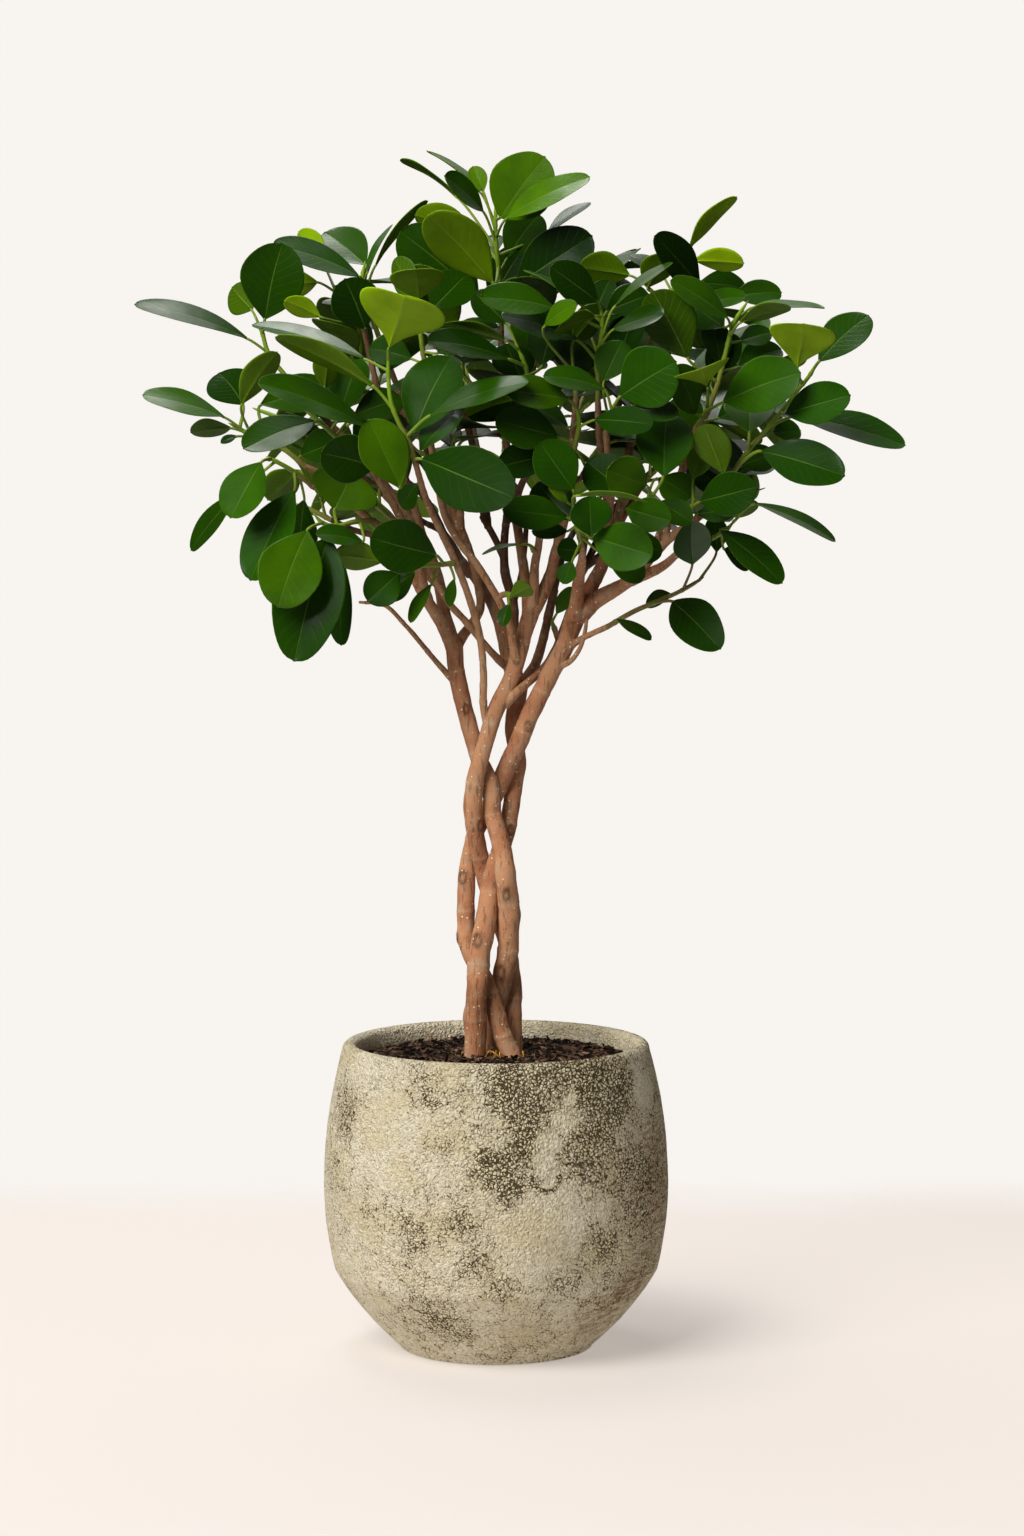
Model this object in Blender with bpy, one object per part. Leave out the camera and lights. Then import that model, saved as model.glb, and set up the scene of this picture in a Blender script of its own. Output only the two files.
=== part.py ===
"""A plaited ficus in a glazed pot.

Four woody stems are plaited over and under each other above a round ceramic pot of soil, and
their branches carry green shoots of broad leaves.  The pot's axis is Z, its foot is at z = 0, and
the plant is seen from the front along +Y.  Lengths are in millimetres up to where a mesh is made.
"""

import math
import random

import bmesh
import bpy
from mathutils import Vector
from mathutils.bvhtree import BVHTree

MM = 0.001
GAP = 0.3  # between pieces that touch

# Pot
POT_HEIGHT = 232.0
FOOT_RADIUS = 73.7
SHOULDER_RADIUS, SHOULDER_HEIGHT = 122.4, 60.3
LOWER_PULL = (105.4, 30.0)  # bends the side between foot and shoulder
BELLY_PULL = (140.8, 134.8)  # bends the side between shoulder and lip
LIP_THICKNESS = 11.0
LIP_RADIUS = 116.0
WALL = 9.5
FLOOR = 12.0
POT_SIDES = 32

# Soil
SOIL_TOP = 219.0
SOIL_MOUND = 3.0
SOIL_CLEAR = 224.0  # above the mound, where the stems start to lean
STEM_BOTTOM = 188.0
HOLE_CLEARANCE = 0.6

# Wood and leaves
STEM_SIDES = 7
BRANCH_SIDES = 5
STEM_FLATTEN = 0.85  # depth of a stem against its seen width, pressed flat in the plait
AXIS_SIDES = 3
THIN_SIDES = 4  # of a branch under THIN_RADIUS at its start
THIN_RADIUS = 4.1
STEM_ROOM = 1.4  # left between two stems that cross
AXIS_RADIUS = 2.1
STALK_RADIUS = 1.0
LEAF_SPACING = 4.5  # between the roots of a shoot's leaves
SKIN, KEEL = 0.5, 1.3  # a blade's flat upper side and its midrib below, from its middle plane
ARCH = 0.05  # rise of the midrib's middle, as a share of the blade's length
FULLEST = 0.56  # where a blade is usually widest, as a share of its length
BASE_BLUNT, TIP_BLUNT = 0.80, 0.44  # the outline is a wedge at the base and round at the tip
STATIONS = (0.22, 0.52, 0.82)  # where a blade's outline has its corners
FEW_STATIONS = (0.32, 0.72)  # the same for small blades and those of the back
SMALL_WIDTH = 33.0
EDGE_ROOM, FACE_ROOM = 1.5, 1.7  # kept clear round a blade by all other pieces
GOLDEN_TURN = math.radians(137.5)

# The front of the plant is laid out as it looks from this point.
EYE = Vector((12.0, -3000.0, 688.0))


def seen(x, z, depth):
    """The point that looks to be at (x, z) beside the pot's axis but lies depth behind it."""
    return EYE + (Vector((x, 0.0, z)) - EYE) * (1.0 + depth / -EYE.y)


# Stems: (x, height, depth, radius) as seen from the front, from the soil upwards.
STEMS = {
    "stem_left": [
        (-4, 219, 13, 7.5), (-3, 240, 12, 7.5), (-1, 255, 10, 7.5), (3, 270, 8, 7.5),
        (5.5, 283, 3, 7.8), (9, 300, -3, 8), (9.7, 315, -5, 7.7), (10, 330, -7, 8),
        (8.5, 345, -8, 8), (6.8, 360, -11, 7.8), (5.5, 372, -12.5, 7.3), (3.5, 383, -11, 7),
        (0.5, 393, -9, 6.9), (-2.5, 403, -8, 6.8), (-3, 415, -6.5, 6.6), (-4, 425, -3.5, 6.5),
        (-8, 435, 2, 6.4), (-12.5, 444, 6.5, 6.2), (-16, 455, 7, 6.1), (-19.5, 468, 6, 6.3),
        (-23.5, 483, 4, 6.2), (-27.5, 500, 3, 6.3), (-30, 513, 2, 6.2), (-31.5, 530, 3, 6.6),
    ],
    "stem_front": [
        (13, 219, 17, 7.2), (12.7, 240, 17, 7), (12.7, 255, 17, 6.8), (13, 270, 16.5, 6.6),
        (11.5, 285, 14, 6.6), (9.5, 300, 10, 6.6), (6.5, 312, 9, 6.5), (2.5, 323, 9, 6.5),
        (-1.5, 335, 10, 6.5), (-5.5, 346, 10, 6.5), (-8.7, 357, 8.5, 6.5), (-11.3, 368, 4, 6.5),
        (-13.7, 379, -1.5, 6.5), (-15.7, 390, -5.5, 6.6), (-17, 400, -8, 6.8), (-17.6, 411, -9, 7),
        (-16.5, 421, -10, 7), (-15.3, 431, -10, 6.8), (-12.8, 441, -8, 6.5), (-9.5, 453, -7, 6.2),
        (-5.5, 466, -6.5, 6.1), (-1, 480, -5.5, 6.4), (4.5, 492, -5, 6.2), (10, 503, -5, 6.1),
        (14.5, 515, -4, 6.3), (18, 528, -3, 6.2), (21.5, 541, -2, 6), (26, 554, 0, 6.5),
    ],
    "stem_back": [
        (-16, 219, -11, 8.2), (-15.5, 235, -12, 8.2), (-16, 250, -13, 8.9), (-14.8, 262, -13, 8.2),
        (-13.8, 275, -13, 8.3), (-13, 288, -10.5, 8.3), (-12, 300, -8, 8.1), (-10, 310, -6.5, 8.2),
        (-8.3, 320, -5, 8), (-6.8, 331, -4, 7.6), (-5.3, 342, -3.5, 7.2), (-3.8, 352, -3, 7),
        (-1.5, 362, -1, 7), (1.5, 371, 0.5, 7), (4.5, 380, 2, 6.8), (7.5, 390, 6, 6.6),
        (10, 400, 9, 6.5), (11.5, 410, 11, 6.4), (12.8, 420, 13, 6.4), (14.3, 431, 14, 6.5),
        (16, 441, 12.5, 6.5), (15.5, 451, 10, 6.4), (13.5, 462, 8.5, 6.3), (13, 472, 7, 6.4),
        (14.5, 482, 6.5, 6.8), (16.5, 492, 7.5, 6.6), (18.5, 502, 10, 6),
    ],
    "stem_right": [
        (10.5, 219, -4, 7.8), (7, 231, -4, 7.4), (3.5, 241, -3, 7), (0.5, 251, -3, 6.9),
        (-2.5, 261, -3, 6.9), (-6, 271, -1.5, 6.8), (-10, 281, 1.5, 6.8), (-15, 291, 5, 6.9),
        (-19.3, 300, 6.5, 7), (-22, 310, 5.5, 7.2), (-22.7, 320, 4, 6.7), (-22.7, 332, 3, 6.6),
        (-22.5, 344, 5, 6.6), (-22, 356, 9, 6.4), (-20.7, 367, 12, 6.2), (-18.5, 378, 11, 6.2),
        (-16, 388, 8, 6.3), (-12.5, 396, 7, 6.3), (-8.5, 403, 7, 6.4), (-4.5, 411, 7.5, 6.5),
        (0, 420, 8, 6.6), (4.3, 430, 6.5, 6.8), (8.5, 440, 0, 7), (13.5, 450, -5, 7.2),
        (18, 460, -6, 7), (22, 470, -5, 7), (26.5, 481, -3.5, 7.1), (32, 492, -2.5, 7),
        (37, 502, -2, 7), (42, 512, -2, 7), (47.5, 522, -2, 7), (52.3, 532, -2, 7),
        (55.5, 542, -2, 7.2), (60, 554, -2, 8),
    ],
}

# Branches: stem, shoot that it carries if any, and points from inside its parent outwards.
BRANCHES = [
    ("stem_left", "low_left", [(-31, 525, 3, 6), (-38, 543, 0, 5.4), (-44, 553, -4, 4.8),
                               (-52, 565, -8, 4.3), (-60, 579, -14, 3.8), (-70, 596, -22, 3.5),
                               (-80, 612, -36, 3.2), (-86, 619, -48, 2.7)]),
    ("stem_left", "far_low_left", [(-68, 592, -20, 3.3), (-88, 618, -20, 3), (-108, 636, -24, 2.7),
                                   (-126, 646, -29, 2.4)]),
    ("stem_left", "outer_left", [(-104, 633, -23, 2.6), (-118, 648, -22, 2.4), (-131, 659, -26, 2.3)]),
    ("stem_left", "inner_left", [(-50, 562, -8, 4), (-60, 595, -24, 3.4), (-76, 635, -38, 2.9),
                                 (-96, 664, -46, 2.5)]),
    ("stem_left", "far_left", [(-31, 530, 3, 5.6), (-38, 552, 8, 4.9), (-41, 570, 10, 4.5),
                               (-46, 590, 12, 4.1), (-58, 615, 12, 3.6), (-80, 647, 9, 3.1),
                               (-114, 687, 2, 2.4)]),
    ("stem_left", "high_left", [(-31, 528, 4, 5), (-24, 539, 11, 4), (-17, 548, 17, 3.6),
                                (-12, 558, 20, 3.4), (-14, 580, 23, 3.3), (-24, 612, 26, 3.2),
                                (-42, 655, 30, 2.9), (-60, 695, 31, 2.6), (-76, 730, 31, 2.3)]),
    ("stem_left", "mid_left", [(-52, 603, 12, 3.4), (-66, 650, 8, 3), (-82, 700, 4, 2.6),
                               (-92, 738, 1, 2.3)]),
    ("stem_front", "main_left", [(-5, 468, -7, 3.8), (-8.7, 481, -10, 3), (-9.4, 511, -16, 2.6),
                                 (-12, 537, -24, 2.8), (-16, 553, -30, 2.8), (-22, 572, -38, 2.7),
                                 (-29, 590, -46, 2.7), (-40, 614, -60, 2.7), (-51, 637, -76, 2.5),
                                 (-57, 656, -92, 2.3)]),
    ("stem_front", "high_front", [(15, 518, -4, 4), (12, 536, -12, 3.3), (9, 550, -18, 3),
                                  (4, 561, -24, 2.9), (-4, 575, -30, 2.8), (-15, 592, -36, 2.8),
                                  (-26, 606, -36, 2.8), (-37, 625, -34, 2.7), (-44, 655, -40, 2.5),
                                  (-50, 695, -50, 2.3)]),
    ("stem_front", "centre", [(26, 552, 0, 4.6), (28.5, 572, -4, 3.7), (29, 590, -8, 3.3),
                              (32, 607, -16, 2.9), (34, 650, -40, 2.6), (30, 685, -56, 2.4)]),
    ("stem_front", "fork_small", [(1, 566, -27, 2.6), (4, 568, -26.5, 2.4)]),
    ("stem_front", "fork_olive", [(31, 600, -13, 2.4), (29.5, 601, -15, 2.2)]),
    ("stem_front", "fork_leaf", [(47, 534, 25, 2.6), (44.5, 541, 20, 2.2)]),
    ("stem_front", "centre_low", [(27, 555, 0, 5.8), (36, 572, 3, 5.2), (41, 584, 1, 4.6),
                                  (44, 598, -6, 4), (48, 612, -20, 3.5), (53, 632, -44, 3),
                                  (56, 652, -68, 2.6)]),
    ("stem_front", "centre_mid", [(46, 606, -12, 3.4), (51, 640, -26, 2.9), (57, 685, -46, 2.5)]),
    ("stem_front", "top", [(24, 548, 0, 4.6), (23, 570, 10, 4), (19, 600, 18, 3.6),
                           (13, 640, 24, 3.2), (7, 690, 27, 2.8), (4, 730, 27, 2.4)]),
    ("stem_front", None, [(6, 486, -5, 4), (14, 494, -8, 3.4), (22, 501, -4, 3.2), (30, 508, 6, 3),
                          (38, 517, 15, 2.8), (45, 529, 23, 2.8), (51, 545, 30, 2.8),
                          (58, 565, 38, 2.8), (66, 590, 48, 2.8)]),
    ("stem_right", "right_low_inner", [(59, 550, -3, 6.2), (61, 568, -12, 5.2), (62, 580, -24, 4.4),
                                       (63.5, 590, -42, 3.7), (64.5, 596, -62, 3)]),
    ("stem_right", "right_centre", [(62, 555, -1, 7), (72, 576, 0, 5.6), (80, 592, -4, 4.8),
                                    (84, 608, -10, 4.2), (84, 630, -20, 3.6), (80, 660, -34, 3),
                                    (77, 690, -50, 2.6)]),
    ("stem_right", "right_front", [(84, 626, -18, 3.2), (86, 648, -48, 2.8), (84, 668, -76, 2.4)]),
    ("stem_right", "right_arm", [(62, 553, -1, 8), (74, 564, -6, 6.6), (88, 572, -14, 5.5),
                                 (98, 578, -22, 4.8), (109, 589, -32, 4.2), (119, 600, -42, 3.8),
                                 (129, 610, -50, 3.4), (141, 618.5, -58, 3.1), (153, 628, -66, 2.8),
                                 (163, 640, -73, 2.5)]),
    ("stem_right", "cup_leaf", [(97, 577, -21, 4), (102, 593, -48, 3.3), (106, 608, -74, 2.7)]),
    ("stem_right", "right_tip", [(96, 577, -20, 4.2), (113, 584, -32, 4), (127, 591.5, -42, 3.2),
                                 (137, 600, -50, 2.6), (143, 603, -53, 2)]),
    ("stem_right", "right_small", [(139, 617, -57, 2.6), (141.5, 620, -66, 2.3)]),
    ("stem_right", "right_glossy", [(126, 607, -48, 3), (130, 632, -58, 2.7), (139, 663, -70, 2.4)]),
    ("stem_right", "right_upper", [(117, 598, -40, 3.2), (128, 630, -44, 2.8), (142, 670, -54, 2.5)]),
    ("stem_right", "high_right", [(80, 591, -4, 4), (92, 630, 4, 3.4), (100, 680, 6, 2.9),
                                  (107, 725, 1, 2.4)]),
    ("stem_right", "right_twig", [(53, 527, -3, 3), (62, 534.5, -9, 2.4), (72, 539.5, -15, 2.2)]),
    ("stem_right", None, [(46, 514, -3, 2.6), (57, 520, -8, 2), (61.5, 526, -10, 1.8),
                          (66, 538, -12, 1.6), (68, 550, -13, 1.2)]),
    ("stem_left", None, [(-31, 504, 2, 3.2), (-38, 511, 1, 2.4), (-46, 520, -1, 2),
                         (-68, 546, -3, 1.7), (-84, 561, -6, 1.5), (-102, 563, -8, 1)]),
    ("stem_back", None, [(16, 500, 10, 5.6), (11, 513, 16, 5.4), (7.5, 528, 20, 5.2),
                         (3.5, 545, 26, 4.8), (-2, 560, 32, 4.4), (-10, 573, 38, 3.9),
                         (-32, 602, 54, 3.2)]),
    ("stem_back", None, [(17, 498, 10, 5.4), (14, 518, 22, 5), (13, 545, 34, 4.4), (12, 566, 42, 4),
                         (7, 584, 46, 3.6), (6, 600, 48, 3.2), (8, 628, 56, 2.8)]),
    ("stem_back", None, [(6, 596, 48, 3), (0, 609, 50, 2.6), (-10, 627, 54, 2.6)]),
    ("stem_back", None, [(12, 560, 42, 3), (18, 580, 46, 2.2), (21, 598, 50, 2), (23, 626, 56, 2)]),
    ("stem_back", None, [(18.5, 500, 10, 5), (24, 508, 18, 4.2), (29, 516, 24, 3.8), (35, 534, 31, 3.5),
                         (40, 556, 37, 3.2), (44, 572, 42, 3)]),
    ("stem_back", None, [(9, 514, 15, 3.4), (2, 520, 10, 3), (-9, 532, 4, 2.6), (-24, 550, -5, 2.6),
                         (-34, 561, -9, 2.5), (-43, 575, -13, 2.4), (-58, 600, -20, 1.8)]),
]

# Shoots of the front and sides: axis points (x, height, depth), then a leaf for each row:
# place along the axis, base and tip (x, height, depth each), width, and the turn of its upper
# side away from the front, in degrees, so 90 is edge on and 180 shows the underside. A last
# value, if any, is the share of its length where the blade is widest.
SHOOTS = {
    "top": ([(4, 765, 25), (4, 790, 15), (2, 812, 8), (0, 832, 4), (0, 862, 5)], [
        (0.62, -2, 800, -8, -50, 850, -44, 40, 165),
        (0.45, -12, 788, 10, -71, 838, -8, 50, 14),
        (0.40, 14, 797, 6, 71, 835, -6, 44, 12),
        (0.85, 3, 848, -4, 36, 893, -14, 50, 8, 0.5),
        (0.80, 8, 848, -8, 69, 879, -14, 29, 48, 0.5),
        (0.85, -11, 867, 14, -50, 898, 40, 26, 80),
        (0.75, -29, 864, 24, -70, 891, 48, 24, 100),
        (0.78, -9, 853, -6, -38, 879, -34, 26, 52),
        (0.85, -9, 867, 20, -17, 886, 24, 15, 5),
        (0.72, 38, 837, 34, 70, 859, 50, 16, 60),
        (0.15, -4, 784, 16, 22, 828, 26, 32, 20),
        (0.60, 8, 818, 18, 32, 851, 32, 32, 12),
        (0.66, -16, 838, 24, -60, 850, 32, 28, 150),
    ]),
    "high_left": ([(-84, 752, 30), (-92, 775, 24), (-96, 792, 16), (-99, 803, 10), (-97, 817, 11)], [
        (0.80, -101, 805, 2, -165, 829, -14, 38, 58),
        (0.85, -96, 813, 16, -127, 838, 42, 36, 30),
        (0.80, -96, 808, -2, -77, 843, 12, 24, 80),
        (0.75, -90, 813, 22, -50, 860, 36, 22, 108),
    ]),
    "mid_left": ([(-98, 765, 0), (-108, 779, -2), (-117, 792, -4), (-122, 799, -5)], [
        (0.85, -132, 801, 4, -168, 797, 16, 24, 160),
        (0.90, -128, 814, 16, -146, 838, 34, 24, 150),
        (0.20, -97, 766, -22, -112, 803, -32, 38, 10),
        (0.10, -130, 775, -28, -157, 787, -40, 17, 160),
        (0.60, -113, 784, 8, -129, 786, 16, 10, 60),
    ]),
    "far_left": ([(-128, 700, 0), (-143, 716, -6), (-157, 732, -10), (-170, 750, -12),
                  (-174, 764, -13), (-179, 776, -14)], [
        (0.68, -184, 759, -18, -268, 785, -34, 30, 62),
        (0.85, -172, 773, -24, -159, 829, -36, 48, 6),
        (0.90, -181, 780, -4, -196, 797, 10, 28, 165),
    ]),
    "outer_left": ([(-142, 664, -30), (-158, 677, -34), (-174, 684, -38), (-189, 691, -42),
                    (-200, 697, -44)], [
        (0.80, -190, 710, -58, -163, 749, -68, 28, 140),
        (0.85, -188, 710, -40, -206, 734, -26, 38, 20),
        (0.85, -202, 701, -50, -263, 717, -64, 32, 58),
        (0.10, -146, 672, -16, -116, 684, -10, 28, 20),
        (0.78, -197, 693, -34, -227, 690, -20, 20, 135),
        (0.75, -193, 687, -46, -205, 682, -50, 8, 40),
        (0.60, -176, 710, -36, -120, 722, -22, 34, 28),
    ]),
    "inner_left": ([(-108, 676, -50), (-120, 687, -56), (-131, 697, -62), (-142, 707, -66),
                    (-148, 712, -68)], [
        (0.60, -134, 698, -78, -188, 677, -94, 34, 42),
        (0.05, -96, 694, -76, -176, 727, -102, 38, 55),
        (0.80, -128, 722, -54, -124, 750, -42, 22, 150),
        (0.40, -116, 702, -46, -102, 744, -30, 32, 30),
        (0.15, -90, 664, -68, -130, 674, -90, 36, 8),
        (0.30, -106, 702, -42, -70, 714, -38, 28, 25),
    ]),
    "main_left": ([(-60, 667, -100), (-65, 683, -106), (-72, 696, -110), (-78, 712, -112),
                   (-80, 730, -112), (-80, 748, -112)], [
        (0.95, -80, 751, -118, -67, 792, -168, 64, 180, 0.68),
        (0.85, -97, 744, -106, -181, 769, -84, 28, 66),
        (0.50, -91, 724, -112, -164, 760, -122, 34, 118),
        (0.20, -50, 702, -118, 24, 728, -134, 34, 62),
        (0.25, -61, 689, -92, -34, 745, -82, 46, 22),
        (0.10, -57, 675, -98, -26, 708, -112, 28, 45),
        (0.02, -56, 670, -112, 13, 641, -152, 48, 8),
        (0.08, -72, 648, -112, -94, 699, -106, 42, 12),
        (0.05, -58, 652, -90, -70, 634, -80, 18, 20),
    ]),
    "high_front": ([(-52, 735, -60), (-55, 755, -66), (-57, 775, -70), (-57, 784, -72)], [
        (0.95, -57, 788, -80, -60, 811, -116, 40, 175),
        (0.85, -62, 790, -50, -75, 818, -16, 24, 150),
        (0.70, -48, 780, -60, -22, 806, -30, 34, 20),
        (0.30, -44, 748, -70, 2, 768, -74, 30, 40),
        (0.10, -62, 744, -50, -94, 752, -44, 26, 30),
    ]),
    "low_left": ([(-92, 624, -58), (-106, 623, -66), (-118, 620, -74), (-129, 622, -80),
                  (-137, 630, -84)], [
        (0.80, -141, 617, -98, -163, 560, -122, 47, 4),
        (0.65, -125, 612, -86, -151, 519, -102, 52, 8, 0.5),
        (0.50, -113, 592, -62, -116, 531, -54, 26, 40),
        (0.20, -99, 608, -62, -134, 614, -76, 22, 50),
        (0.60, -121, 632, -86, -108, 660, -46, 52, 0),
        (0.10, -60, 586, -42, -87, 566, -40, 24, 25),
    ]),
    "far_low_left": ([(-137, 650, -34), (-150, 660, -40), (-162, 667, -46), (-172, 672, -50)], [
        (0.90, -175, 668, -64, -198, 626, -80, 36, 28),
        (0.80, -192, 645, -40, -228, 602, -30, 24, 50),
        (0.40, -150, 647, -54, -184, 580, -68, 40, 32),
        (0.30, -143, 640, -30, -146, 594, -18, 32, 30),
        (0.30, -146, 662, -28, -170, 639, -22, 32, 140),
    ]),
    "leaf_left": ([(-32, 592, -51), (-44, 591, -56), (-58, 590, -60), (-70, 588, -62)], [
        (0.10, -44, 598, -66, -94, 611, -88, 40, 4),
        (0.90, -84, 593, -72, -121, 598, -80, 25, 150),
        (0.80, -72, 585, -66, -96, 564, -72, 28, 8),
        (0.20, -48, 577, -52, -64, 548, -60, 15, 50),
        (0.10, -31, 581, -54, -35, 560, -52, 10, 30),
    ]),
    "centre": ([(26, 716, -70), (24, 730, -78), (21, 742, -84), (15, 754, -88)], [
        (0.95, 8, 758, -94, -44, 768, -106, 22, 125),
        (0.60, 10, 744, -92, -50, 758, -118, 34, 58),
        (0.80, 8, 770, -82, -16, 793, -76, 24, 15),
        (0.40, 34, 738, -66, 46, 776, -50, 34, 30),
        (0.10, 40, 716, -60, 66, 728, -40, 26, 40),
        (0.05, 20, 726, -46, 7, 755, -26, 33, 20),
        (0.20, 12, 714, -58, -21, 702, -34, 30, 150),
    ]),
    "centre_low": ([(57, 672, -86), (60, 684, -94), (62, 698, -100), (58, 712, -104)], [
        (0.95, 55, 714, -110, 6, 721, -128, 30, 38),
        (0.65, 54, 693, -92, 22, 712, -84, 26, 55),
        (0.55, 73, 699, -108, 117, 695, -132, 24, 25),
        (0.25, 47, 686, -100, 0, 699, -114, 32, 16),
        (0.10, 40, 672, -84, 2, 664, -92, 28, 20),
    ]),
    "right_front": ([(82, 690, -92), (86, 700, -98), (88, 711, -104)], [
        (0.90, 92, 716, -112, 134, 742, -130, 46, 8),
        (0.85, 81, 722, -106, 36, 732, -118, 26, 50),
        (0.70, 100, 708, -104, 136, 702, -118, 20, 35),
        (0.40, 80, 727, -90, 94, 757, -80, 28, 18),
        (0.30, 126, 710, -74, 154, 701, -60, 26, 22),
    ]),
    "centre_mid": ([(60, 716, -60), (59, 726, -70), (57, 736, -76)], [
        (0.90, 36, 769, -98, 60, 785, -112, 17, 30),
        (0.85, 57, 757, -74, 80, 782, -56, 24, 150),
        (0.50, 44, 742, -58, 16, 776, -40, 32, 30),
        (0.20, 59, 728, -40, 58, 758, -24, 34, 14),
    ]),
    "right_centre": ([(76, 712, -60), (76, 730, -66), (75, 742, -70), (78, 757, -72), (79, 770, -72),
                      (78, 784, -72)], [
        (0.45, 61, 758, -80, 4, 776, -100, 38, 60),
        (0.62, 87, 766, -84, 125, 777, -108, 28, 58),
        (0.66, 88, 783, -76, 131, 815, -84, 26, 76),
        (0.95, 76, 786, -80, 41, 812, -98, 30, 28),
        (0.85, 68, 780, -64, 22, 811, -52, 26, 80),
        (0.80, 44, 782, -92, -11, 790, -114, 30, 40),
        (0.75, 82, 779, -56, 114, 792, -36, 28, 20),
        (0.20, 90, 738, -56, 104, 778, -34, 30, 30),
        (0.50, 70, 768, -48, 84, 802, -38, 26, 20),
        (0.92, 74, 776, -66, 45, 764, -84, 22, 120),
    ]),
    "high_right": ([(112, 752, -5), (122, 775, -8), (132, 795, -10), (140, 810, -12), (143, 818, -13)], [
        (0.92, 143, 825, -16, 178, 864, -24, 30, 112),
        (0.90, 147, 817, -20, 184, 815, -28, 24, 138),
        (0.75, 152, 797, -32, 118, 835, -48, 30, 30),
        (0.65, 122, 808, 4, 99, 821, 14, 20, 60),
        (0.60, 112, 796, -14, 128, 822, -4, 26, 155),
        (0.70, 150, 800, 4, 186, 796, 14, 24, 30),
        (0.50, 176, 790, 0, 212, 793, 8, 24, 35),
        (0.45, 148, 784, -32, 186, 790, -42, 22, 50),
        (0.55, 100, 806, -18, 62, 812, -22, 30, 155),
    ]),
    "right_upper": ([(158, 706, -64), (164, 722, -68), (169, 740, -70), (173, 757, -70),
                     (176, 768, -70), (188, 788, -72)], [
        (0.72, 173, 774, -80, 130, 802, -94, 28, 46),
        (0.68, 181, 771, -82, 219, 782, -94, 24, 120),
        (0.75, 189, 782, -64, 244, 781, -56, 26, 78),
        (0.62, 181, 757, -60, 205, 764, -56, 20, 35),
        (0.45, 167, 739, -58, 160, 773, -44, 24, 22),
        (0.25, 143, 744, -82, 117, 794, -108, 40, 165),
        (0.35, 180, 738, -60, 212, 752, -44, 26, 30),
        (0.15, 160, 726, -48, 178, 762, -40, 26, 20),
        (0.85, 170, 767, -58, 147, 783, -44, 28, 20),
    ]),
    "right_glossy": ([(150, 694, -84), (155, 702, -92), (158, 711, -98)], [
        (0.95, 158, 722, -106, 152, 738, -150, 42, 178, 0.76),
        (0.60, 149, 703, -104, 133, 738, -120, 30, 32),
        (0.80, 169, 712, -112, 226, 734, -140, 40, 16),
        (0.20, 165, 700, -78, 200, 714, -66, 28, 30),
    ]),
    "right_arm": ([(171, 652, -80), (180, 664, -86), (188, 676, -92), (200, 690, -98),
                   (213, 705, -102), (224, 720, -106), (233, 731, -108), (240, 743, -110)], [
        (0.82, 224, 734, -114, 229, 770, -160, 48, 180, 0.72),
        (0.90, 240, 742, -98, 277, 776, -86, 34, 32),
        (0.60, 215, 703, -120, 264, 717, -140, 31, 16),
        (0.48, 223, 702, -96, 305, 680, -106, 34, 52),
        (0.16, 197, 676, -106, 260, 657, -130, 35, 20),
        (0.38, 206, 689, -84, 227, 691, -76, 20, 30),
        (0.27, 189, 689, -106, 188, 720, -74, 38, 2),
        (0.08, 182, 658, -72, 207, 665, -62, 20, 55),
        (0.04, 170, 658, -96, 155, 695, -114, 28, 160),
        (0.20, 182, 664, -72, 208, 674, -66, 24, 25),
    ]),
    "right_small": ([(142, 626, -78), (146, 634, -84), (148, 641, -88)], [
        (0.90, 147, 655, -82, 156, 680, -80, 19, 10),
        (0.90, 152, 638, -102, 194, 649, -124, 32, 4),
        (0.50, 150, 629, -80, 180, 632, -88, 20, 30),
    ]),
    "cup_leaf": ([(108, 622, -90), (114, 634, -98), (118, 645, -104)], [
        (0.95, 125, 656, -114, 127, 704, -84, 42, 0),
        (0.85, 113, 650, -120, 83, 662, -140, 32, 2),
        (0.60, 98, 644, -98, 68, 668, -92, 34, 14),
        (0.30, 97, 633, -104, 130, 624, -124, 26, 6),
        (0.60, 121, 638, -92, 146, 623, -98, 20, 15),
        (0.20, 121, 656, -72, 146, 641, -58, 28, 30),
    ]),
    "right_low_inner": ([(64, 606, -80), (61, 618, -90), (58, 634, -98), (59, 641, -100)], [
        (0.80, 54, 637, -106, 40, 650, -114, 8, 20),
        (0.85, 58, 646, -108, 33, 682, -114, 34, 14),
        (0.80, 62, 643, -104, 113, 639, -120, 24, 98),
        (0.55, 54, 626, -94, 5, 632, -106, 26, 14),
        (0.30, 54, 616, -84, 27, 616, -84, 14, 20),
        (0.10, 63, 601, -86, 46, 603, -94, 18, 5),
        (0.25, 72, 612, -106, 117, 598, -130, 36, 3),
        (0.15, 86, 604, -72, 124, 602, -62, 26, 20),
        (0.70, 55, 624, -82, 31, 652, -62, 34, 10),
        (0.12, 82, 597, -56, 111, 582, -44, 24, 25),
        (0.10, 57, 594, -62, 50, 577, -64, 15, 20),
        (0.35, 71, 612, -84, 70, 642, -88, 31, 12),
    ]),
    "fork_small": ([(7, 569, -28), (11, 569, -34), (15, 571, -38)], [
        (0.60, 9, 566, -42, 26, 575, -44, 17, 150, 0.7),
        (0.40, 10, 562, -40, 5, 545, -44, 12, 30),
    ]),
    "fork_olive": ([(28, 602, -17), (26, 605, -22), (23, 607, -26)], [
        (0.70, 20, 607, -30, -10, 599, -36, 15, 80),
    ]),
    "fork_leaf": ([(43.5, 544, 18), (42, 548, 15), (42, 552, 13)], [
        (0.60, 45, 554, 10, 58, 574, 2, 13, 24),
    ]),
    "right_twig": ([(84, 545, -22), (105, 557, -34), (122, 564, -42), (143, 574, -50),
                    (156, 582, -54)], [
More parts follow.
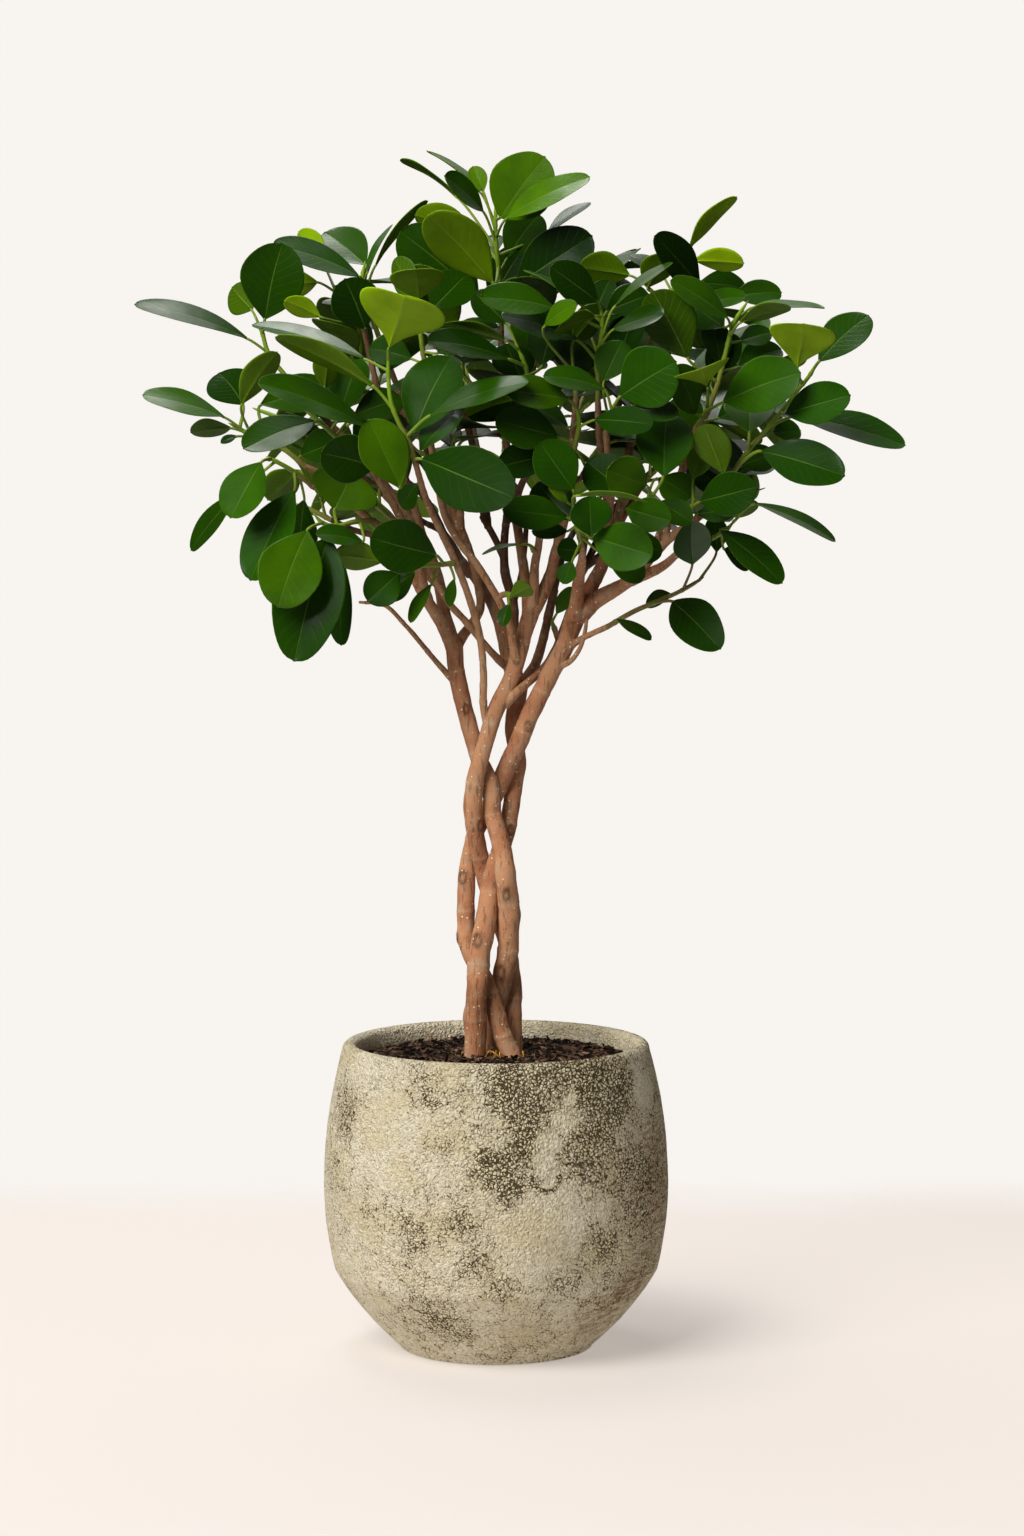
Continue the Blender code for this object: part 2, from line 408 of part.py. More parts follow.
        (0.08, 90, 550, -34, 116, 535, -44, 14, 50),
        (0.50, 132, 564, -56, 168, 528, -68, 34, 6, 0.48),
        (0.58, 132, 569, -40, 112, 562, -34, 14, 30),
        (0.78, 147, 591, -64, 146, 623, -86, 30, 18),
        (0.95, 165, 600, -52, 163, 627, -44, 18, 15),
    ]),
    "right_tip": ([(150, 605, -56), (162, 611, -58), (173, 618, -60), (179, 625, -60)], [
        (0.75, 167, 617, -68, 214, 578, -82, 28, 36),
        (0.95, 193, 637, -60, 254, 610, -64, 20, 62),
        (0.60, 170, 603, -50, 190, 590, -34, 20, 40),
    ]),
}

# Shoots of the back and the inside, whose leaves follow a rule: stem, start of the branch inside
# its parent, base and tip of the green axis (x, height, depth), number of leaves.
SPRAYS = {
    "back_top": ("stem_back", (8, 622, 54), (28, 738, 62), (42, 796, 92), 5),
    "back_top_left": ("stem_back", (-8, 623, 53), (-32, 736, 78), (-46, 792, 112), 5),
    "back_high_right": ("stem_front", (60, 572, 41), (100, 726, 74), (134, 780, 104), 5),
    "back_high_left": ("stem_left", (-20, 600, 25), (-90, 708, 84), (-124, 748, 116), 5),
    "side_right": ("stem_right", (87, 612, 1), (150, 690, 48), (196, 730, 66), 5),
    "side_left": ("stem_left", (-46, 592, 12), (-138, 682, 56), (-182, 708, 74), 5),
    "back_mid_right": ("stem_back", (43, 569, 41), (58, 694, 132), (80, 742, 192), 6),
    "back_mid": ("stem_back", (-6, 619, 52), (-18, 700, 136), (-28, 750, 198), 6),
    "back_mid_left": ("stem_back", (-32, 600, 53), (-84, 672, 132), (-116, 708, 186), 6),
    "back_right": ("stem_front", (64, 584, 46), (122, 666, 112), (166, 696, 158), 6),
    "back_low": ("stem_back", (22, 620, 54), (6, 664, 150), (6, 688, 214), 5),
    "back_low_right": ("stem_back", (38, 550, 36), (72, 634, 152), (98, 656, 208), 5),
    "back_low_left": ("stem_back", (-20, 583, 45), (-64, 630, 124), (-98, 644, 180), 5),
    "side_low_right": ("stem_front", (66, 589, 48), (140, 618, 84), (186, 636, 112), 4),
    "side_low_left": ("stem_left", (-43, 575, 11), (-122, 624, 66), (-168, 636, 96), 4),
    "inner_top": ("stem_front", (7, 690, 27), (-12, 716, 18), (-36, 742, 6), 5),
    "inner_high": ("stem_front", (4, 728, 27), (28, 748, 28), (56, 774, 24), 5),
    "inner_middle": ("stem_front", (14, 635, 23), (28, 668, 18), (46, 704, 8), 5),
    "inner_mid_left": ("stem_left", (-26, 616, 26), (-28, 654, 14), (-34, 690, 0), 5),
    "inner_high_left": ("stem_left", (-60, 695, 31), (-82, 712, 28), (-104, 734, 22), 5),
    "inner_low_left": ("stem_left", (-58, 614, 12), (-78, 626, 10), (-106, 642, 2), 5),
    "inner_right": ("stem_right", (100, 680, 6), (118, 694, 4), (140, 716, -2), 5),
    "inner_low_right": ("stem_right", (92, 632, 4), (108, 650, 2), (130, 670, -4), 5),
    "inner_low": ("stem_front", (52, 645, -29), (66, 660, -22), (82, 684, -14), 4),
}
SPRAY_LENGTH = (64.0, 80.0)
SPRAY_SLENDER = (0.55, 0.66)  # width of a blade over its length
DROOP = 0.42
HOOD_X, HOOD_Z, HOOD_WIDTH, HOOD_HEIGHT = 25.0, 708.0, 206.0, 128.0
FORK_TOP, FORK_SLOPE = 645.0, 0.45  # bare branches show below this line
GAPS = ((-149, 743, 24), (-114, 726, 12), (-21, 779, 10))  # x, height and reach of lights in it


def along(points, share):
    """The point at a share of the length of a line through points, and its direction there."""
    lengths = [(b - a).length for a, b in zip(points, points[1:])]
    left = share * sum(lengths)
    for a, b, length in zip(points, points[1:], lengths):
        if left <= length:
            return a.lerp(b, left / length), (b - a).normalized()
        left -= length
    return points[-1].copy(), (points[-1] - points[-2]).normalized()


def pushes_between(knot, others):
    """Small moves in depth that part a stem's point from another stem that it touches."""
    x, z, depth, radius = knot
    found = []
    for low, high in zip(others, others[1:]):
        step = Vector((high[0] - low[0], high[1] - low[1]))
        share = (Vector((x - low[0], z - low[1]))).dot(step) / step.length_squared
        if not -0.2 <= share <= 1.2:
            continue
        near = [a + (b - a) * share for a, b in zip(low, high)]
        beside = math.hypot(x - near[0], z - near[1])
        apart = (depth - near[2]) / STEM_FLATTEN
        room = radius + near[3] + STEM_ROOM
        short = room - math.hypot(beside, apart)
        if short > 0:
            push = math.copysign(0.02 + 0.15 * short, apart)
            found += [(knot, push), (low if share < 0.5 else high, -push)]
    return found


def straightening(knots):
    """Small moves in depth that ease the bends of a stem seen from the side."""
    return [(knot, 0.06 * ((low[2] + high[2]) / 2 - knot[2]))
            for low, knot, high in zip(knots, knots[1:], knots[2:])]


def tube(centres, radii, sides, flatten=1.0, starts=None, ends=None, pointed=False):
    """Vertices and faces of a closed tube, whose end rings may be given their own directions."""
    count = len(centres)
    tangents = [(centres[min(i + 1, count - 1)] - centres[max(i - 1, 0)]).normalized()
                for i in range(count)]
    tangents[0] = starts or tangents[0]
    tangents[-1] = ends or tangents[-1]
    side = tangents[0].orthogonal().normalized()
    vertices, faces = [], []
    for index, (centre, radius, tangent) in enumerate(zip(centres, radii, tangents)):
        side = (side - tangent * side.dot(tangent)).normalized()
        other = tangent.cross(side)
        if pointed and index == count - 1:
            vertices.append(centre.copy())
            break
        for corner in range(sides):
            angle = math.tau * corner / sides
            offset = (side * math.cos(angle) + other * math.sin(angle)) * radius
            offset.y *= flatten
            vertices.append(centre + offset)
    rings = count - 1 if pointed else count
    for ring in range(rings - 1):
        for corner in range(sides):
            a, b = ring * sides + corner, ring * sides + (corner + 1) % sides
            faces.append((a, b, b + sides, a + sides))
    faces.append(tuple(reversed(range(sides))))
    top = (rings - 1) * sides
    if pointed:
        faces.extend((top + c, top + (c + 1) % sides, top + sides) for c in range(sides))
    else:
        faces.append(tuple(range(top, top + sides)))
    return vertices, faces


class Leaf:
    """A stalk from a point inside its shoot's axis, and a blade from base to tip."""

    def __init__(self, root, base, tip, normal, width, fullest=FULLEST, plain=False):
        self.root, self.base, self.tip = root, base, tip
        self.skew = math.log(0.5) / math.log(fullest)
        self.stations = FEW_STATIONS if plain or width < SMALL_WIDTH else STATIONS
        self.along = (tip - base).normalized()
        self.normal = (normal - self.along * normal.dot(self.along)).normalized()
        self.across = self.along.cross(self.normal)
        self.length = (tip - base).length
        self.width = width

    def crosses_itself(self):
        """Whether the leaf is folded back so sharply that it runs into itself."""
        vertices, faces = self.solid()
        tree = BVHTree.FromPolygons(vertices, faces)
        return any(not set(faces[one]) & set(faces[two]) for one, two in tree.overlap(tree))

    def half_width(self, t):
        """Half of the blade's width at a share t of its length."""
        blunt = BASE_BLUNT + (TIP_BLUNT - BASE_BLUNT) * t
        return 0.5 * self.width * math.sin(math.pi * t ** self.skew) ** blunt

    def middle(self, t):
        """The midrib's point at a share t of the blade's length."""
        rise = ARCH * self.length * 4.0 * t * (1.0 - t)
        return self.base + self.along * self.length * t + self.normal * rise

    def stalk(self, room=0.0):
        """Vertices and faces of the stalk alone, with room kept round it."""
        start = self.root.lerp(self.base, 0.25)
        return tube([start, self.base], [STALK_RADIUS + room] * 2, 4)

    def blade(self, room=0.0):
        """Vertices and faces of the blade alone, with room kept round it."""
        return self.solid(room, False)

    def solid(self, room=0.0, with_stalk=True):
        """Vertices and faces of the leaf: rings of left edge, right edge and keel below."""
        edge, face = room * EDGE_ROOM, room * FACE_ROOM
        stalk = (self.base - self.root).normalized()
        bent = self.along.rotation_difference(stalk)
        lift, out = bent @ self.normal, bent @ self.across
        section = [(lift * 0.6 - out) * STALK_RADIUS, (lift * 0.6 + out) * STALK_RADIUS,
                   lift * -1.2 * STALK_RADIUS]
        vertices = [self.root + corner for corner in section] if with_stalk else []
        vertices += [self.base + corner for corner in section]
        for t in self.stations:
            half = self.half_width(t)
            centre = self.middle(t)
            raised = centre + self.normal * (SKIN + face)
            vertices += [raised - self.across * (half + edge), raised + self.across * (half + edge),
                         centre - self.normal * (KEEL + face)]
        vertices.append(self.tip + self.along * edge)
        faces = [(0, 2, 1)]
        rings = (len(vertices) - 1) // 3
        for ring in range(rings - 1):
            left, right, keel = range(3 * ring, 3 * ring + 3)
            for one, two in ((left, right), (right, keel), (keel, left)):
                if with_stalk and ring == 0:
                    faces.append((one, two, two + 3, one + 3))
                else:
                    faces.append((one, two, two + 3))
                    faces.append((one, two + 3, one + 3))
        left, right, keel = range(3 * rings - 3, 3 * rings)
        end = 3 * rings
        faces += [(left, right, end), (right, keel, end), (keel, left, end)]
        return vertices, faces


class Crowd:
    """Everything placed so far, to keep each new piece clear of it."""

    def __init__(self):
        self.pieces = []

    @staticmethod
    def reach(vertices):
        """Lowest and highest corner of some vertices."""
        return ([min(v[k] for v in vertices) for k in range(3)],
                [max(v[k] for v in vertices) for k in range(3)])

    def add(self, node, kind, shape):
        """Take up a piece of a node, which is wood, axis, stalk or blade."""
        tree = BVHTree.FromPolygons(*shape)
        self.pieces.append((node, kind, tree, *self.reach(shape[0])))

    def blocked(self, node, kind, shape):
        """Whether a shape would touch what stands already, other than what it may grow from."""
        tree = BVHTree.FromPolygons(*shape)
        low, high = self.reach(shape[0])
        for other, its_kind, its_tree, its_low, its_high in self.pieces:
            if other == node and (kind != "blade" or its_kind == "stalk"):
                continue
            if any(low[k] > its_high[k] or high[k] < its_low[k] for k in range(3)):
                continue
            if tree.overlap(its_tree):
                return True
        return False

    def place(self, node, choices):
        """Add the first leaf among the choices that stands clear, and return it or None."""
        for leaf in choices:
            if leaf.crosses_itself() or self.blocked(node, "blade", leaf.blade(1.0)):
                continue
            if self.blocked(node, "stalk", leaf.stalk(1.0)):
                continue
            self.add(node, "blade", leaf.blade())
            self.add(node, "stalk", leaf.stalk())
            return leaf
        return None


def facing(base, tip, degrees):
    """The normal of a blade whose upper side is turned so far away from the front."""
    forward = (tip - base).normalized()
    view = (EYE - base).normalized()
    view = (view - forward * view.dot(forward)).normalized()
    side = forward.cross(view)
    if side.z < 0:
        side.negate()
    angle = math.radians(degrees)
    return view * math.cos(angle) + side * math.sin(angle)


def spread_roots(axis, shares):
    """Roots of leaves along an axis near their shares of it, but LEAF_SPACING apart."""
    length = sum((b - a).length for a, b in zip(axis, axis[1:]))
    order = sorted(range(len(shares)), key=lambda index: -shares[index])
    places, limit = [0.0] * len(shares), length - 3.0
    spacing = min(LEAF_SPACING, (length - 6.0) / max(1, len(shares) - 1))
    for rank, index in enumerate(order):
        lowest = 3.0 + spacing * (len(order) - 1 - rank)
        places[index] = max(lowest, min(limit, shares[index] * length))
        limit = places[index] - spacing
    return [along(axis, place / length)[0] for place in places]


def seen_leaf_choices(root, row):
    """A laid-out leaf, then the same with its depth and turn changed a little at a time."""
    _, bx, bz, by, tx, tz, ty, width, turn = row[:9]
    fullest = row[9] if len(row) > 9 else FULLEST
    steps = [(0, 0)] + [(a, b) for size in (6, 12, 18, 25, 32, 40)
                        for a, b in ((0, -size), (0, size), (-size / 2, -size), (size / 2, size),
                                     (-size, -size), (size / 2, -size), (-size / 2, size))]
    for twist in (0, 10, -10, 20, -20):
        for base_step, tip_step in steps:
            base, tip = seen(bx, bz, by + base_step), seen(tx, tz, ty + tip_step)
            yield Leaf(root, base, tip, facing(base, tip, turn + twist), width, fullest)


def shown(point):
    """Where a point seems to be beside the pot's axis, as x and height: the reverse of seen."""
    from_eye = point - EYE
    x, _, z = EYE + from_eye * (-EYE.y / from_eye.y)
    return x, z


def hooded(point):
    """Whether a point lies behind the laid-out leaves as seen from the front."""
    x, z = shown(point)
    inside = math.hypot((x - HOOD_X) / HOOD_WIDTH, (z - HOOD_Z) / HOOD_HEIGHT) < 1.0
    return inside and z > FORK_TOP - FORK_SLOPE * abs(x)


def in_gap(point):
    """Whether a point would close one of the gaps that light shows through."""
    x, z = shown(point)
    return any(math.hypot(x - gap_x, z - gap_z) < reach for gap_x, gap_z, reach in GAPS)


def spray_leaf_choices(axis, index, count, first_turn, length, slender, roll):
    """A leaf by rule, spiralling up the axis, then the same turned or shortened step by step."""
    share = 0.12 + 0.88 * index / (count - 1)
    root, forward = along(axis, min(share, 0.97))
    aside = forward.cross(Vector((0, 0, 1))).normalized()
    above = aside.cross(forward)
    spread = math.radians(72 - 34 * share)
    for size in (1.0, 0.88, 0.76):
        for nudge in (0, 14, -14, 28, -28, 42, -42, 58, -58, 75, -75):
            turn = first_turn + index * GOLDEN_TURN + math.radians(nudge)
            out = aside * math.cos(turn) + above * math.sin(turn)
            heading = (forward * math.cos(spread) + out * math.sin(spread)).normalized()
            stalk = (heading + Vector((0, 0, 0.25))).normalized()
            base = root + stalk * 15.0
            heading = (heading - Vector((0, 0, DROOP))).normalized()
            tip = base + heading * length * size
            up = Vector((0, 0, 1)) + out * 0.35 + aside * roll
            middle = base.lerp(tip, 0.6)
            if hooded(tip) and hooded(base) and not in_gap(tip) and not in_gap(middle):
                yield Leaf(root, base, tip, up, length * size * slender, plain=True)


class Plant:
    """The stems, branches, shoots and leaves, each kept clear of the others."""

    def __init__(self):
        self.crowd = Crowd()
        self.wood = {name: [] for name in STEMS}
        self.feet = {}
        self.axes = {}
        self.leaves = {}
        self.dropped = []
        self.grow_stems()
        self.lay_axes()
        self.grow_branches()
        self.grow_leaves()

    @staticmethod
    def untangle():
        """The stems' points, moved in depth until no two stems touch where they cross."""
        stems = {name: [list(knot) for knot in knots] for name, knots in STEMS.items()}
        for step in range(900):
            pushes = []
            for name, knots in stems.items():
                for knot in knots:
                    for other in stems:
                        if other != name:
                            pushes += pushes_between(knot, stems[other])
            if step < 300:
                pushes += [pull for knots in stems.values() for pull in straightening(knots)]
            elif not pushes:
                return stems
            for knot, push in pushes:
                knot[2] += push
        raise ValueError("the stems can't be parted")

    def grow_stems(self):
        """The plaited stems, from their foot in the soil."""
        for name, knots in self.untangle().items():
            foot = seen(*knots[0][:3])
            self.feet[name] = foot, knots[0][3]
            centres = [Vector((foot.x, foot.y, level)) for level in (STEM_BOTTOM, SOIL_CLEAR)]
            radii = [knots[0][3] * 0.97, knots[0][3]]
            centres += [seen(*knot[:3]) for knot in knots[1:]]
            radii += [knot[3] for knot in knots[1:]]
            shape = tube(centres, radii, STEM_SIDES, STEM_FLATTEN)
            self.wood[name].append(shape)
            self.crowd.add(name, "wood", shape)

    def lay_axes(self):
        """The green axis of each shoot, so that branches can meet them."""
        for name, (points, _) in SHOOTS.items():
            self.axes[name] = [seen(*point) for point in points]
        for name, (_, _, base, tip, _) in SPRAYS.items():
            start, end = seen(*base), seen(*tip)
            bulge = Vector((0, 0, 0.08 * (end - start).length))
            self.axes[name] = [start, start.lerp(end, 0.5) + bulge, end]

    def grow_branches(self):
        """Brown branches, each ending just short of the green axis that it carries."""
        for stem, shoot, knots in BRANCHES:
            points = [seen(*knot[:3]) for knot in knots]
            self.add_branch(stem, shoot, points, [knot[3] for knot in knots])
        for shoot, (stem, hub, base, tip, _) in SPRAYS.items():
            start, end = seen(*hub), self.axes[shoot][0]
            heading = (self.axes[shoot][1] - end).normalized()
            reach = (end - start).length
            lift = Vector((0, 0, 0.10 * reach))
            middle = start.lerp(end, 0.5) - heading * 0.06 * reach + lift
            points = [start, middle, end - heading * min(18.0, 0.2 * reach)]
            self.add_branch(stem, shoot, points, [3.0, 2.6, 2.2])
        for shoot, points in self.axes.items():
            self.crowd.add(shoot, "axis", self.axis_shape(points))

    def add_branch(self, stem, shoot, points, radii):
        """One branch through its points, bent clear of other stems' wood where it can be."""
        ends = None
        sides = THIN_SIDES if radii[0] < THIN_RADIUS else BRANCH_SIDES
        if shoot:
            axis = self.axes[shoot]
            ends = (axis[1] - axis[0]).normalized()
            points = points + [axis[0] - ends * GAP]
            radii = radii + [AXIS_RADIUS + 0.2]
        for push in (0, 4, -4, 8, -8, 12, -12, 17, -17, 23, -23):
            bent = [point.copy() for point in points]
            for index in range(1, len(bent) - 1):
                hump = math.sin(math.pi * index / (len(bent) - 1))
                bent[index].y += push * hump
            roomy = tube(bent, [r + 1.0 for r in radii[:-1]] + [radii[-1]], sides)
            if not self.crowd.blocked(stem, "wood", roomy):
                break
        else:
            self.dropped.append(f"branch of {stem} to {shoot} crosses other wood")
        shape = tube(bent, radii, sides, ends=ends)
        self.wood[stem].append(shape)
        self.crowd.add(stem, "wood", shape)

    @staticmethod
    def axis_shape(points):
        """A green axis, thinning to the pointed bud at its tip."""
        count = len(points)
        radii = [AXIS_RADIUS - 0.7 * index / (count - 1) for index in range(count)]
        starts = (points[1] - points[0]).normalized()
        return tube(points, radii, AXIS_SIDES, starts=starts, pointed=True)

    def grow_leaves(self):
        """The laid-out leaves first, then those that follow the rule."""
        draw = random.Random(11)
        for name, (_, rows) in SHOOTS.items():
            self.leaves[name] = []
            roots = spread_roots(self.axes[name], [row[0] for row in rows])
            for number, (root, row) in enumerate(zip(roots, rows)):
                leaf = self.crowd.place(name, seen_leaf_choices(root, row))
                if leaf is None:
                    self.dropped.append(f"leaf {number} of {name}")
                else:
                    self.leaves[name].append(leaf)
        for name, (_, _, _, _, count) in SPRAYS.items():
            self.leaves[name] = []
            first_turn = draw.uniform(0, math.tau)
            for index in range(count):
                length, slender = draw.uniform(*SPRAY_LENGTH), draw.uniform(*SPRAY_SLENDER)
                roll = draw.uniform(-0.35, 0.35)
                leaf = self.crowd.place(name, spray_leaf_choices(
                    self.axes[name], index, count, first_turn, length, slender, roll))
                if leaf is None:
                    self.dropped.append(f"leaf {index} of {name}")
                else:
                    self.leaves[name].append(leaf)


def material(name, colour, roughness):
    """A plain finish."""
    made = bpy.data.materials.new(name)
    made.use_nodes = True
    shader = made.node_tree.nodes["Principled BSDF"]
    shader.inputs["Base Color"].default_value = (*colour, 1.0)
    shader.inputs["Roughness"].default_value = roughness
    return made


def solid(name, shape, finish=None):
    """An object from vertices in millimetres and faces, with all its faces turned outwards."""
    vertices, faces = shape
    mesh = bpy.data.meshes.new(name)
    mesh.from_pydata([tuple(v * MM) for v in vertices], [], faces)
    work = bmesh.new()
    work.from_mesh(mesh)
    bmesh.ops.recalc_face_normals(work, faces=work.faces)
    work.to_mesh(mesh)
    work.free()
    made = bpy.data.objects.new(name, mesh)
    bpy.context.scene.collection.objects.link(made)
    if finish:
        mesh.materials.append(finish)
    return made


def fuse(host, others):
    """Join other solids to the host by one Boolean union, applied, and remove them."""
    joined = bpy.data.collections.new(host.name + "_joined")
    bpy.context.scene.collection.children.link(joined)
    for other in others:
        bpy.context.scene.collection.objects.unlink(other)
        joined.objects.link(other)
    union = host.modifiers.new("union", "BOOLEAN")
    union.operation = "UNION"
    union.operand_type = "COLLECTION"
    union.collection = joined
    union.solver = "MANIFOLD"
    apply_modifiers(host)
    for other in others:
        bpy.data.objects.remove(other)
    bpy.data.collections.remove(joined)


def apply_modifiers(host):
    """Replace an object's mesh by what its modifiers make of it."""
    bpy.context.view_layer.update()
    graph = bpy.context.evaluated_depsgraph_get()
    result = bpy.data.meshes.new_from_object(host.evaluated_get(graph))
    host.modifiers.clear()
    host.data = result


def bend(start, pull, end, steps):
    """Points of a curve from start to end, drawn towards pull, without its start."""
    points = []
    for step in range(1, steps + 1):
        t = step / steps
        points.append(tuple((1 - t) ** 2 * a + 2 * t * (1 - t) * b + t * t * c
                            for a, b, c in zip(start, pull, end)))
    return points


def turned(name, profile, sides, finish):
    """A solid of revolution about Z, from (radius, height) points that start and end on the axis."""
    vertices = [Vector((0, 0, profile[0][1]))]
    for radius, height in profile[1:-1]:
        for corner in range(sides):
            angle = math.tau * corner / sides
            vertices.append(Vector((radius * math.cos(angle), radius * math.sin(angle), height)))
    vertices.append(Vector((0, 0, profile[-1][1])))
    faces = []
    for corner in range(sides):
        after = (corner + 1) % sides
        faces.append((0, 1 + after, 1 + corner))
        for ring in range(len(profile) - 3):
            low = 1 + ring * sides
            faces.append((low + corner, low + after, low + sides + after, low + sides + corner))
        last = 1 + (len(profile) - 3) * sides
        faces.append((last + corner, last + after, len(vertices) - 1))
    return solid(name, (vertices, faces), finish)


def make_pot():
    """The glazed pot: foot, chamfered lower side, round belly, rounded lip and the hollow."""
    lip_round = LIP_THICKNESS / 2
    lip_height = POT_HEIGHT - lip_round
    shoulder = (SHOULDER_RADIUS, SHOULDER_HEIGHT)
    outside = [(0, 0), (FOOT_RADIUS - 2.5, 0), (FOOT_RADIUS, 2.0)]
    outside += bend((FOOT_RADIUS, 2.0), LOWER_PULL, shoulder, 3)
    outside += bend(shoulder, BELLY_PULL, (LIP_RADIUS, lip_height), 5)
    lip_centre = LIP_RADIUS - lip_round
    lip = [(lip_centre + lip_round * math.cos(a), lip_height + lip_round * math.sin(a))
           for a in (math.radians(45), math.radians(90), math.radians(135))]
    return turned("pot", outside + lip + hollow_profile(0.0), POT_SIDES,
                  material("speckled_glaze", (0.56, 0.50, 0.36), 0.5))


def hollow_profile(inset):
    """The pot's inside from the lip's foot down to its floor, drawn in by an inset."""
    top = (LIP_RADIUS - LIP_THICKNESS - inset, SOIL_TOP - 1.5)
    shoulder = (SHOULDER_RADIUS - WALL - inset, SHOULDER_HEIGHT)
    pull = (BELLY_PULL[0] - WALL - 3.0 - inset, BELLY_PULL[1])
    floor = (FOOT_RADIUS - WALL + 4.0 - inset, FLOOR + inset)
    return [top] + bend(top, pull, shoulder, 3) + [floor, (0, FLOOR + inset)]


def make_soil(feet):
    """The soil that fills the hollow, gently mounded, with a plain hole for each stem."""
    sides = POT_SIDES
    profile = hollow_profile(GAP)
    rings = list(reversed(profile))[1:]
    top = [(radius, SOIL_TOP + SOIL_MOUND * (1 - (radius / rings[-1][0]) ** 2))
           for radius in (62.0,)]
    soil = turned("soil", [(0, profile[-1][1])] + rings + top + [(0, SOIL_TOP + SOIL_MOUND)], sides,
                  material("potting_soil", (0.035, 0.024, 0.018), 0.95))
    for vertex in soil.data.vertices:
        x, y, z = (value / MM for value in vertex.co)
        if z > SOIL_TOP and math.hypot(x, y) < 90:
            vertex.co.z += MM * (1.1 * math.sin(0.13 * x + 1.0) * math.cos(0.11 * y)
                                 + 0.5 * math.sin(0.31 * x - 0.23 * y))
    for name, (foot, stem_radius) in feet.items():
        low, high = (Vector((foot.x, foot.y, level)) for level in (STEM_BOTTOM - GAP, SOIL_TOP + 20))
        radius = (stem_radius + HOLE_CLEARANCE) / math.cos(math.pi / 12)
        cutter = solid("hole_" + name, tube([low, high], [radius] * 2, 12))
        cut = soil.modifiers.new("hole", "BOOLEAN")
        cut.operation = "DIFFERENCE"
        cut.object = cutter
        apply_modifiers(soil)
        bpy.data.objects.remove(cutter)
    return soil


def make_plant(plant):
    """A node for each stem with its branches, and one for each shoot with its leaves."""
    bark = material("bark", (0.30, 0.17, 0.10), 0.8)
    green = material("leaf_green", (0.05, 0.14, 0.02), 0.35)
    for name, shapes in plant.wood.items():
        host = solid(name, shapes[0], bark)
        fuse(host, [solid(f"{name}_{i}", shape) for i, shape in enumerate(shapes[1:])])
    for name, leaves in plant.leaves.items():
        host = solid("shoot_" + name, plant.axis_shape(plant.axes[name]), green)
        fuse(host, [solid(f"{name}_{i}", leaf.solid()) for i, leaf in enumerate(leaves)])


def main():
    """Build the whole potted plant."""
    for old in list(bpy.data.objects):
        bpy.data.objects.remove(old)
    plant = Plant()
    make_pot()
    make_soil(plant.feet)
    make_plant(plant)


main()
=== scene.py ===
"""Dressed scene of a plaited ficus in a glazed pot.

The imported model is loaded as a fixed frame.  The pot, the soil, the four woody stems and each
green shoot with its leaves are then made again as finer meshes in the same places, and dressed.
Lengths are in millimetres up to where a mesh is made, where they become metres.  The front of the
plant is seen along +Y, and x and height are given there as seen from EYE.
"""

from __future__ import annotations

import logging
import math
import random
from collections.abc import Callable, Iterator, Sequence
from dataclasses import dataclass, field
from enum import Enum
from typing import Any

import bmesh
import bpy
import numpy as np
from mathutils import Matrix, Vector, kdtree, noise
from mathutils.bvhtree import BVHTree

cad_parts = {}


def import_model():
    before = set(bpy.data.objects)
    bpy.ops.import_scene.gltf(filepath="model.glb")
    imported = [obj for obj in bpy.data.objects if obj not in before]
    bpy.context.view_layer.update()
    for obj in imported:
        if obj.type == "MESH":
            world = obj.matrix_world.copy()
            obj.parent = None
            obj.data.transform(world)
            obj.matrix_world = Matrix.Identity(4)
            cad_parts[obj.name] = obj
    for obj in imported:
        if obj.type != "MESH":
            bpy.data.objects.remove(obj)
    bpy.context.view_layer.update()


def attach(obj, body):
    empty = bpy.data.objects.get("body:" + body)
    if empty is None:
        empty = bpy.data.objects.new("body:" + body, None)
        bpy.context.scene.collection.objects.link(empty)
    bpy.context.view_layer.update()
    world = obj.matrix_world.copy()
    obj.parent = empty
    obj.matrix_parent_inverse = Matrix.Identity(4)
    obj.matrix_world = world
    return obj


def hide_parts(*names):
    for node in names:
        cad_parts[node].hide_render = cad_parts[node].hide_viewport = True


LOG = logging.getLogger("ficus")

Faces = list[tuple[int, ...]]
Shape = tuple[list[Vector], Faces]
Pair = tuple[float, float]
Colour = tuple[float, float, float]
Row = tuple[float, ...]

MM = 0.001
METRE = 1000.0
BLADE_MAP = "blade"  # the map on which a blade's veins lie
# inner is painted shade: the bark darkens inside the crown and behind it
BARK_MARKS = ("ring", "knot", "thin", "inner")  # how far a point of the bark is each of these
GAP = 0.3  # between pieces that touch

# Pot
POT_HEIGHT = 232.0
FOOT_RADIUS = 73.7
SHOULDER_RADIUS, SHOULDER_HEIGHT = 122.4, 60.3
LOWER_PULL = (105.4, 30.0)  # bends the side between foot and shoulder
BELLY_PULL = (140.8, 134.8)  # bends the side between shoulder and lip
LIP_THICKNESS = 11.0
LIP_RADIUS = 116.0
WALL = 9.5
FLOOR = 12.0

# Soil
SOIL_TOP = 219.0
SOIL_MOUND = 3.0
SOIL_CLEAR = 224.0  # above the mound, where the stems start to lean
STEM_BOTTOM = 188.0

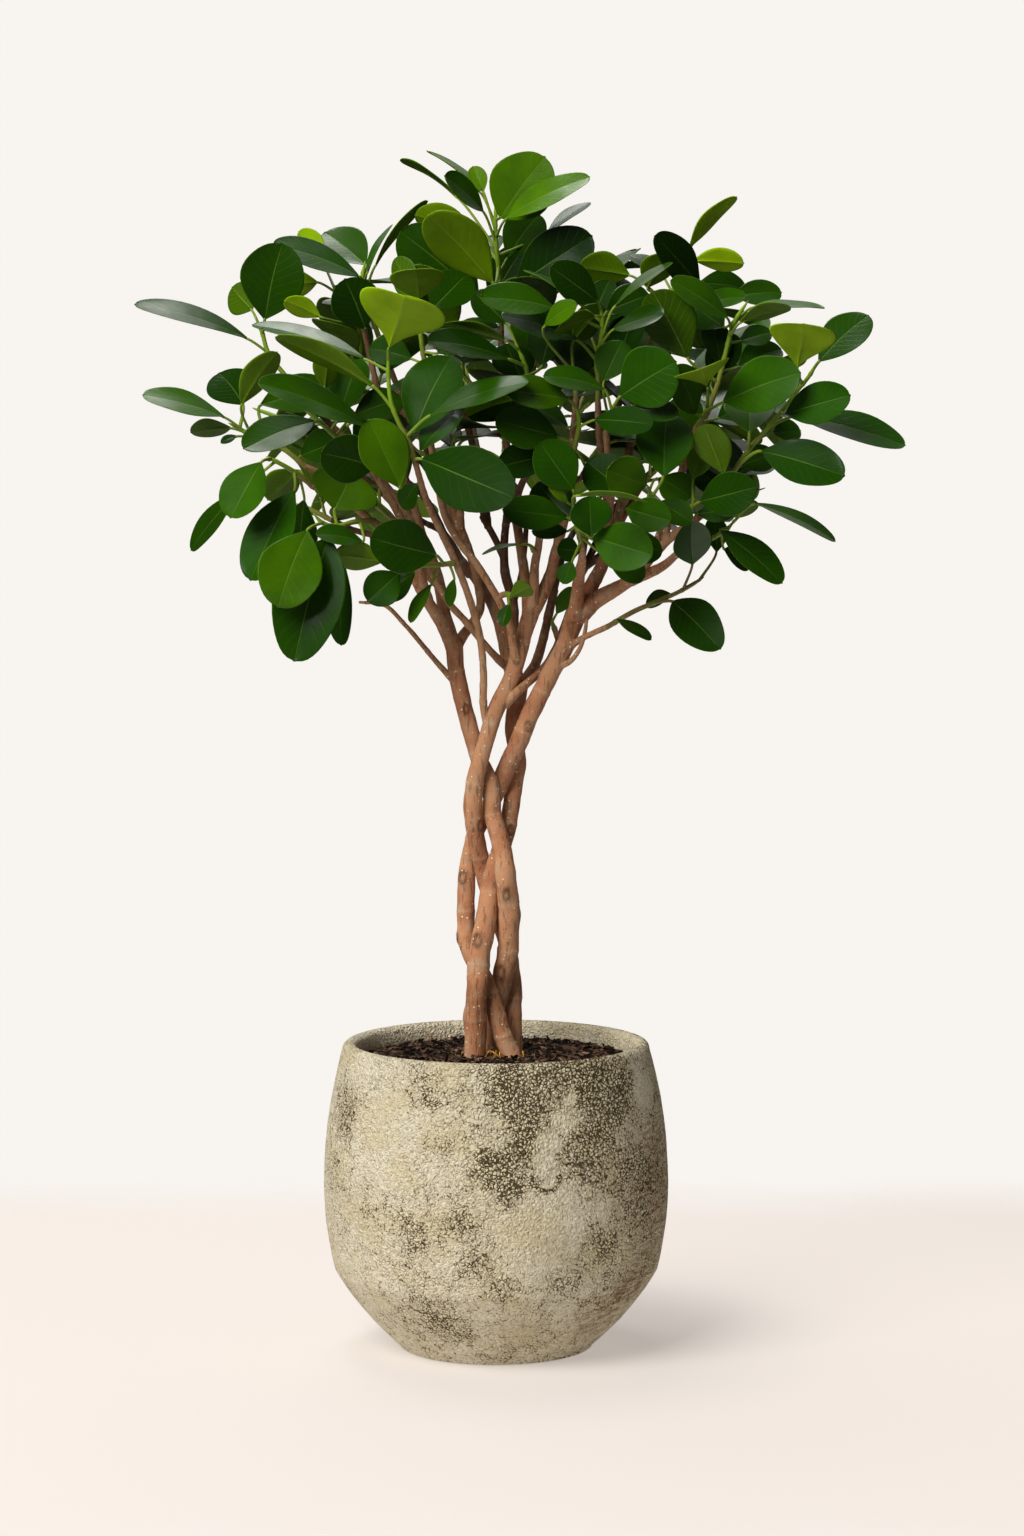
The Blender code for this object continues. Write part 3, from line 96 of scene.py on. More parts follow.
# Wood and leaves
STEM_SIDES = 7
BRANCH_SIDES = 5
STEM_FLATTEN = 0.85  # depth of a stem against its seen width, pressed flat in the plait
AXIS_SIDES = 3
THIN_SIDES = 4  # of a branch under THIN_RADIUS at its start
THIN_RADIUS = 4.1
STEM_ROOM = 1.4  # left between two stems that cross
STEM_FOOT = 0.97  # the radius of a stem's end in the soil, over that above it
PART_STEPS, EASE_STEPS = 900, 300  # how often stems are parted, and how often also eased
PART_REACH = (-0.2, 1.2)  # the shares of another stem's stretch beside which a point lies
PART_PUSH = (0.02, 0.15)  # the least push apart, and what it grows by as a share of the need
EASING = 0.06  # how much of a bend in depth goes in a step
DOME_ANGLES = (30, 55, 75)  # where a tube's rounded end has its rings, in degrees
DOME_HEIGHT = 0.7  # of that end, as a share of the radius
AXIS_RADIUS = 2.1
AXIS_THINNING = 0.7  # from the foot of a green axis to its bud
STALK_RADIUS = 1.0
LEAF_SPACING = 4.5  # between the roots of a shoot's leaves
SKIN, KEEL = 0.5, 1.3  # a blade's flat upper side and its midrib below, from its middle plane
ARCH = 0.05  # rise of the midrib's middle, as a share of the blade's length
FULLEST = 0.56  # where a blade is usually widest, as a share of its length
BASE_BLUNT, TIP_BLUNT = 0.80, 0.44  # the outline is a wedge at the base and round at the tip
STATIONS = (0.22, 0.52, 0.82)  # where a blade's outline has its corners
FEW_STATIONS = (0.32, 0.72)  # the same for small blades and those of the back
SMALL_WIDTH = 33.0
EDGE_ROOM, FACE_ROOM = 1.5, 1.7  # kept clear round a blade by all other pieces
LEAF_STEPS = (6, 12, 18, 25, 32, 40)  # moves in depth to try where a seen leaf has no room
LEAF_TWISTS = (0, 10, -10, 20, -20)  # turns to try there, in degrees
BRANCH_PUSHES = (0, 4, -4, 8, -8, 12, -12, 17, -17, 23, -23)  # bends in depth to try
GOLDEN_TURN = math.radians(137.5)
SPRAY_SIZES = (1.0, 0.88, 0.76)  # shares of a spray leaf's length to try
SPRAY_NUDGES = (0, 14, -14, 28, -28, 42, -42, 58, -58, 75, -75)  # turns to try, in degrees
SPRAY_STALK = 15.0
SPRAY_FIRST, SPRAY_LAST = 0.12, 0.97  # where the outermost leaves grow, as shares of the axis
SPRAY_SPREAD, SPRAY_CLOSING = 72, 34  # a leaf's angle to the axis, and how much less at its end
SPRAY_LIFT = 0.25  # how far stalks turn up
SPRAY_TILT = 0.35  # how far a blade's upper side faces outwards
SPRAY_ROLL = (-0.35, 0.35)
SPRAY_BULGE = 0.08  # rise of a spray's axis, as a share of its length
SPRAY_BRANCH = (3.0, 2.6, 2.2)  # the radii of the branch to it
BRANCH_LIFT, BRANCH_SET_BACK = 0.10, 0.06  # bends of that branch, as shares of its length
BRANCH_END = (18.0, 0.2)  # its straight end: the most, and a share of its length
SPRAY_LENGTH = (64.0, 80.0)
SPRAY_SLENDER = (0.55, 0.66)  # width of a blade over its length
DROOP = 0.42
HOOD_X, HOOD_Z, HOOD_WIDTH, HOOD_HEIGHT = 25.0, 708.0, 206.0, 128.0
FORK_TOP, FORK_SLOPE = 645.0, 0.45  # bare branches show below this line
GAPS = ((-149, 743, 24), (-114, 726, 12), (-21, 779, 10))  # x, height and reach of lights in it

# Chance: where each kind of piece starts its draws.
SPRAY_SEED = 11
SOIL_SEED = 5
STEM_SEED = 100
SHOOT_SEED = 200

# The front of the plant is laid out as it looks from this point.
EYE = Vector((12.0, -3000.0, 688.0))


def seen(x: float, z: float, depth: float) -> Vector:
    """The point that looks to be at (x, z) beside the pot's axis but lies depth behind it."""
    return EYE + (Vector((x, 0.0, z)) - EYE) * (1.0 + depth / -EYE.y)


# Stems: (x, height, depth, radius) as seen from the front, from the soil upwards.
STEMS: dict[str, list[Row]] = {
    "stem_left": [
        (-4, 219, 13, 7.5), (-3, 240, 12, 7.5), (-1, 255, 10, 7.5), (3, 270, 8, 7.5),
        (5.5, 283, 3, 7.8), (9, 300, -3, 8), (9.7, 315, -5, 7.7), (10, 330, -7, 8),
        (8.5, 345, -8, 8), (6.8, 360, -11, 7.8), (5.5, 372, -12.5, 7.3), (3.5, 383, -11, 7),
        (0.5, 393, -9, 6.9), (-2.5, 403, -8, 6.8), (-3, 415, -6.5, 6.6), (-4, 425, -3.5, 6.5),
        (-8, 435, 2, 6.4), (-12.5, 444, 6.5, 6.2), (-16, 455, 7, 6.1), (-19.5, 468, 6, 6.3),
        (-23.5, 483, 4, 6.2), (-27.5, 500, 3, 6.3), (-30, 513, 2, 6.2), (-31.5, 530, 3, 6.6),
    ],
    "stem_front": [
        (13, 219, 17, 7.2), (12.7, 240, 17, 7), (12.7, 255, 17, 6.8), (13, 270, 16.5, 6.6),
        (11.5, 285, 14, 6.6), (9.5, 300, 10, 6.6), (6.5, 312, 9, 6.5), (2.5, 323, 9, 6.5),
        (-1.5, 335, 10, 6.5), (-5.5, 346, 10, 6.5), (-8.7, 357, 8.5, 6.5), (-11.3, 368, 4, 6.5),
        (-13.7, 379, -1.5, 6.5), (-15.7, 390, -5.5, 6.6), (-17, 400, -8, 6.8), (-17.6, 411, -9, 7),
        (-16.5, 421, -10, 7), (-15.3, 431, -10, 6.8), (-12.8, 441, -8, 6.5), (-9.5, 453, -7, 6.2),
        (-5.5, 466, -6.5, 6.1), (-1, 480, -5.5, 6.4), (4.5, 492, -5, 6.2), (10, 503, -5, 6.1),
        (14.5, 515, -4, 6.3), (18, 528, -3, 6.2), (21.5, 541, -2, 6), (26, 554, 0, 6.5),
    ],
    "stem_back": [
        (-16, 219, -11, 8.2), (-15.5, 235, -12, 8.2), (-16, 250, -13, 8.9), (-14.8, 262, -13, 8.2),
        (-13.8, 275, -13, 8.3), (-13, 288, -10.5, 8.3), (-12, 300, -8, 8.1), (-10, 310, -6.5, 8.2),
        (-8.3, 320, -5, 8), (-6.8, 331, -4, 7.6), (-5.3, 342, -3.5, 7.2), (-3.8, 352, -3, 7),
        (-1.5, 362, -1, 7), (1.5, 371, 0.5, 7), (4.5, 380, 2, 6.8), (7.5, 390, 6, 6.6),
        (10, 400, 9, 6.5), (11.5, 410, 11, 6.4), (12.8, 420, 13, 6.4), (14.3, 431, 14, 6.5),
        (16, 441, 12.5, 6.5), (15.5, 451, 10, 6.4), (13.5, 462, 8.5, 6.3), (13, 472, 7, 6.4),
        (14.5, 482, 6.5, 6.8), (16.5, 492, 7.5, 6.6), (18.5, 502, 10, 6),
    ],
    "stem_right": [
        (10.5, 219, -4, 7.8), (7, 231, -4, 7.4), (3.5, 241, -3, 7), (0.5, 251, -3, 6.9),
        (-2.5, 261, -3, 6.9), (-6, 271, -1.5, 6.8), (-10, 281, 1.5, 6.8), (-15, 291, 5, 6.9),
        (-19.3, 300, 6.5, 7), (-22, 310, 5.5, 7.2), (-22.7, 320, 4, 6.7), (-22.7, 332, 3, 6.6),
        (-22.5, 344, 5, 6.6), (-22, 356, 9, 6.4), (-20.7, 367, 12, 6.2), (-18.5, 378, 11, 6.2),
        (-16, 388, 8, 6.3), (-12.5, 396, 7, 6.3), (-8.5, 403, 7, 6.4), (-4.5, 411, 7.5, 6.5),
        (0, 420, 8, 6.6), (4.3, 430, 6.5, 6.8), (8.5, 440, 0, 7), (13.5, 450, -5, 7.2),
        (18, 460, -6, 7), (22, 470, -5, 7), (26.5, 481, -3.5, 7.1), (32, 492, -2.5, 7),
        (37, 502, -2, 7), (42, 512, -2, 7), (47.5, 522, -2, 7), (52.3, 532, -2, 7),
        (55.5, 542, -2, 7.2), (60, 554, -2, 8),
    ],
}

# Branches: stem, shoot that it carries if any, and points from inside its parent outwards.
BRANCHES: list[tuple[str, str | None, list[Row]]] = [
    ("stem_left", "low_left", [
        (-31, 525, 3, 6), (-38, 543, 0, 5.4), (-44, 553, -4, 4.8), (-52, 565, -8, 4.3),
        (-60, 579, -14, 3.8), (-70, 596, -22, 3.5), (-80, 612, -36, 3.2), (-86, 619, -48, 2.7),
    ]),
    ("stem_left", "far_low_left", [
        (-68, 592, -20, 3.3), (-88, 618, -20, 3), (-108, 636, -24, 2.7), (-126, 646, -29, 2.4),
    ]),
    ("stem_left", "outer_left", [
        (-104, 633, -23, 2.6), (-118, 648, -22, 2.4), (-131, 659, -26, 2.3),
    ]),
    ("stem_left", "inner_left", [
        (-50, 562, -8, 4), (-60, 595, -24, 3.4), (-76, 635, -38, 2.9), (-96, 664, -46, 2.5),
    ]),
    ("stem_left", "far_left", [
        (-31, 530, 3, 5.6), (-38, 552, 8, 4.9), (-41, 570, 10, 4.5), (-46, 590, 12, 4.1),
        (-58, 615, 12, 3.6), (-80, 647, 9, 3.1), (-114, 687, 2, 2.4),
    ]),
    ("stem_left", "high_left", [
        (-31, 528, 4, 5), (-24, 539, 11, 4), (-17, 548, 17, 3.6), (-12, 558, 20, 3.4),
        (-14, 580, 23, 3.3), (-24, 612, 26, 3.2), (-42, 655, 30, 2.9), (-60, 695, 31, 2.6),
        (-76, 730, 31, 2.3),
    ]),
    ("stem_left", "mid_left", [
        (-52, 603, 12, 3.4), (-66, 650, 8, 3), (-82, 700, 4, 2.6), (-92, 738, 1, 2.3),
    ]),
    ("stem_front", "main_left", [
        (-5, 468, -7, 3.8), (-8.7, 481, -10, 3), (-9.4, 511, -16, 2.6), (-12, 537, -24, 2.8),
        (-16, 553, -30, 2.8), (-22, 572, -38, 2.7), (-29, 590, -46, 2.7), (-40, 614, -60, 2.7),
        (-51, 637, -76, 2.5), (-57, 656, -92, 2.3),
    ]),
    ("stem_front", "high_front", [
        (15, 518, -4, 4), (12, 536, -12, 3.3), (9, 550, -18, 3), (4, 561, -24, 2.9),
        (-4, 575, -30, 2.8), (-15, 592, -36, 2.8), (-26, 606, -36, 2.8), (-37, 625, -34, 2.7),
        (-44, 655, -40, 2.5), (-50, 695, -50, 2.3),
    ]),
    ("stem_front", "centre", [
        (26, 552, 0, 4.6), (28.5, 572, -4, 3.7), (29, 590, -8, 3.3), (32, 607, -16, 2.9),
        (34, 650, -40, 2.6), (30, 685, -56, 2.4),
    ]),
    ("stem_front", "fork_small", [(1, 566, -27, 2.6), (4, 568, -26.5, 2.4)]),
    ("stem_front", "fork_olive", [(31, 600, -13, 2.4), (29.5, 601, -15, 2.2)]),
    ("stem_front", "fork_leaf", [(47, 534, 25, 2.6), (44.5, 541, 20, 2.2)]),
    ("stem_front", "centre_low", [
        (27, 555, 0, 5.8), (36, 572, 3, 5.2), (41, 584, 1, 4.6), (44, 598, -6, 4),
        (48, 612, -20, 3.5), (53, 632, -44, 3), (56, 652, -68, 2.6),
    ]),
    ("stem_front", "centre_mid", [(46, 606, -12, 3.4), (51, 640, -26, 2.9), (57, 685, -46, 2.5)]),
    ("stem_front", "top", [
        (24, 548, 0, 4.6), (23, 570, 10, 4), (19, 600, 18, 3.6), (13, 640, 24, 3.2),
        (7, 690, 27, 2.8), (4, 730, 27, 2.4),
    ]),
    ("stem_front", None, [
        (6, 486, -5, 4), (14, 494, -8, 3.4), (22, 501, -4, 3.2), (30, 508, 6, 3),
        (38, 517, 15, 2.8), (45, 529, 23, 2.8), (51, 545, 30, 2.8), (58, 565, 38, 2.8),
        (66, 590, 48, 2.8),
    ]),
    ("stem_right", "right_low_inner", [
        (59, 550, -3, 6.2), (61, 568, -12, 5.2), (62, 580, -24, 4.4), (63.5, 590, -42, 3.7),
        (64.5, 596, -62, 3),
    ]),
    ("stem_right", "right_centre", [
        (62, 555, -1, 7), (72, 576, 0, 5.6), (80, 592, -4, 4.8), (84, 608, -10, 4.2),
        (84, 630, -20, 3.6), (80, 660, -34, 3), (77, 690, -50, 2.6),
    ]),
    ("stem_right", "right_front", [(84, 626, -18, 3.2), (86, 648, -48, 2.8), (84, 668, -76, 2.4)]),
    ("stem_right", "right_arm", [
        (62, 553, -1, 8), (74, 564, -6, 6.6), (88, 572, -14, 5.5), (98, 578, -22, 4.8),
        (109, 589, -32, 4.2), (119, 600, -42, 3.8), (129, 610, -50, 3.4), (141, 618.5, -58, 3.1),
        (153, 628, -66, 2.8), (163, 640, -73, 2.5),
    ]),
    ("stem_right", "cup_leaf", [(97, 577, -21, 4), (102, 593, -48, 3.3), (106, 608, -74, 2.7)]),
    ("stem_right", "right_tip", [
        (96, 577, -20, 4.2), (113, 584, -32, 4), (127, 591.5, -42, 3.2), (137, 600, -50, 2.6),
        (143, 603, -53, 2),
    ]),
    ("stem_right", "right_small", [(139, 617, -57, 2.6), (141.5, 620, -66, 2.3)]),
    ("stem_right", "right_glossy", [
        (126, 607, -48, 3), (130, 632, -58, 2.7), (139, 663, -70, 2.4),
    ]),
    ("stem_right", "right_upper", [
        (117, 598, -40, 3.2), (128, 630, -44, 2.8), (142, 670, -54, 2.5),
    ]),
    ("stem_right", "high_right", [
        (80, 591, -4, 4), (92, 630, 4, 3.4), (100, 680, 6, 2.9), (107, 725, 1, 2.4),
    ]),
    ("stem_right", "right_twig", [(53, 527, -3, 3), (62, 534.5, -9, 2.4), (72, 539.5, -15, 2.2)]),
    ("stem_right", None, [
        (46, 514, -3, 2.6), (57, 520, -8, 2), (61.5, 526, -10, 1.8), (66, 538, -12, 1.6),
        (68, 550, -13, 1.2),
    ]),
    ("stem_left", None, [
        (-31, 504, 2, 3.2), (-38, 511, 1, 2.4), (-46, 520, -1, 2), (-68, 546, -3, 1.7),
        (-84, 561, -6, 1.5), (-102, 563, -8, 1),
    ]),
    ("stem_back", None, [
        (16, 500, 10, 5.6), (11, 513, 16, 5.4), (7.5, 528, 20, 5.2), (3.5, 545, 26, 4.8),
        (-2, 560, 32, 4.4), (-10, 573, 38, 3.9), (-32, 602, 54, 3.2),
    ]),
    ("stem_back", None, [
        (17, 498, 10, 5.4), (14, 518, 22, 5), (13, 545, 34, 4.4), (12, 566, 42, 4),
        (7, 584, 46, 3.6), (6, 600, 48, 3.2), (8, 628, 56, 2.8),
    ]),
    ("stem_back", None, [(6, 596, 48, 3), (0, 609, 50, 2.6), (-10, 627, 54, 2.6)]),
    ("stem_back", None, [(12, 560, 42, 3), (18, 580, 46, 2.2), (21, 598, 50, 2), (23, 626, 56, 2)]),
    ("stem_back", None, [
        (18.5, 500, 10, 5), (24, 508, 18, 4.2), (29, 516, 24, 3.8), (35, 534, 31, 3.5),
        (40, 556, 37, 3.2), (44, 572, 42, 3),
    ]),
    ("stem_back", None, [
        (9, 514, 15, 3.4), (2, 520, 10, 3), (-9, 532, 4, 2.6), (-24, 550, -5, 2.6),
        (-34, 561, -9, 2.5), (-43, 575, -13, 2.4), (-58, 600, -20, 1.8),
    ]),
]

# Shoots of the front and sides: axis points (x, height, depth), then a leaf for each row:
# place along the axis, base and tip (x, height, depth each), width, and the turn of its upper
# side away from the front, in degrees, so 90 is edge on and 180 shows the underside. A last
# value, if any, is the share of its length where the blade is widest.
SHOOTS: dict[str, tuple[list[Row], list[Row]]] = {
    "top": ([(4, 765, 25), (4, 790, 15), (2, 812, 8), (0, 832, 4), (0, 862, 5)], [
        (0.62, -2, 800, -8, -50, 850, -44, 40, 165),
        (0.45, -12, 788, 10, -71, 838, -8, 50, 14),
        (0.40, 14, 797, 6, 71, 835, -6, 44, 12),
        (0.85, 3, 848, -4, 36, 893, -14, 50, 8, 0.5),
        (0.80, 8, 848, -8, 69, 879, -14, 29, 48, 0.5),
        (0.85, -11, 867, 14, -50, 898, 40, 26, 80),
        (0.75, -29, 864, 24, -70, 891, 48, 24, 100),
        (0.78, -9, 853, -6, -38, 879, -34, 26, 52),
        (0.85, -9, 867, 20, -17, 886, 24, 15, 5),
        (0.72, 38, 837, 34, 70, 859, 50, 16, 60),
        (0.15, -4, 784, 16, 22, 828, 26, 32, 20),
        (0.60, 8, 818, 18, 32, 851, 32, 32, 12),
        (0.66, -16, 838, 24, -60, 850, 32, 28, 150),
    ]),
    "high_left": ([(-84, 752, 30), (-92, 775, 24), (-96, 792, 16), (-99, 803, 10),
                   (-97, 817, 11)], [
        (0.80, -101, 805, 2, -165, 829, -14, 38, 58),
        (0.85, -96, 813, 16, -127, 838, 42, 36, 30),
        (0.80, -96, 808, -2, -77, 843, 12, 24, 80),
        (0.75, -90, 813, 22, -50, 860, 36, 22, 108),
    ]),
    "mid_left": ([(-98, 765, 0), (-108, 779, -2), (-117, 792, -4), (-122, 799, -5)], [
        (0.85, -132, 801, 4, -168, 797, 16, 24, 160),
        (0.90, -128, 814, 16, -146, 838, 34, 24, 150),
        (0.20, -97, 766, -22, -112, 803, -32, 38, 10),
        (0.10, -130, 775, -28, -157, 787, -40, 17, 160),
        (0.60, -113, 784, 8, -129, 786, 16, 10, 60),
    ]),
    "far_left": ([(-128, 700, 0), (-143, 716, -6), (-157, 732, -10), (-170, 750, -12),
                  (-174, 764, -13), (-179, 776, -14)], [
        (0.68, -184, 759, -18, -268, 785, -34, 30, 62),
        (0.85, -172, 773, -24, -159, 829, -36, 48, 6),
        (0.90, -181, 780, -4, -196, 797, 10, 28, 165),
    ]),
    "outer_left": ([(-142, 664, -30), (-158, 677, -34), (-174, 684, -38), (-189, 691, -42),
                    (-200, 697, -44)], [
        (0.80, -190, 710, -58, -163, 749, -68, 28, 140),
        (0.85, -188, 710, -40, -206, 734, -26, 38, 20),
        (0.85, -202, 701, -50, -263, 717, -64, 32, 58),
        (0.10, -146, 672, -16, -116, 684, -10, 28, 20),
        (0.78, -197, 693, -34, -227, 690, -20, 20, 135),
        (0.75, -193, 687, -46, -205, 682, -50, 8, 40),
        (0.60, -176, 710, -36, -120, 722, -22, 34, 28),
    ]),
    "inner_left": ([(-108, 676, -50), (-120, 687, -56), (-131, 697, -62), (-142, 707, -66),
                    (-148, 712, -68)], [
        (0.60, -134, 698, -78, -188, 677, -94, 34, 42),
        (0.05, -96, 694, -76, -176, 727, -102, 38, 55),
        (0.80, -128, 722, -54, -124, 750, -42, 22, 150),
        (0.40, -116, 702, -46, -102, 744, -30, 32, 30),
        (0.15, -90, 664, -68, -130, 674, -90, 36, 8),
        (0.30, -106, 702, -42, -70, 714, -38, 28, 25),
    ]),
    "main_left": ([(-60, 667, -100), (-65, 683, -106), (-72, 696, -110), (-78, 712, -112),
                   (-80, 730, -112), (-80, 748, -112)], [
        (0.95, -80, 751, -118, -67, 792, -168, 64, 180, 0.68),
        (0.85, -97, 744, -106, -181, 769, -84, 28, 66),
        (0.50, -91, 724, -112, -164, 760, -122, 34, 118),
        (0.20, -50, 702, -118, 24, 728, -134, 34, 62),
        (0.25, -61, 689, -92, -34, 745, -82, 46, 22),
        (0.10, -57, 675, -98, -26, 708, -112, 28, 45),
        (0.02, -56, 670, -112, 13, 641, -152, 48, 8),
        (0.08, -72, 648, -112, -94, 699, -106, 42, 12),
        (0.05, -58, 652, -90, -70, 634, -80, 18, 20),
    ]),
    "high_front": ([(-52, 735, -60), (-55, 755, -66), (-57, 775, -70), (-57, 784, -72)], [
        (0.95, -57, 788, -80, -60, 811, -116, 40, 175),
        (0.85, -62, 790, -50, -75, 818, -16, 24, 150),
        (0.70, -48, 780, -60, -22, 806, -30, 34, 20),
        (0.30, -44, 748, -70, 2, 768, -74, 30, 40),
        (0.10, -62, 744, -50, -94, 752, -44, 26, 30),
    ]),
    "low_left": ([(-92, 624, -58), (-106, 623, -66), (-118, 620, -74), (-129, 622, -80),
                  (-137, 630, -84)], [
        (0.80, -141, 617, -98, -163, 560, -122, 47, 4),
        (0.65, -125, 612, -86, -151, 519, -102, 52, 8, 0.5),
        (0.50, -113, 592, -62, -116, 531, -54, 26, 40),
        (0.20, -99, 608, -62, -134, 614, -76, 22, 50),
        (0.60, -121, 632, -86, -108, 660, -46, 52, 0),
        (0.10, -60, 586, -42, -87, 566, -40, 24, 25),
    ]),
    "far_low_left": ([(-137, 650, -34), (-150, 660, -40), (-162, 667, -46), (-172, 672, -50)], [
        (0.90, -175, 668, -64, -198, 626, -80, 36, 28),
        (0.80, -192, 645, -40, -228, 602, -30, 24, 50),
        (0.40, -150, 647, -54, -184, 580, -68, 40, 32),
        (0.30, -143, 640, -30, -146, 594, -18, 32, 30),
        (0.30, -146, 662, -28, -170, 639, -22, 32, 140),
    ]),
    "leaf_left": ([(-32, 592, -51), (-44, 591, -56), (-58, 590, -60), (-70, 588, -62)], [
        (0.10, -44, 598, -66, -94, 611, -88, 40, 4),
        (0.90, -84, 593, -72, -121, 598, -80, 25, 150),
        (0.80, -72, 585, -66, -96, 564, -72, 28, 8),
        (0.20, -48, 577, -52, -64, 548, -60, 15, 50),
        (0.10, -31, 581, -54, -35, 560, -52, 10, 30),
    ]),
    "centre": ([(26, 716, -70), (24, 730, -78), (21, 742, -84), (15, 754, -88)], [
        (0.95, 8, 758, -94, -44, 768, -106, 22, 125),
        (0.60, 10, 744, -92, -50, 758, -118, 34, 58),
        (0.80, 8, 770, -82, -16, 793, -76, 24, 15),
        (0.40, 34, 738, -66, 46, 776, -50, 34, 30),
        (0.10, 40, 716, -60, 66, 728, -40, 26, 40),
        (0.05, 20, 726, -46, 7, 755, -26, 33, 20),
        (0.20, 12, 714, -58, -21, 702, -34, 30, 150),
    ]),
    "centre_low": ([(57, 672, -86), (60, 684, -94), (62, 698, -100), (58, 712, -104)], [
        (0.95, 55, 714, -110, 6, 721, -128, 30, 38),
        (0.65, 54, 693, -92, 22, 712, -84, 26, 55),
        (0.55, 73, 699, -108, 117, 695, -132, 24, 25),
        (0.25, 47, 686, -100, 0, 699, -114, 32, 16),
        (0.10, 40, 672, -84, 2, 664, -92, 28, 20),
    ]),
    "right_front": ([(82, 690, -92), (86, 700, -98), (88, 711, -104)], [
        (0.90, 92, 716, -112, 134, 742, -130, 46, 8),
        (0.85, 81, 722, -106, 36, 732, -118, 26, 50),
        (0.70, 100, 708, -104, 136, 702, -118, 20, 35),
        (0.40, 80, 727, -90, 94, 757, -80, 28, 18),
        (0.30, 126, 710, -74, 154, 701, -60, 26, 22),
    ]),
    "centre_mid": ([(60, 716, -60), (59, 726, -70), (57, 736, -76)], [
        (0.90, 36, 769, -98, 60, 785, -112, 17, 30),
        (0.85, 57, 757, -74, 80, 782, -56, 24, 150),
        (0.50, 44, 742, -58, 16, 776, -40, 32, 30),
        (0.20, 59, 728, -40, 58, 758, -24, 34, 14),
    ]),
    "right_centre": ([(76, 712, -60), (76, 730, -66), (75, 742, -70), (78, 757, -72),
                      (79, 770, -72), (78, 784, -72)], [
        (0.45, 61, 758, -80, 4, 776, -100, 38, 60),
        (0.62, 87, 766, -84, 125, 777, -108, 28, 58),
        (0.66, 88, 783, -76, 131, 815, -84, 26, 76),
        (0.95, 76, 786, -80, 41, 812, -98, 30, 28),
        (0.85, 68, 780, -64, 22, 811, -52, 26, 80),
        (0.80, 44, 782, -92, -11, 790, -114, 30, 40),
        (0.75, 82, 779, -56, 114, 792, -36, 28, 20),
        (0.20, 90, 738, -56, 104, 778, -34, 30, 30),
        (0.50, 70, 768, -48, 84, 802, -38, 26, 20),
        (0.92, 74, 776, -66, 45, 764, -84, 22, 120),
    ]),
    "high_right": ([(112, 752, -5), (122, 775, -8), (132, 795, -10), (140, 810, -12),
                    (143, 818, -13)], [
        (0.92, 143, 825, -16, 178, 864, -24, 30, 112),
        (0.90, 147, 817, -20, 184, 815, -28, 24, 138),
        (0.75, 152, 797, -32, 118, 835, -48, 30, 30),
        (0.65, 122, 808, 4, 99, 821, 14, 20, 60),
        (0.60, 112, 796, -14, 128, 822, -4, 26, 155),
        (0.70, 150, 800, 4, 186, 796, 14, 24, 30),
        (0.50, 176, 790, 0, 212, 793, 8, 24, 35),
        (0.45, 148, 784, -32, 186, 790, -42, 22, 50),
        (0.55, 100, 806, -18, 62, 812, -22, 30, 155),
    ]),
    "right_upper": ([(158, 706, -64), (164, 722, -68), (169, 740, -70), (173, 757, -70),
                     (176, 768, -70), (188, 788, -72)], [
        (0.72, 173, 774, -80, 130, 802, -94, 28, 46),
        (0.68, 181, 771, -82, 219, 782, -94, 24, 120),
        (0.75, 189, 782, -64, 244, 781, -56, 26, 78),
        (0.62, 181, 757, -60, 205, 764, -56, 20, 35),
        (0.45, 167, 739, -58, 160, 773, -44, 24, 22),
        (0.25, 143, 744, -82, 117, 794, -108, 40, 165),
        (0.35, 180, 738, -60, 212, 752, -44, 26, 30),
        (0.15, 160, 726, -48, 178, 762, -40, 26, 20),
        (0.85, 170, 767, -58, 147, 783, -44, 28, 20),
    ]),
    "right_glossy": ([(150, 694, -84), (155, 702, -92), (158, 711, -98)], [
        (0.95, 158, 722, -106, 152, 738, -150, 42, 178, 0.76),
        (0.60, 149, 703, -104, 133, 738, -120, 30, 32),
        (0.80, 169, 712, -112, 226, 734, -140, 40, 16),
        (0.20, 165, 700, -78, 200, 714, -66, 28, 30),
    ]),
    "right_arm": ([(171, 652, -80), (180, 664, -86), (188, 676, -92), (200, 690, -98),
                   (213, 705, -102), (224, 720, -106), (233, 731, -108), (240, 743, -110)], [
        (0.82, 224, 734, -114, 229, 770, -160, 48, 180, 0.72),
        (0.90, 240, 742, -98, 277, 776, -86, 34, 32),
        (0.60, 215, 703, -120, 264, 717, -140, 31, 16),
        (0.48, 223, 702, -96, 305, 680, -106, 34, 52),
        (0.16, 197, 676, -106, 260, 657, -130, 35, 20),
        (0.38, 206, 689, -84, 227, 691, -76, 20, 30),
        (0.27, 189, 689, -106, 188, 720, -74, 38, 2),
        (0.08, 182, 658, -72, 207, 665, -62, 20, 55),
        (0.04, 170, 658, -96, 155, 695, -114, 28, 160),
        (0.20, 182, 664, -72, 208, 674, -66, 24, 25),
    ]),
    "right_small": ([(142, 626, -78), (146, 634, -84), (148, 641, -88)], [
        (0.90, 147, 655, -82, 156, 680, -80, 19, 10),
        (0.90, 152, 638, -102, 194, 649, -124, 32, 4),
        (0.50, 150, 629, -80, 180, 632, -88, 20, 30),
    ]),
    "cup_leaf": ([(108, 622, -90), (114, 634, -98), (118, 645, -104)], [
        (0.95, 125, 656, -114, 127, 704, -84, 42, 0),
        (0.85, 113, 650, -120, 83, 662, -140, 32, 2),
        (0.60, 98, 644, -98, 68, 668, -92, 34, 14),
        (0.30, 97, 633, -104, 130, 624, -124, 26, 6),
        (0.60, 121, 638, -92, 146, 623, -98, 20, 15),
        (0.20, 121, 656, -72, 146, 641, -58, 28, 30),
    ]),
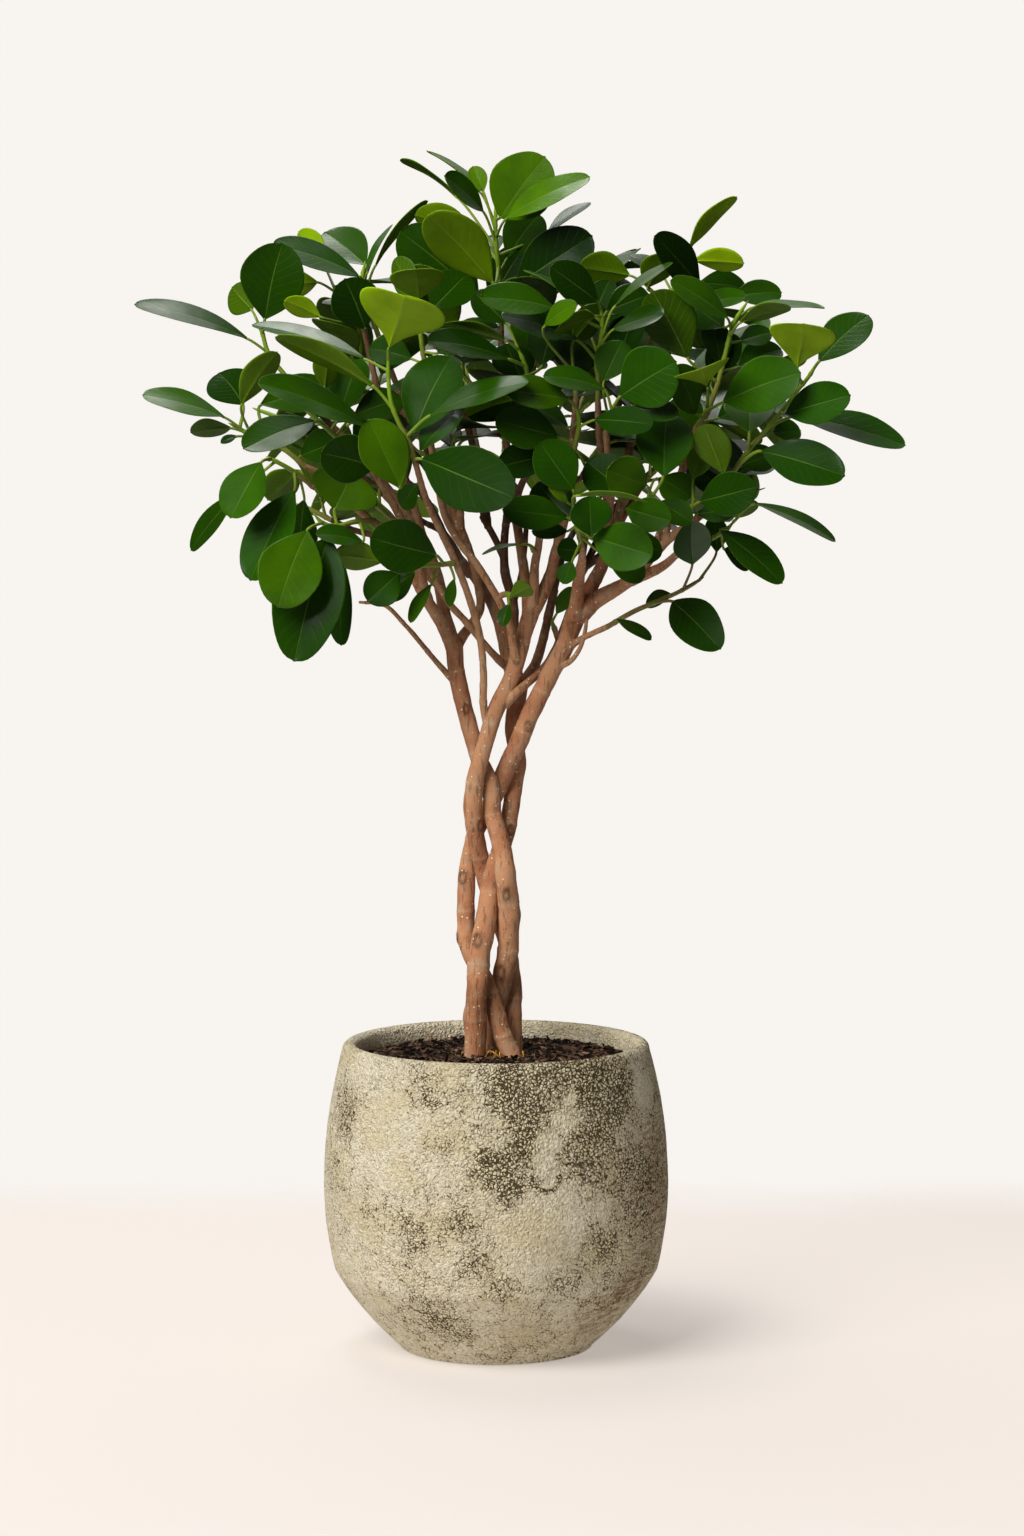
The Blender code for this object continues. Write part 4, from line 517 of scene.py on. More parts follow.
    "right_low_inner": ([(64, 606, -80), (61, 618, -90), (58, 634, -98), (59, 641, -100)], [
        (0.80, 54, 637, -106, 40, 650, -114, 8, 20),
        (0.85, 58, 646, -108, 33, 682, -114, 34, 14),
        (0.80, 62, 643, -104, 113, 639, -120, 24, 98),
        (0.55, 54, 626, -94, 5, 632, -106, 26, 14),
        (0.30, 54, 616, -84, 27, 616, -84, 14, 20),
        (0.10, 63, 601, -86, 46, 603, -94, 18, 5),
        (0.25, 72, 612, -106, 117, 598, -130, 36, 3),
        (0.15, 86, 604, -72, 124, 602, -62, 26, 20),
        (0.70, 55, 624, -82, 31, 652, -62, 34, 10),
        (0.12, 82, 597, -56, 111, 582, -44, 24, 25),
        (0.10, 57, 594, -62, 50, 577, -64, 15, 20),
        (0.35, 71, 612, -84, 70, 642, -88, 31, 12),
    ]),
    "fork_small": ([(7, 569, -28), (11, 569, -34), (15, 571, -38)], [
        (0.60, 9, 566, -42, 26, 575, -44, 17, 150, 0.7),
        (0.40, 10, 562, -40, 5, 545, -44, 12, 30),
    ]),
    "fork_olive": ([(28, 602, -17), (26, 605, -22), (23, 607, -26)], [
        (0.70, 20, 607, -30, -10, 599, -36, 15, 80),
    ]),
    "fork_leaf": ([(43.5, 544, 18), (42, 548, 15), (42, 552, 13)], [
        (0.60, 45, 554, 10, 58, 574, 2, 13, 24),
    ]),
    "right_twig": ([(84, 545, -22), (105, 557, -34), (122, 564, -42), (143, 574, -50),
                    (156, 582, -54)], [
        (0.08, 90, 550, -34, 116, 535, -44, 14, 50),
        (0.50, 132, 564, -56, 168, 528, -68, 34, 6, 0.48),
        (0.58, 132, 569, -40, 112, 562, -34, 14, 30),
        (0.78, 147, 591, -64, 146, 623, -86, 30, 18),
        (0.95, 165, 600, -52, 163, 627, -44, 18, 15),
    ]),
    "right_tip": ([(150, 605, -56), (162, 611, -58), (173, 618, -60), (179, 625, -60)], [
        (0.75, 167, 617, -68, 214, 578, -82, 28, 36),
        (0.95, 193, 637, -60, 254, 610, -64, 20, 62),
        (0.60, 170, 603, -50, 190, 590, -34, 20, 40),
    ]),
}

# Shoots of the back and the inside, whose leaves follow a rule: stem, start of the branch inside
# its parent, base and tip of the green axis (x, height, depth), number of leaves.
SPRAYS: dict[str, tuple[str, Row, Row, Row, int]] = {
    "back_top": ("stem_back", (8, 622, 54), (28, 738, 62), (42, 796, 92), 5),
    "back_top_left": ("stem_back", (-8, 623, 53), (-32, 736, 78), (-46, 792, 112), 5),
    "back_high_right": ("stem_front", (60, 572, 41), (100, 726, 74), (134, 780, 104), 5),
    "back_high_left": ("stem_left", (-20, 600, 25), (-90, 708, 84), (-124, 748, 116), 5),
    "side_right": ("stem_right", (87, 612, 1), (150, 690, 48), (196, 730, 66), 5),
    "side_left": ("stem_left", (-46, 592, 12), (-138, 682, 56), (-182, 708, 74), 5),
    "back_mid_right": ("stem_back", (43, 569, 41), (58, 694, 132), (80, 742, 192), 6),
    "back_mid": ("stem_back", (-6, 619, 52), (-18, 700, 136), (-28, 750, 198), 6),
    "back_mid_left": ("stem_back", (-32, 600, 53), (-84, 672, 132), (-116, 708, 186), 6),
    "back_right": ("stem_front", (64, 584, 46), (122, 666, 112), (166, 696, 158), 6),
    "back_low": ("stem_back", (22, 620, 54), (6, 664, 150), (6, 688, 214), 5),
    "back_low_right": ("stem_back", (38, 550, 36), (72, 634, 152), (98, 656, 208), 5),
    "back_low_left": ("stem_back", (-20, 583, 45), (-64, 630, 124), (-98, 644, 180), 5),
    "side_low_right": ("stem_front", (66, 589, 48), (140, 618, 84), (186, 636, 112), 4),
    "side_low_left": ("stem_left", (-43, 575, 11), (-122, 624, 66), (-168, 636, 96), 4),
    "inner_top": ("stem_front", (7, 690, 27), (-12, 716, 18), (-36, 742, 6), 5),
    "inner_high": ("stem_front", (4, 728, 27), (28, 748, 28), (56, 774, 24), 5),
    "inner_middle": ("stem_front", (14, 635, 23), (28, 668, 18), (46, 704, 8), 5),
    "inner_mid_left": ("stem_left", (-26, 616, 26), (-28, 654, 14), (-34, 690, 0), 5),
    "inner_high_left": ("stem_left", (-60, 695, 31), (-82, 712, 28), (-104, 734, 22), 5),
    "inner_low_left": ("stem_left", (-58, 614, 12), (-78, 626, 10), (-106, 642, 2), 5),
    "inner_right": ("stem_right", (100, 680, 6), (118, 694, 4), (140, 716, -2), 5),
    "inner_low_right": ("stem_right", (92, 632, 4), (108, 650, 2), (130, 670, -4), 5),
    "inner_low": ("stem_front", (52, 645, -29), (66, 660, -22), (82, 684, -14), 4),
}


class Age(Enum):
    """How old a leaf is, as the share of young yellow-green in its colour."""

    OLD = 0.0
    MATURE = 0.12
    FRESH = 0.45
    YOUNG = 0.9


# Leaves of SHOOTS that aren't MATURE, by their row.
AGES: dict[str, dict[int, Age]] = {
    "top": {0: Age.FRESH, 3: Age.FRESH, 4: Age.FRESH, 8: Age.YOUNG, 12: Age.FRESH},
    "mid_left": {0: Age.FRESH, 1: Age.FRESH, 3: Age.YOUNG},
    "main_left": {0: Age.YOUNG, 6: Age.OLD, 7: Age.FRESH},
    "high_front": {0: Age.FRESH},
    "high_left": {3: Age.FRESH},
    "low_left": {0: Age.FRESH, 4: Age.FRESH},
    "centre_low": {0: Age.FRESH},
    "centre_mid": {0: Age.FRESH},
    "right_low_inner": {0: Age.YOUNG},
    "right_small": {0: Age.YOUNG},
    "cup_leaf": {1: Age.FRESH},
    "right_arm": {0: Age.YOUNG, 1: Age.OLD},
    "right_glossy": {0: Age.FRESH},
    "high_right": {0: Age.YOUNG, 1: Age.YOUNG},
}

# Knots and pruning scars of the stems that the front shows: x, height and size.
KNOTS: dict[str, list[tuple[float, float, float]]] = {
    "stem_left": [(3.5, 284, 5.0), (8, 343, 4.2), (19.5, 326, 3.8), (-22.5, 483, 3.6)],
    "stem_front": [(15.5, 521, 4.2), (-12, 395, 3.8)],
    "stem_back": [(-14, 308, 4.8), (11, 392, 3.6)],
    "stem_right": [(-25, 356, 4.6), (-30.5, 310, 4.0), (24, 470, 3.6)],
}
# Heights of the ring scars that the front shows.
RINGS: dict[str, list[float]] = {
    "stem_left": [241, 302, 338, 404, 450, 512],
    "stem_front": [262, 330, 372, 428, 473, 535],
    "stem_back": [250, 292, 345, 396, 452, 488],
    "stem_right": [236, 268, 330, 383, 424, 466, 497, 530],
}

# How deep the green of a leaf may be, by its age, from least to most.
DEPTH: dict[Age, Pair] = {
    Age.OLD: (0.75, 0.95),
    Age.MATURE: (0.15, 1.0),
    Age.FRESH: (0.0, 0.45),
    Age.YOUNG: (0.0, 0.2),
}
# Shoots whose axis is already turning to wood.
BROWN_SHOOTS = ("right_twig",)
# The middle of the crown and its half sizes.
CROWN_MIDDLE = Vector((15.0, 30.0, 720.0))
CROWN_HALF = Vector((270.0, 210.0, 180.0))


def along(points: Sequence[Vector], share: float) -> tuple[Vector, Vector]:
    """Find a place on a line through points.

    Args:
        points: The line's points.
        share: How far along its length the place is, from 0 to 1.

    Returns:
        The place and the line's direction there.
    """
    lengths = [(b - a).length for a, b in zip(points, points[1:])]
    left = share * sum(lengths)
    for a, b, length in zip(points, points[1:], lengths):
        if left <= length:
            return a.lerp(b, left / length), (b - a).normalized()
        left -= length
    return points[-1].copy(), (points[-1] - points[-2]).normalized()


def pushes_between(knot: list[float],
                   others: list[list[float]]) -> list[tuple[list[float], float]]:
    """Find small moves in depth that part a stem's point from another stem that it touches.

    Args:
        knot: The point as x, height, depth and radius.
        others: The other stem's points.

    Returns:
        Points with the depth to add to each.
    """
    x, z, depth, radius = knot
    found = []
    for low, high in zip(others, others[1:]):
        step = Vector((high[0] - low[0], high[1] - low[1]))
        share = (Vector((x - low[0], z - low[1]))).dot(step) / step.length_squared
        if not PART_REACH[0] <= share <= PART_REACH[1]:
            continue
        near = [a + (b - a) * share for a, b in zip(low, high)]
        beside = math.hypot(x - near[0], z - near[1])
        apart = (depth - near[2]) / STEM_FLATTEN
        room = radius + near[3] + STEM_ROOM
        short = room - math.hypot(beside, apart)
        if short > 0:
            push = math.copysign(PART_PUSH[0] + PART_PUSH[1] * short, apart)
            found += [(knot, push), (low if share < 0.5 else high, -push)]
    return found


def straightening(knots: list[list[float]]) -> list[tuple[list[float], float]]:
    """Small moves in depth that ease the bends of a stem seen from the side."""
    return [(knot, EASING * ((low[2] + high[2]) / 2 - knot[2]))
            for low, knot, high in zip(knots, knots[1:], knots[2:])]


def ring_faces(first: int, sides: int, rings: int) -> Faces:
    """Join rings of corners that follow one another by faces.

    Args:
        first: The number of the first ring's first corner.
        sides: How many corners a ring has.
        rings: How many rings there are.

    Returns:
        The faces.
    """
    return [(low + corner, low + after, low + after + sides, low + corner + sides)
            for low in range(first, first + (rings - 1) * sides, sides)
            for corner in range(sides) for after in [(corner + 1) % sides]]


def axis_radii(count: int) -> list[float]:
    """The radii of a green axis at its points, thinning towards its bud."""
    return [AXIS_RADIUS - AXIS_THINNING * index / (count - 1) for index in range(count)]


def tube(centres: Sequence[Vector], radii: Sequence[float], sides: int, flatten: float = 1.0,
         starts: Vector | None = None, ends: Vector | None = None, pointed: bool = False,
         rise: Callable[[int, Vector, Vector], float] | None = None) -> Shape:
    """Make a closed tube.

    Args:
        centres: The middle of each ring.
        radii: The radius of each ring.
        sides: How many corners a ring has.
        flatten: The rings' depth against their width.
        starts: The direction of the first ring, if not the tube's own.
        ends: The direction of the last ring, if not the tube's own.
        pointed: Whether the tube ends in a point.
        rise: What the surface adds to the radius, from a ring's number, a place and its way out.

    Returns:
        Its vertices and faces.
    """
    count = len(centres)
    tangents = [(centres[min(i + 1, count - 1)] - centres[max(i - 1, 0)]).normalized()
                for i in range(count)]
    tangents[0] = starts or tangents[0]
    tangents[-1] = ends or tangents[-1]
    side = tangents[0].orthogonal().normalized()
    vertices: list[Vector] = []
    for index, (centre, radius, tangent) in enumerate(zip(centres, radii, tangents)):
        side = (side - tangent * side.dot(tangent)).normalized()
        other = tangent.cross(side)
        if pointed and index == count - 1:
            vertices.append(centre.copy())
            break
        for corner in range(sides):
            angle = math.tau * corner / sides
            out = side * math.cos(angle) + other * math.sin(angle)
            extra = rise(index, centre + out * radius, out) if rise else 0.0
            offset = out * (radius + extra)
            offset.y *= flatten
            vertices.append(centre + offset)
    rings = count - 1 if pointed else count
    faces = ring_faces(0, sides, rings) + [tuple(reversed(range(sides)))]
    top = (rings - 1) * sides
    if pointed:
        faces.extend((top + c, top + (c + 1) % sides, top + sides) for c in range(sides))
    else:
        faces.append(tuple(range(top, top + sides)))
    return vertices, faces


class Kind(Enum):
    """What a piece is that other pieces keep clear of."""

    WOOD = "wood"
    AXIS = "green axis"
    STALK = "leaf stalk"
    BLADE = "leaf blade"


class Leaf:
    """A stalk from a point inside its shoot's axis, and a blade from base to tip."""

    def __init__(self, root: Vector, base: Vector, tip: Vector, normal: Vector, width: float,
                 fullest: float = FULLEST, plain: bool = False) -> None:
        """Take up where the leaf lies.

        Args:
            root: The stalk's start inside the axis.
            base: The blade's start.
            tip: The blade's end.
            normal: The way that its upper side faces.
            width: The blade's greatest width.
            fullest: The share of its length where it is so wide.
            plain: Whether the leaf is one of the back's.
        """
        self.root, self.base, self.tip = root, base, tip
        self.skew = math.log(0.5) / math.log(fullest)
        self.stations = FEW_STATIONS if plain or width < SMALL_WIDTH else STATIONS
        self.along = (tip - base).normalized()
        self.normal = (normal - self.along * normal.dot(self.along)).normalized()
        self.across = self.along.cross(self.normal)
        self.length = (tip - base).length
        self.width = width
        self.age = Age.MATURE

    def crosses_itself(self) -> bool:
        """Test whether the leaf is folded back so sharply that it meets itself.

        Returns:
            Whether it does.
        """
        vertices, faces = self.solid()
        tree = BVHTree.FromPolygons(vertices, faces)
        return any(not set(faces[one]) & set(faces[two]) for one, two in tree.overlap(tree))

    def half_width(self, t: float) -> float:
        """Half of the blade's width at a share t of its length."""
        blunt = BASE_BLUNT + (TIP_BLUNT - BASE_BLUNT) * t
        return 0.5 * self.width * math.sin(math.pi * t ** self.skew) ** blunt

    def middle(self, t: float) -> Vector:
        """The midrib's point at a share t of the blade's length."""
        rise = ARCH * self.length * 4.0 * t * (1.0 - t)
        return self.base + self.along * self.length * t + self.normal * rise

    def stalk(self, room: float = 0.0) -> Shape:
        """Vertices and faces of the stalk alone, with room kept round it."""
        start = self.root.lerp(self.base, 0.25)
        return tube([start, self.base], [STALK_RADIUS + room] * 2, 4)

    def blade(self, room: float = 0.0) -> Shape:
        """Vertices and faces of the blade alone, with room kept round it."""
        return self.solid(room, False)

    def solid(self, room: float = 0.0, with_stalk: bool = True) -> Shape:
        """Make the leaf's plain form, as rings of left edge, right edge and keel below.

        Args:
            room: How much of the usual room is added round it.
            with_stalk: Whether the stalk belongs to it.

        Returns:
            Its vertices and faces.
        """
        edge, face = room * EDGE_ROOM, room * FACE_ROOM
        stalk = (self.base - self.root).normalized()
        bent = self.along.rotation_difference(stalk)
        lift, out = bent @ self.normal, bent @ self.across
        section = [(lift * 0.6 - out) * STALK_RADIUS, (lift * 0.6 + out) * STALK_RADIUS,
                   lift * -1.2 * STALK_RADIUS]
        vertices = [self.root + corner for corner in section] if with_stalk else []
        vertices += [self.base + corner for corner in section]
        for t in self.stations:
            half = self.half_width(t)
            centre = self.middle(t)
            raised = centre + self.normal * (SKIN + face)
            aside = self.across * (half + edge)
            vertices += [raised - aside, raised + aside, centre - self.normal * (KEEL + face)]
        vertices.append(self.tip + self.along * edge)
        faces: Faces = [(0, 2, 1)]
        rings = (len(vertices) - 1) // 3
        for ring in range(rings - 1):
            left, right, keel = range(3 * ring, 3 * ring + 3)
            for one, two in ((left, right), (right, keel), (keel, left)):
                if with_stalk and ring == 0:
                    faces.append((one, two, two + 3, one + 3))
                else:
                    faces.append((one, two, two + 3))
                    faces.append((one, two + 3, one + 3))
        left, right, keel = range(3 * rings - 3, 3 * rings)
        end = 3 * rings
        faces += [(left, right, end), (right, keel, end), (keel, left, end)]
        return vertices, faces


class Crowd:
    """Everything placed so far, to keep each new piece clear of it."""

    def __init__(self) -> None:
        """Start with nothing placed."""
        self.pieces: list[tuple[str, Kind, BVHTree, list[float], list[float]]] = []

    @staticmethod
    def reach(vertices: Sequence[Vector]) -> tuple[list[float], list[float]]:
        """Lowest and highest corner of some vertices."""
        return ([min(v[k] for v in vertices) for k in range(3)],
                [max(v[k] for v in vertices) for k in range(3)])

    def add(self, node: str, kind: Kind, shape: Shape) -> None:
        """Take up a piece of a node."""
        tree = BVHTree.FromPolygons(*shape)
        self.pieces.append((node, kind, tree, *self.reach(shape[0])))

    def blocked(self, node: str, kind: Kind, shape: Shape) -> bool:
        """Test whether a shape would touch what stands already.

        Args:
            node: The node it belongs to, whose pieces it may grow from.
            kind: What it is.
            shape: Its vertices and faces.

        Returns:
            Whether it touches anything else.
        """
        tree = BVHTree.FromPolygons(*shape)
        low, high = self.reach(shape[0])
        for other, its_kind, its_tree, its_low, its_high in self.pieces:
            if other == node and (kind is not Kind.BLADE or its_kind is Kind.STALK):
                continue
            if any(low[k] > its_high[k] or high[k] < its_low[k] for k in range(3)):
                continue
            if tree.overlap(its_tree):
                return True
        return False

    def place(self, node: str, choices: Iterator[Leaf]) -> Leaf | None:
        """Add the first leaf among the choices that stands clear.

        Args:
            node: The leaf's shoot.
            choices: The leaves to try, the best first.

        Returns:
            The leaf, or None if none stands clear.
        """
        for leaf in choices:
            if leaf.crosses_itself() or self.blocked(node, Kind.BLADE, leaf.blade(1.0)):
                continue
            if self.blocked(node, Kind.STALK, leaf.stalk(1.0)):
                continue
            self.add(node, Kind.BLADE, leaf.blade())
            self.add(node, Kind.STALK, leaf.stalk())
            return leaf
        return None


def facing(base: Vector, tip: Vector, degrees: float) -> Vector:
    """Find the normal of a blade as it is seen.

    Args:
        base: The blade's start.
        tip: The blade's end.
        degrees: How far its upper side is turned away from the front.

    Returns:
        The way that its upper side faces.
    """
    forward = (tip - base).normalized()
    view = (EYE - base).normalized()
    view = (view - forward * view.dot(forward)).normalized()
    side = forward.cross(view)
    if side.z < 0:
        side.negate()
    angle = math.radians(degrees)
    return view * math.cos(angle) + side * math.sin(angle)


def spread_roots(axis: Sequence[Vector], shares: Sequence[float]) -> list[Vector]:
    """Find roots of leaves near their shares of an axis, but LEAF_SPACING apart.

    Args:
        axis: The axis's points.
        shares: How far along it each leaf grows, from 0 to 1.

    Returns:
        The roots, in the order of the shares.
    """
    length = sum((b - a).length for a, b in zip(axis, axis[1:]))
    order = sorted(range(len(shares)), key=lambda index: -shares[index])
    places, limit = [0.0] * len(shares), length - 3.0
    spacing = min(LEAF_SPACING, (length - 6.0) / max(1, len(shares) - 1))
    for rank, index in enumerate(order):
        lowest = 3.0 + spacing * (len(order) - 1 - rank)
        places[index] = max(lowest, min(limit, shares[index] * length))
        limit = places[index] - spacing
    return [along(axis, place / length)[0] for place in places]


def seen_leaf_choices(root: Vector, row: Row) -> Iterator[Leaf]:
    """Offer a laid-out leaf, then the same with its depth and turn changed.

    Args:
        root: Where the stalk starts.
        row: The leaf's row of SHOOTS.

    Yields:
        The leaf as it is laid out, and then others ever further from that.
    """
    _, bx, bz, by, tx, tz, ty, width, turn = row[:9]
    fullest = row[9] if len(row) > 9 else FULLEST
    steps = [(0, 0)] + [(a, b) for size in LEAF_STEPS
                        for a, b in ((0, -size), (0, size), (-size / 2, -size), (size / 2, size),
                                     (-size, -size), (size / 2, -size), (-size / 2, size))]
    for twist in LEAF_TWISTS:
        for base_step, tip_step in steps:
            base, tip = seen(bx, bz, by + base_step), seen(tx, tz, ty + tip_step)
            yield Leaf(root, base, tip, facing(base, tip, turn + twist), width, fullest)


def shown(point: Vector) -> Pair:
    """Find where a point seems to be beside the pot's axis: the reverse of seen.

    Args:
        point: A place in the plant.

    Returns:
        Its x and height as seen from the front.
    """
    from_eye = point - EYE
    x, _, z = EYE + from_eye * (-EYE.y / from_eye.y)
    return x, z


def hooded(point: Vector) -> bool:
    """Test whether a point lies behind the laid-out leaves as seen from the front.

    Args:
        point: A place in the plant.

    Returns:
        Whether it is hidden.
    """
    x, z = shown(point)
    inside = math.hypot((x - HOOD_X) / HOOD_WIDTH, (z - HOOD_Z) / HOOD_HEIGHT) < 1.0
    return inside and z > FORK_TOP - FORK_SLOPE * abs(x)


def in_gap(point: Vector) -> bool:
    """Whether a point would close one of the gaps that light shows through."""
    x, z = shown(point)
    return any(math.hypot(x - gap_x, z - gap_z) < reach for gap_x, gap_z, reach in GAPS)


def spray_leaf_choices(axis: Sequence[Vector], index: int, count: int, first_turn: float,
                       length: float, slender: float, roll: float) -> Iterator[Leaf]:
    """Offer a leaf by rule, spiralling up the axis, then the same turned or shortened.

    Args:
        axis: The green axis that it grows from.
        index: Its number, from the lowest leaf up.
        count: How many leaves the axis has.
        first_turn: The angle of the lowest leaf round the axis.
        length: The blade's length.
        slender: The blade's width over its length.
        roll: How far the blade is rolled to one side.

    Yields:
        The leaf as the rule wants it, and then others ever further from that.
    """
    share = SPRAY_FIRST + (1 - SPRAY_FIRST) * index / (count - 1)
    root, forward = along(axis, min(share, SPRAY_LAST))
    aside = forward.cross(Vector((0, 0, 1))).normalized()
    above = aside.cross(forward)
    spread = math.radians(SPRAY_SPREAD - SPRAY_CLOSING * share)
    for size in SPRAY_SIZES:
        for nudge in SPRAY_NUDGES:
            turn = first_turn + index * GOLDEN_TURN + math.radians(nudge)
            out = aside * math.cos(turn) + above * math.sin(turn)
            heading = (forward * math.cos(spread) + out * math.sin(spread)).normalized()
            stalk = (heading + Vector((0, 0, SPRAY_LIFT))).normalized()
            base = root + stalk * SPRAY_STALK
            heading = (heading - Vector((0, 0, DROOP))).normalized()
            tip = base + heading * length * size
            up = Vector((0, 0, 1)) + out * SPRAY_TILT + aside * roll
            middle = base.lerp(tip, 0.6)
            if hooded(tip) and hooded(base) and not in_gap(tip) and not in_gap(middle):
                yield Leaf(root, base, tip, up, length * size * slender, plain=True)


@dataclass
class WoodLine:
    """The middle line and radii of a stem or of one of its branches."""

    centres: list[Vector]
    radii: list[float]
    sides: int
    flatten: float = 1.0
    ends: Vector | None = None

    def shape(self) -> Shape:
        """The plain form that the solids have."""
        return tube(self.centres, self.radii, self.sides, self.flatten, ends=self.ends)


class Layout:
    """The stems, branches, shoots and leaves, each kept clear of the others."""

    def __init__(self) -> None:
        """Lay out the whole plant."""
        self.crowd = Crowd()
        self.wood: dict[str, list[WoodLine]] = {name: [] for name in STEMS}
        self.feet: dict[str, tuple[Vector, float]] = {}
        self.axes: dict[str, list[Vector]] = {}
        self.leaves: dict[str, list[Leaf]] = {}
        self.grow_stems()
        self.lay_axes()
        self.grow_branches()
        self.grow_leaves()

    @staticmethod
    def untangle() -> dict[str, list[list[float]]]:
        """Move the stems' points in depth until no two touch where they cross.

        Returns:
            The points of each stem, as x, height, depth and radius.
        """
        stems = {name: [list(knot) for knot in knots] for name, knots in STEMS.items()}
        for step in range(PART_STEPS):
            pushes = []
            for name, knots in stems.items():
                for knot in knots:
                    for other in stems:
                        if other != name:
                            pushes += pushes_between(knot, stems[other])
            if step < EASE_STEPS:
                pushes += [pull for knots in stems.values() for pull in straightening(knots)]
            elif not pushes:
                return stems
            for knot, push in pushes:
                knot[2] += push
        raise ValueError("the stems can't be parted")

    def grow_stems(self) -> None:
        """Lay the plaited stems, from their foot in the soil."""
        for name, knots in self.untangle().items():
            foot = seen(*knots[0][:3])
            self.feet[name] = foot, knots[0][3]
            centres = [Vector((foot.x, foot.y, level)) for level in (STEM_BOTTOM, SOIL_CLEAR)]
            radii = [knots[0][3] * STEM_FOOT, knots[0][3]]
            centres += [seen(*knot[:3]) for knot in knots[1:]]
            radii += [knot[3] for knot in knots[1:]]
            line = WoodLine(centres, radii, STEM_SIDES, STEM_FLATTEN)
            self.wood[name].append(line)
            self.crowd.add(name, Kind.WOOD, line.shape())

    def lay_axes(self) -> None:
        """Lay the green axis of each shoot, so that branches can meet them."""
        for name, (points, _) in SHOOTS.items():
            self.axes[name] = [seen(*point) for point in points]
        for name, (_, _, base, tip, _) in SPRAYS.items():
            start, end = seen(*base), seen(*tip)
            bulge = Vector((0, 0, SPRAY_BULGE * (end - start).length))
            self.axes[name] = [start, start.lerp(end, 0.5) + bulge, end]

    def grow_branches(self) -> None:
        """Lay brown branches, each ending just short of the green axis that it carries."""
        for stem, shoot, knots in BRANCHES:
            points = [seen(*knot[:3]) for knot in knots]
            self.add_branch(stem, shoot, points, [knot[3] for knot in knots])
        for shoot, (stem, hub, base, tip, _) in SPRAYS.items():
            start, end = seen(*hub), self.axes[shoot][0]
            heading = (self.axes[shoot][1] - end).normalized()
            reach = (end - start).length
            lift = Vector((0, 0, BRANCH_LIFT * reach))
            middle = start.lerp(end, 0.5) - heading * BRANCH_SET_BACK * reach + lift
            points = [start, middle, end - heading * min(BRANCH_END[0], BRANCH_END[1] * reach)]
            self.add_branch(stem, shoot, points, list(SPRAY_BRANCH))
        for shoot, points in self.axes.items():
            self.crowd.add(shoot, Kind.AXIS, self.axis_shape(points))

    def add_branch(self, stem: str, shoot: str | None, points: list[Vector],
                   radii: list[float]) -> None:
        """Lay one branch through its points, bent clear of other stems' wood where it can be.

        Args:
            stem: The stem that it grows from.
            shoot: The shoot that it carries, if any.
            points: Its middle line.
            radii: Its radius at each point.
        """
        ends = None
        sides = THIN_SIDES if radii[0] < THIN_RADIUS else BRANCH_SIDES
        if shoot:
            axis = self.axes[shoot]
            ends = (axis[1] - axis[0]).normalized()
            points = points + [axis[0] - ends * GAP]
            radii = radii + [AXIS_RADIUS + 0.2]
        for push in BRANCH_PUSHES:
            bent = [point.copy() for point in points]
            for index in range(1, len(bent) - 1):
                hump = math.sin(math.pi * index / (len(bent) - 1))
                bent[index].y += push * hump
            roomy = tube(bent, [r + 1.0 for r in radii[:-1]] + [radii[-1]], sides)
            if not self.crowd.blocked(stem, Kind.WOOD, roomy):
                break
        line = WoodLine(bent, radii, sides, ends=ends)
        self.wood[stem].append(line)
        self.crowd.add(stem, Kind.WOOD, line.shape())

    @staticmethod
    def axis_shape(points: list[Vector]) -> Shape:
        """A green axis, thinning to the pointed bud at its tip."""
        starts = (points[1] - points[0]).normalized()
        return tube(points, axis_radii(len(points)), AXIS_SIDES, starts=starts, pointed=True)

    def grow_leaves(self) -> None:
        """Lay the laid-out leaves first, then those that follow the rule."""
        for name, (_, rows) in SHOOTS.items():
            self.leaves[name] = []
            roots = spread_roots(self.axes[name], [row[0] for row in rows])
            for number, (root, row) in enumerate(zip(roots, rows)):
                leaf = self.crowd.place(name, seen_leaf_choices(root, row))
                if leaf is not None:
                    leaf.age = AGES.get(name, {}).get(number, Age.MATURE)
                    self.leaves[name].append(leaf)
        draw = random.Random(SPRAY_SEED)
        for name, (_, _, _, _, count) in SPRAYS.items():
            self.leaves[name] = []
            first_turn = draw.uniform(0, math.tau)
            for index in range(count):
                length, slender = draw.uniform(*SPRAY_LENGTH), draw.uniform(*SPRAY_SLENDER)
                roll = draw.uniform(*SPRAY_ROLL)
                leaf = self.crowd.place(name, spray_leaf_choices(
                    self.axes[name], index, count, first_turn, length, slender, roll))
                if leaf is not None:
                    self.leaves[name].append(leaf)


def linear(colour: Colour) -> tuple[float, float, float, float]:
    """Turn a screen colour into the light that a shader takes.

    Args:
        colour: The colour, with parts from 0 to 255.

    Returns:
        The same in linear parts, and 1 for its alpha.
    """
    parts = (part / 255 for part in colour)
    light = (p / 12.92 if p <= 0.04045 else ((p + 0.055) / 1.055) ** 2.4 for p in parts)
    return (*light, 1.0)


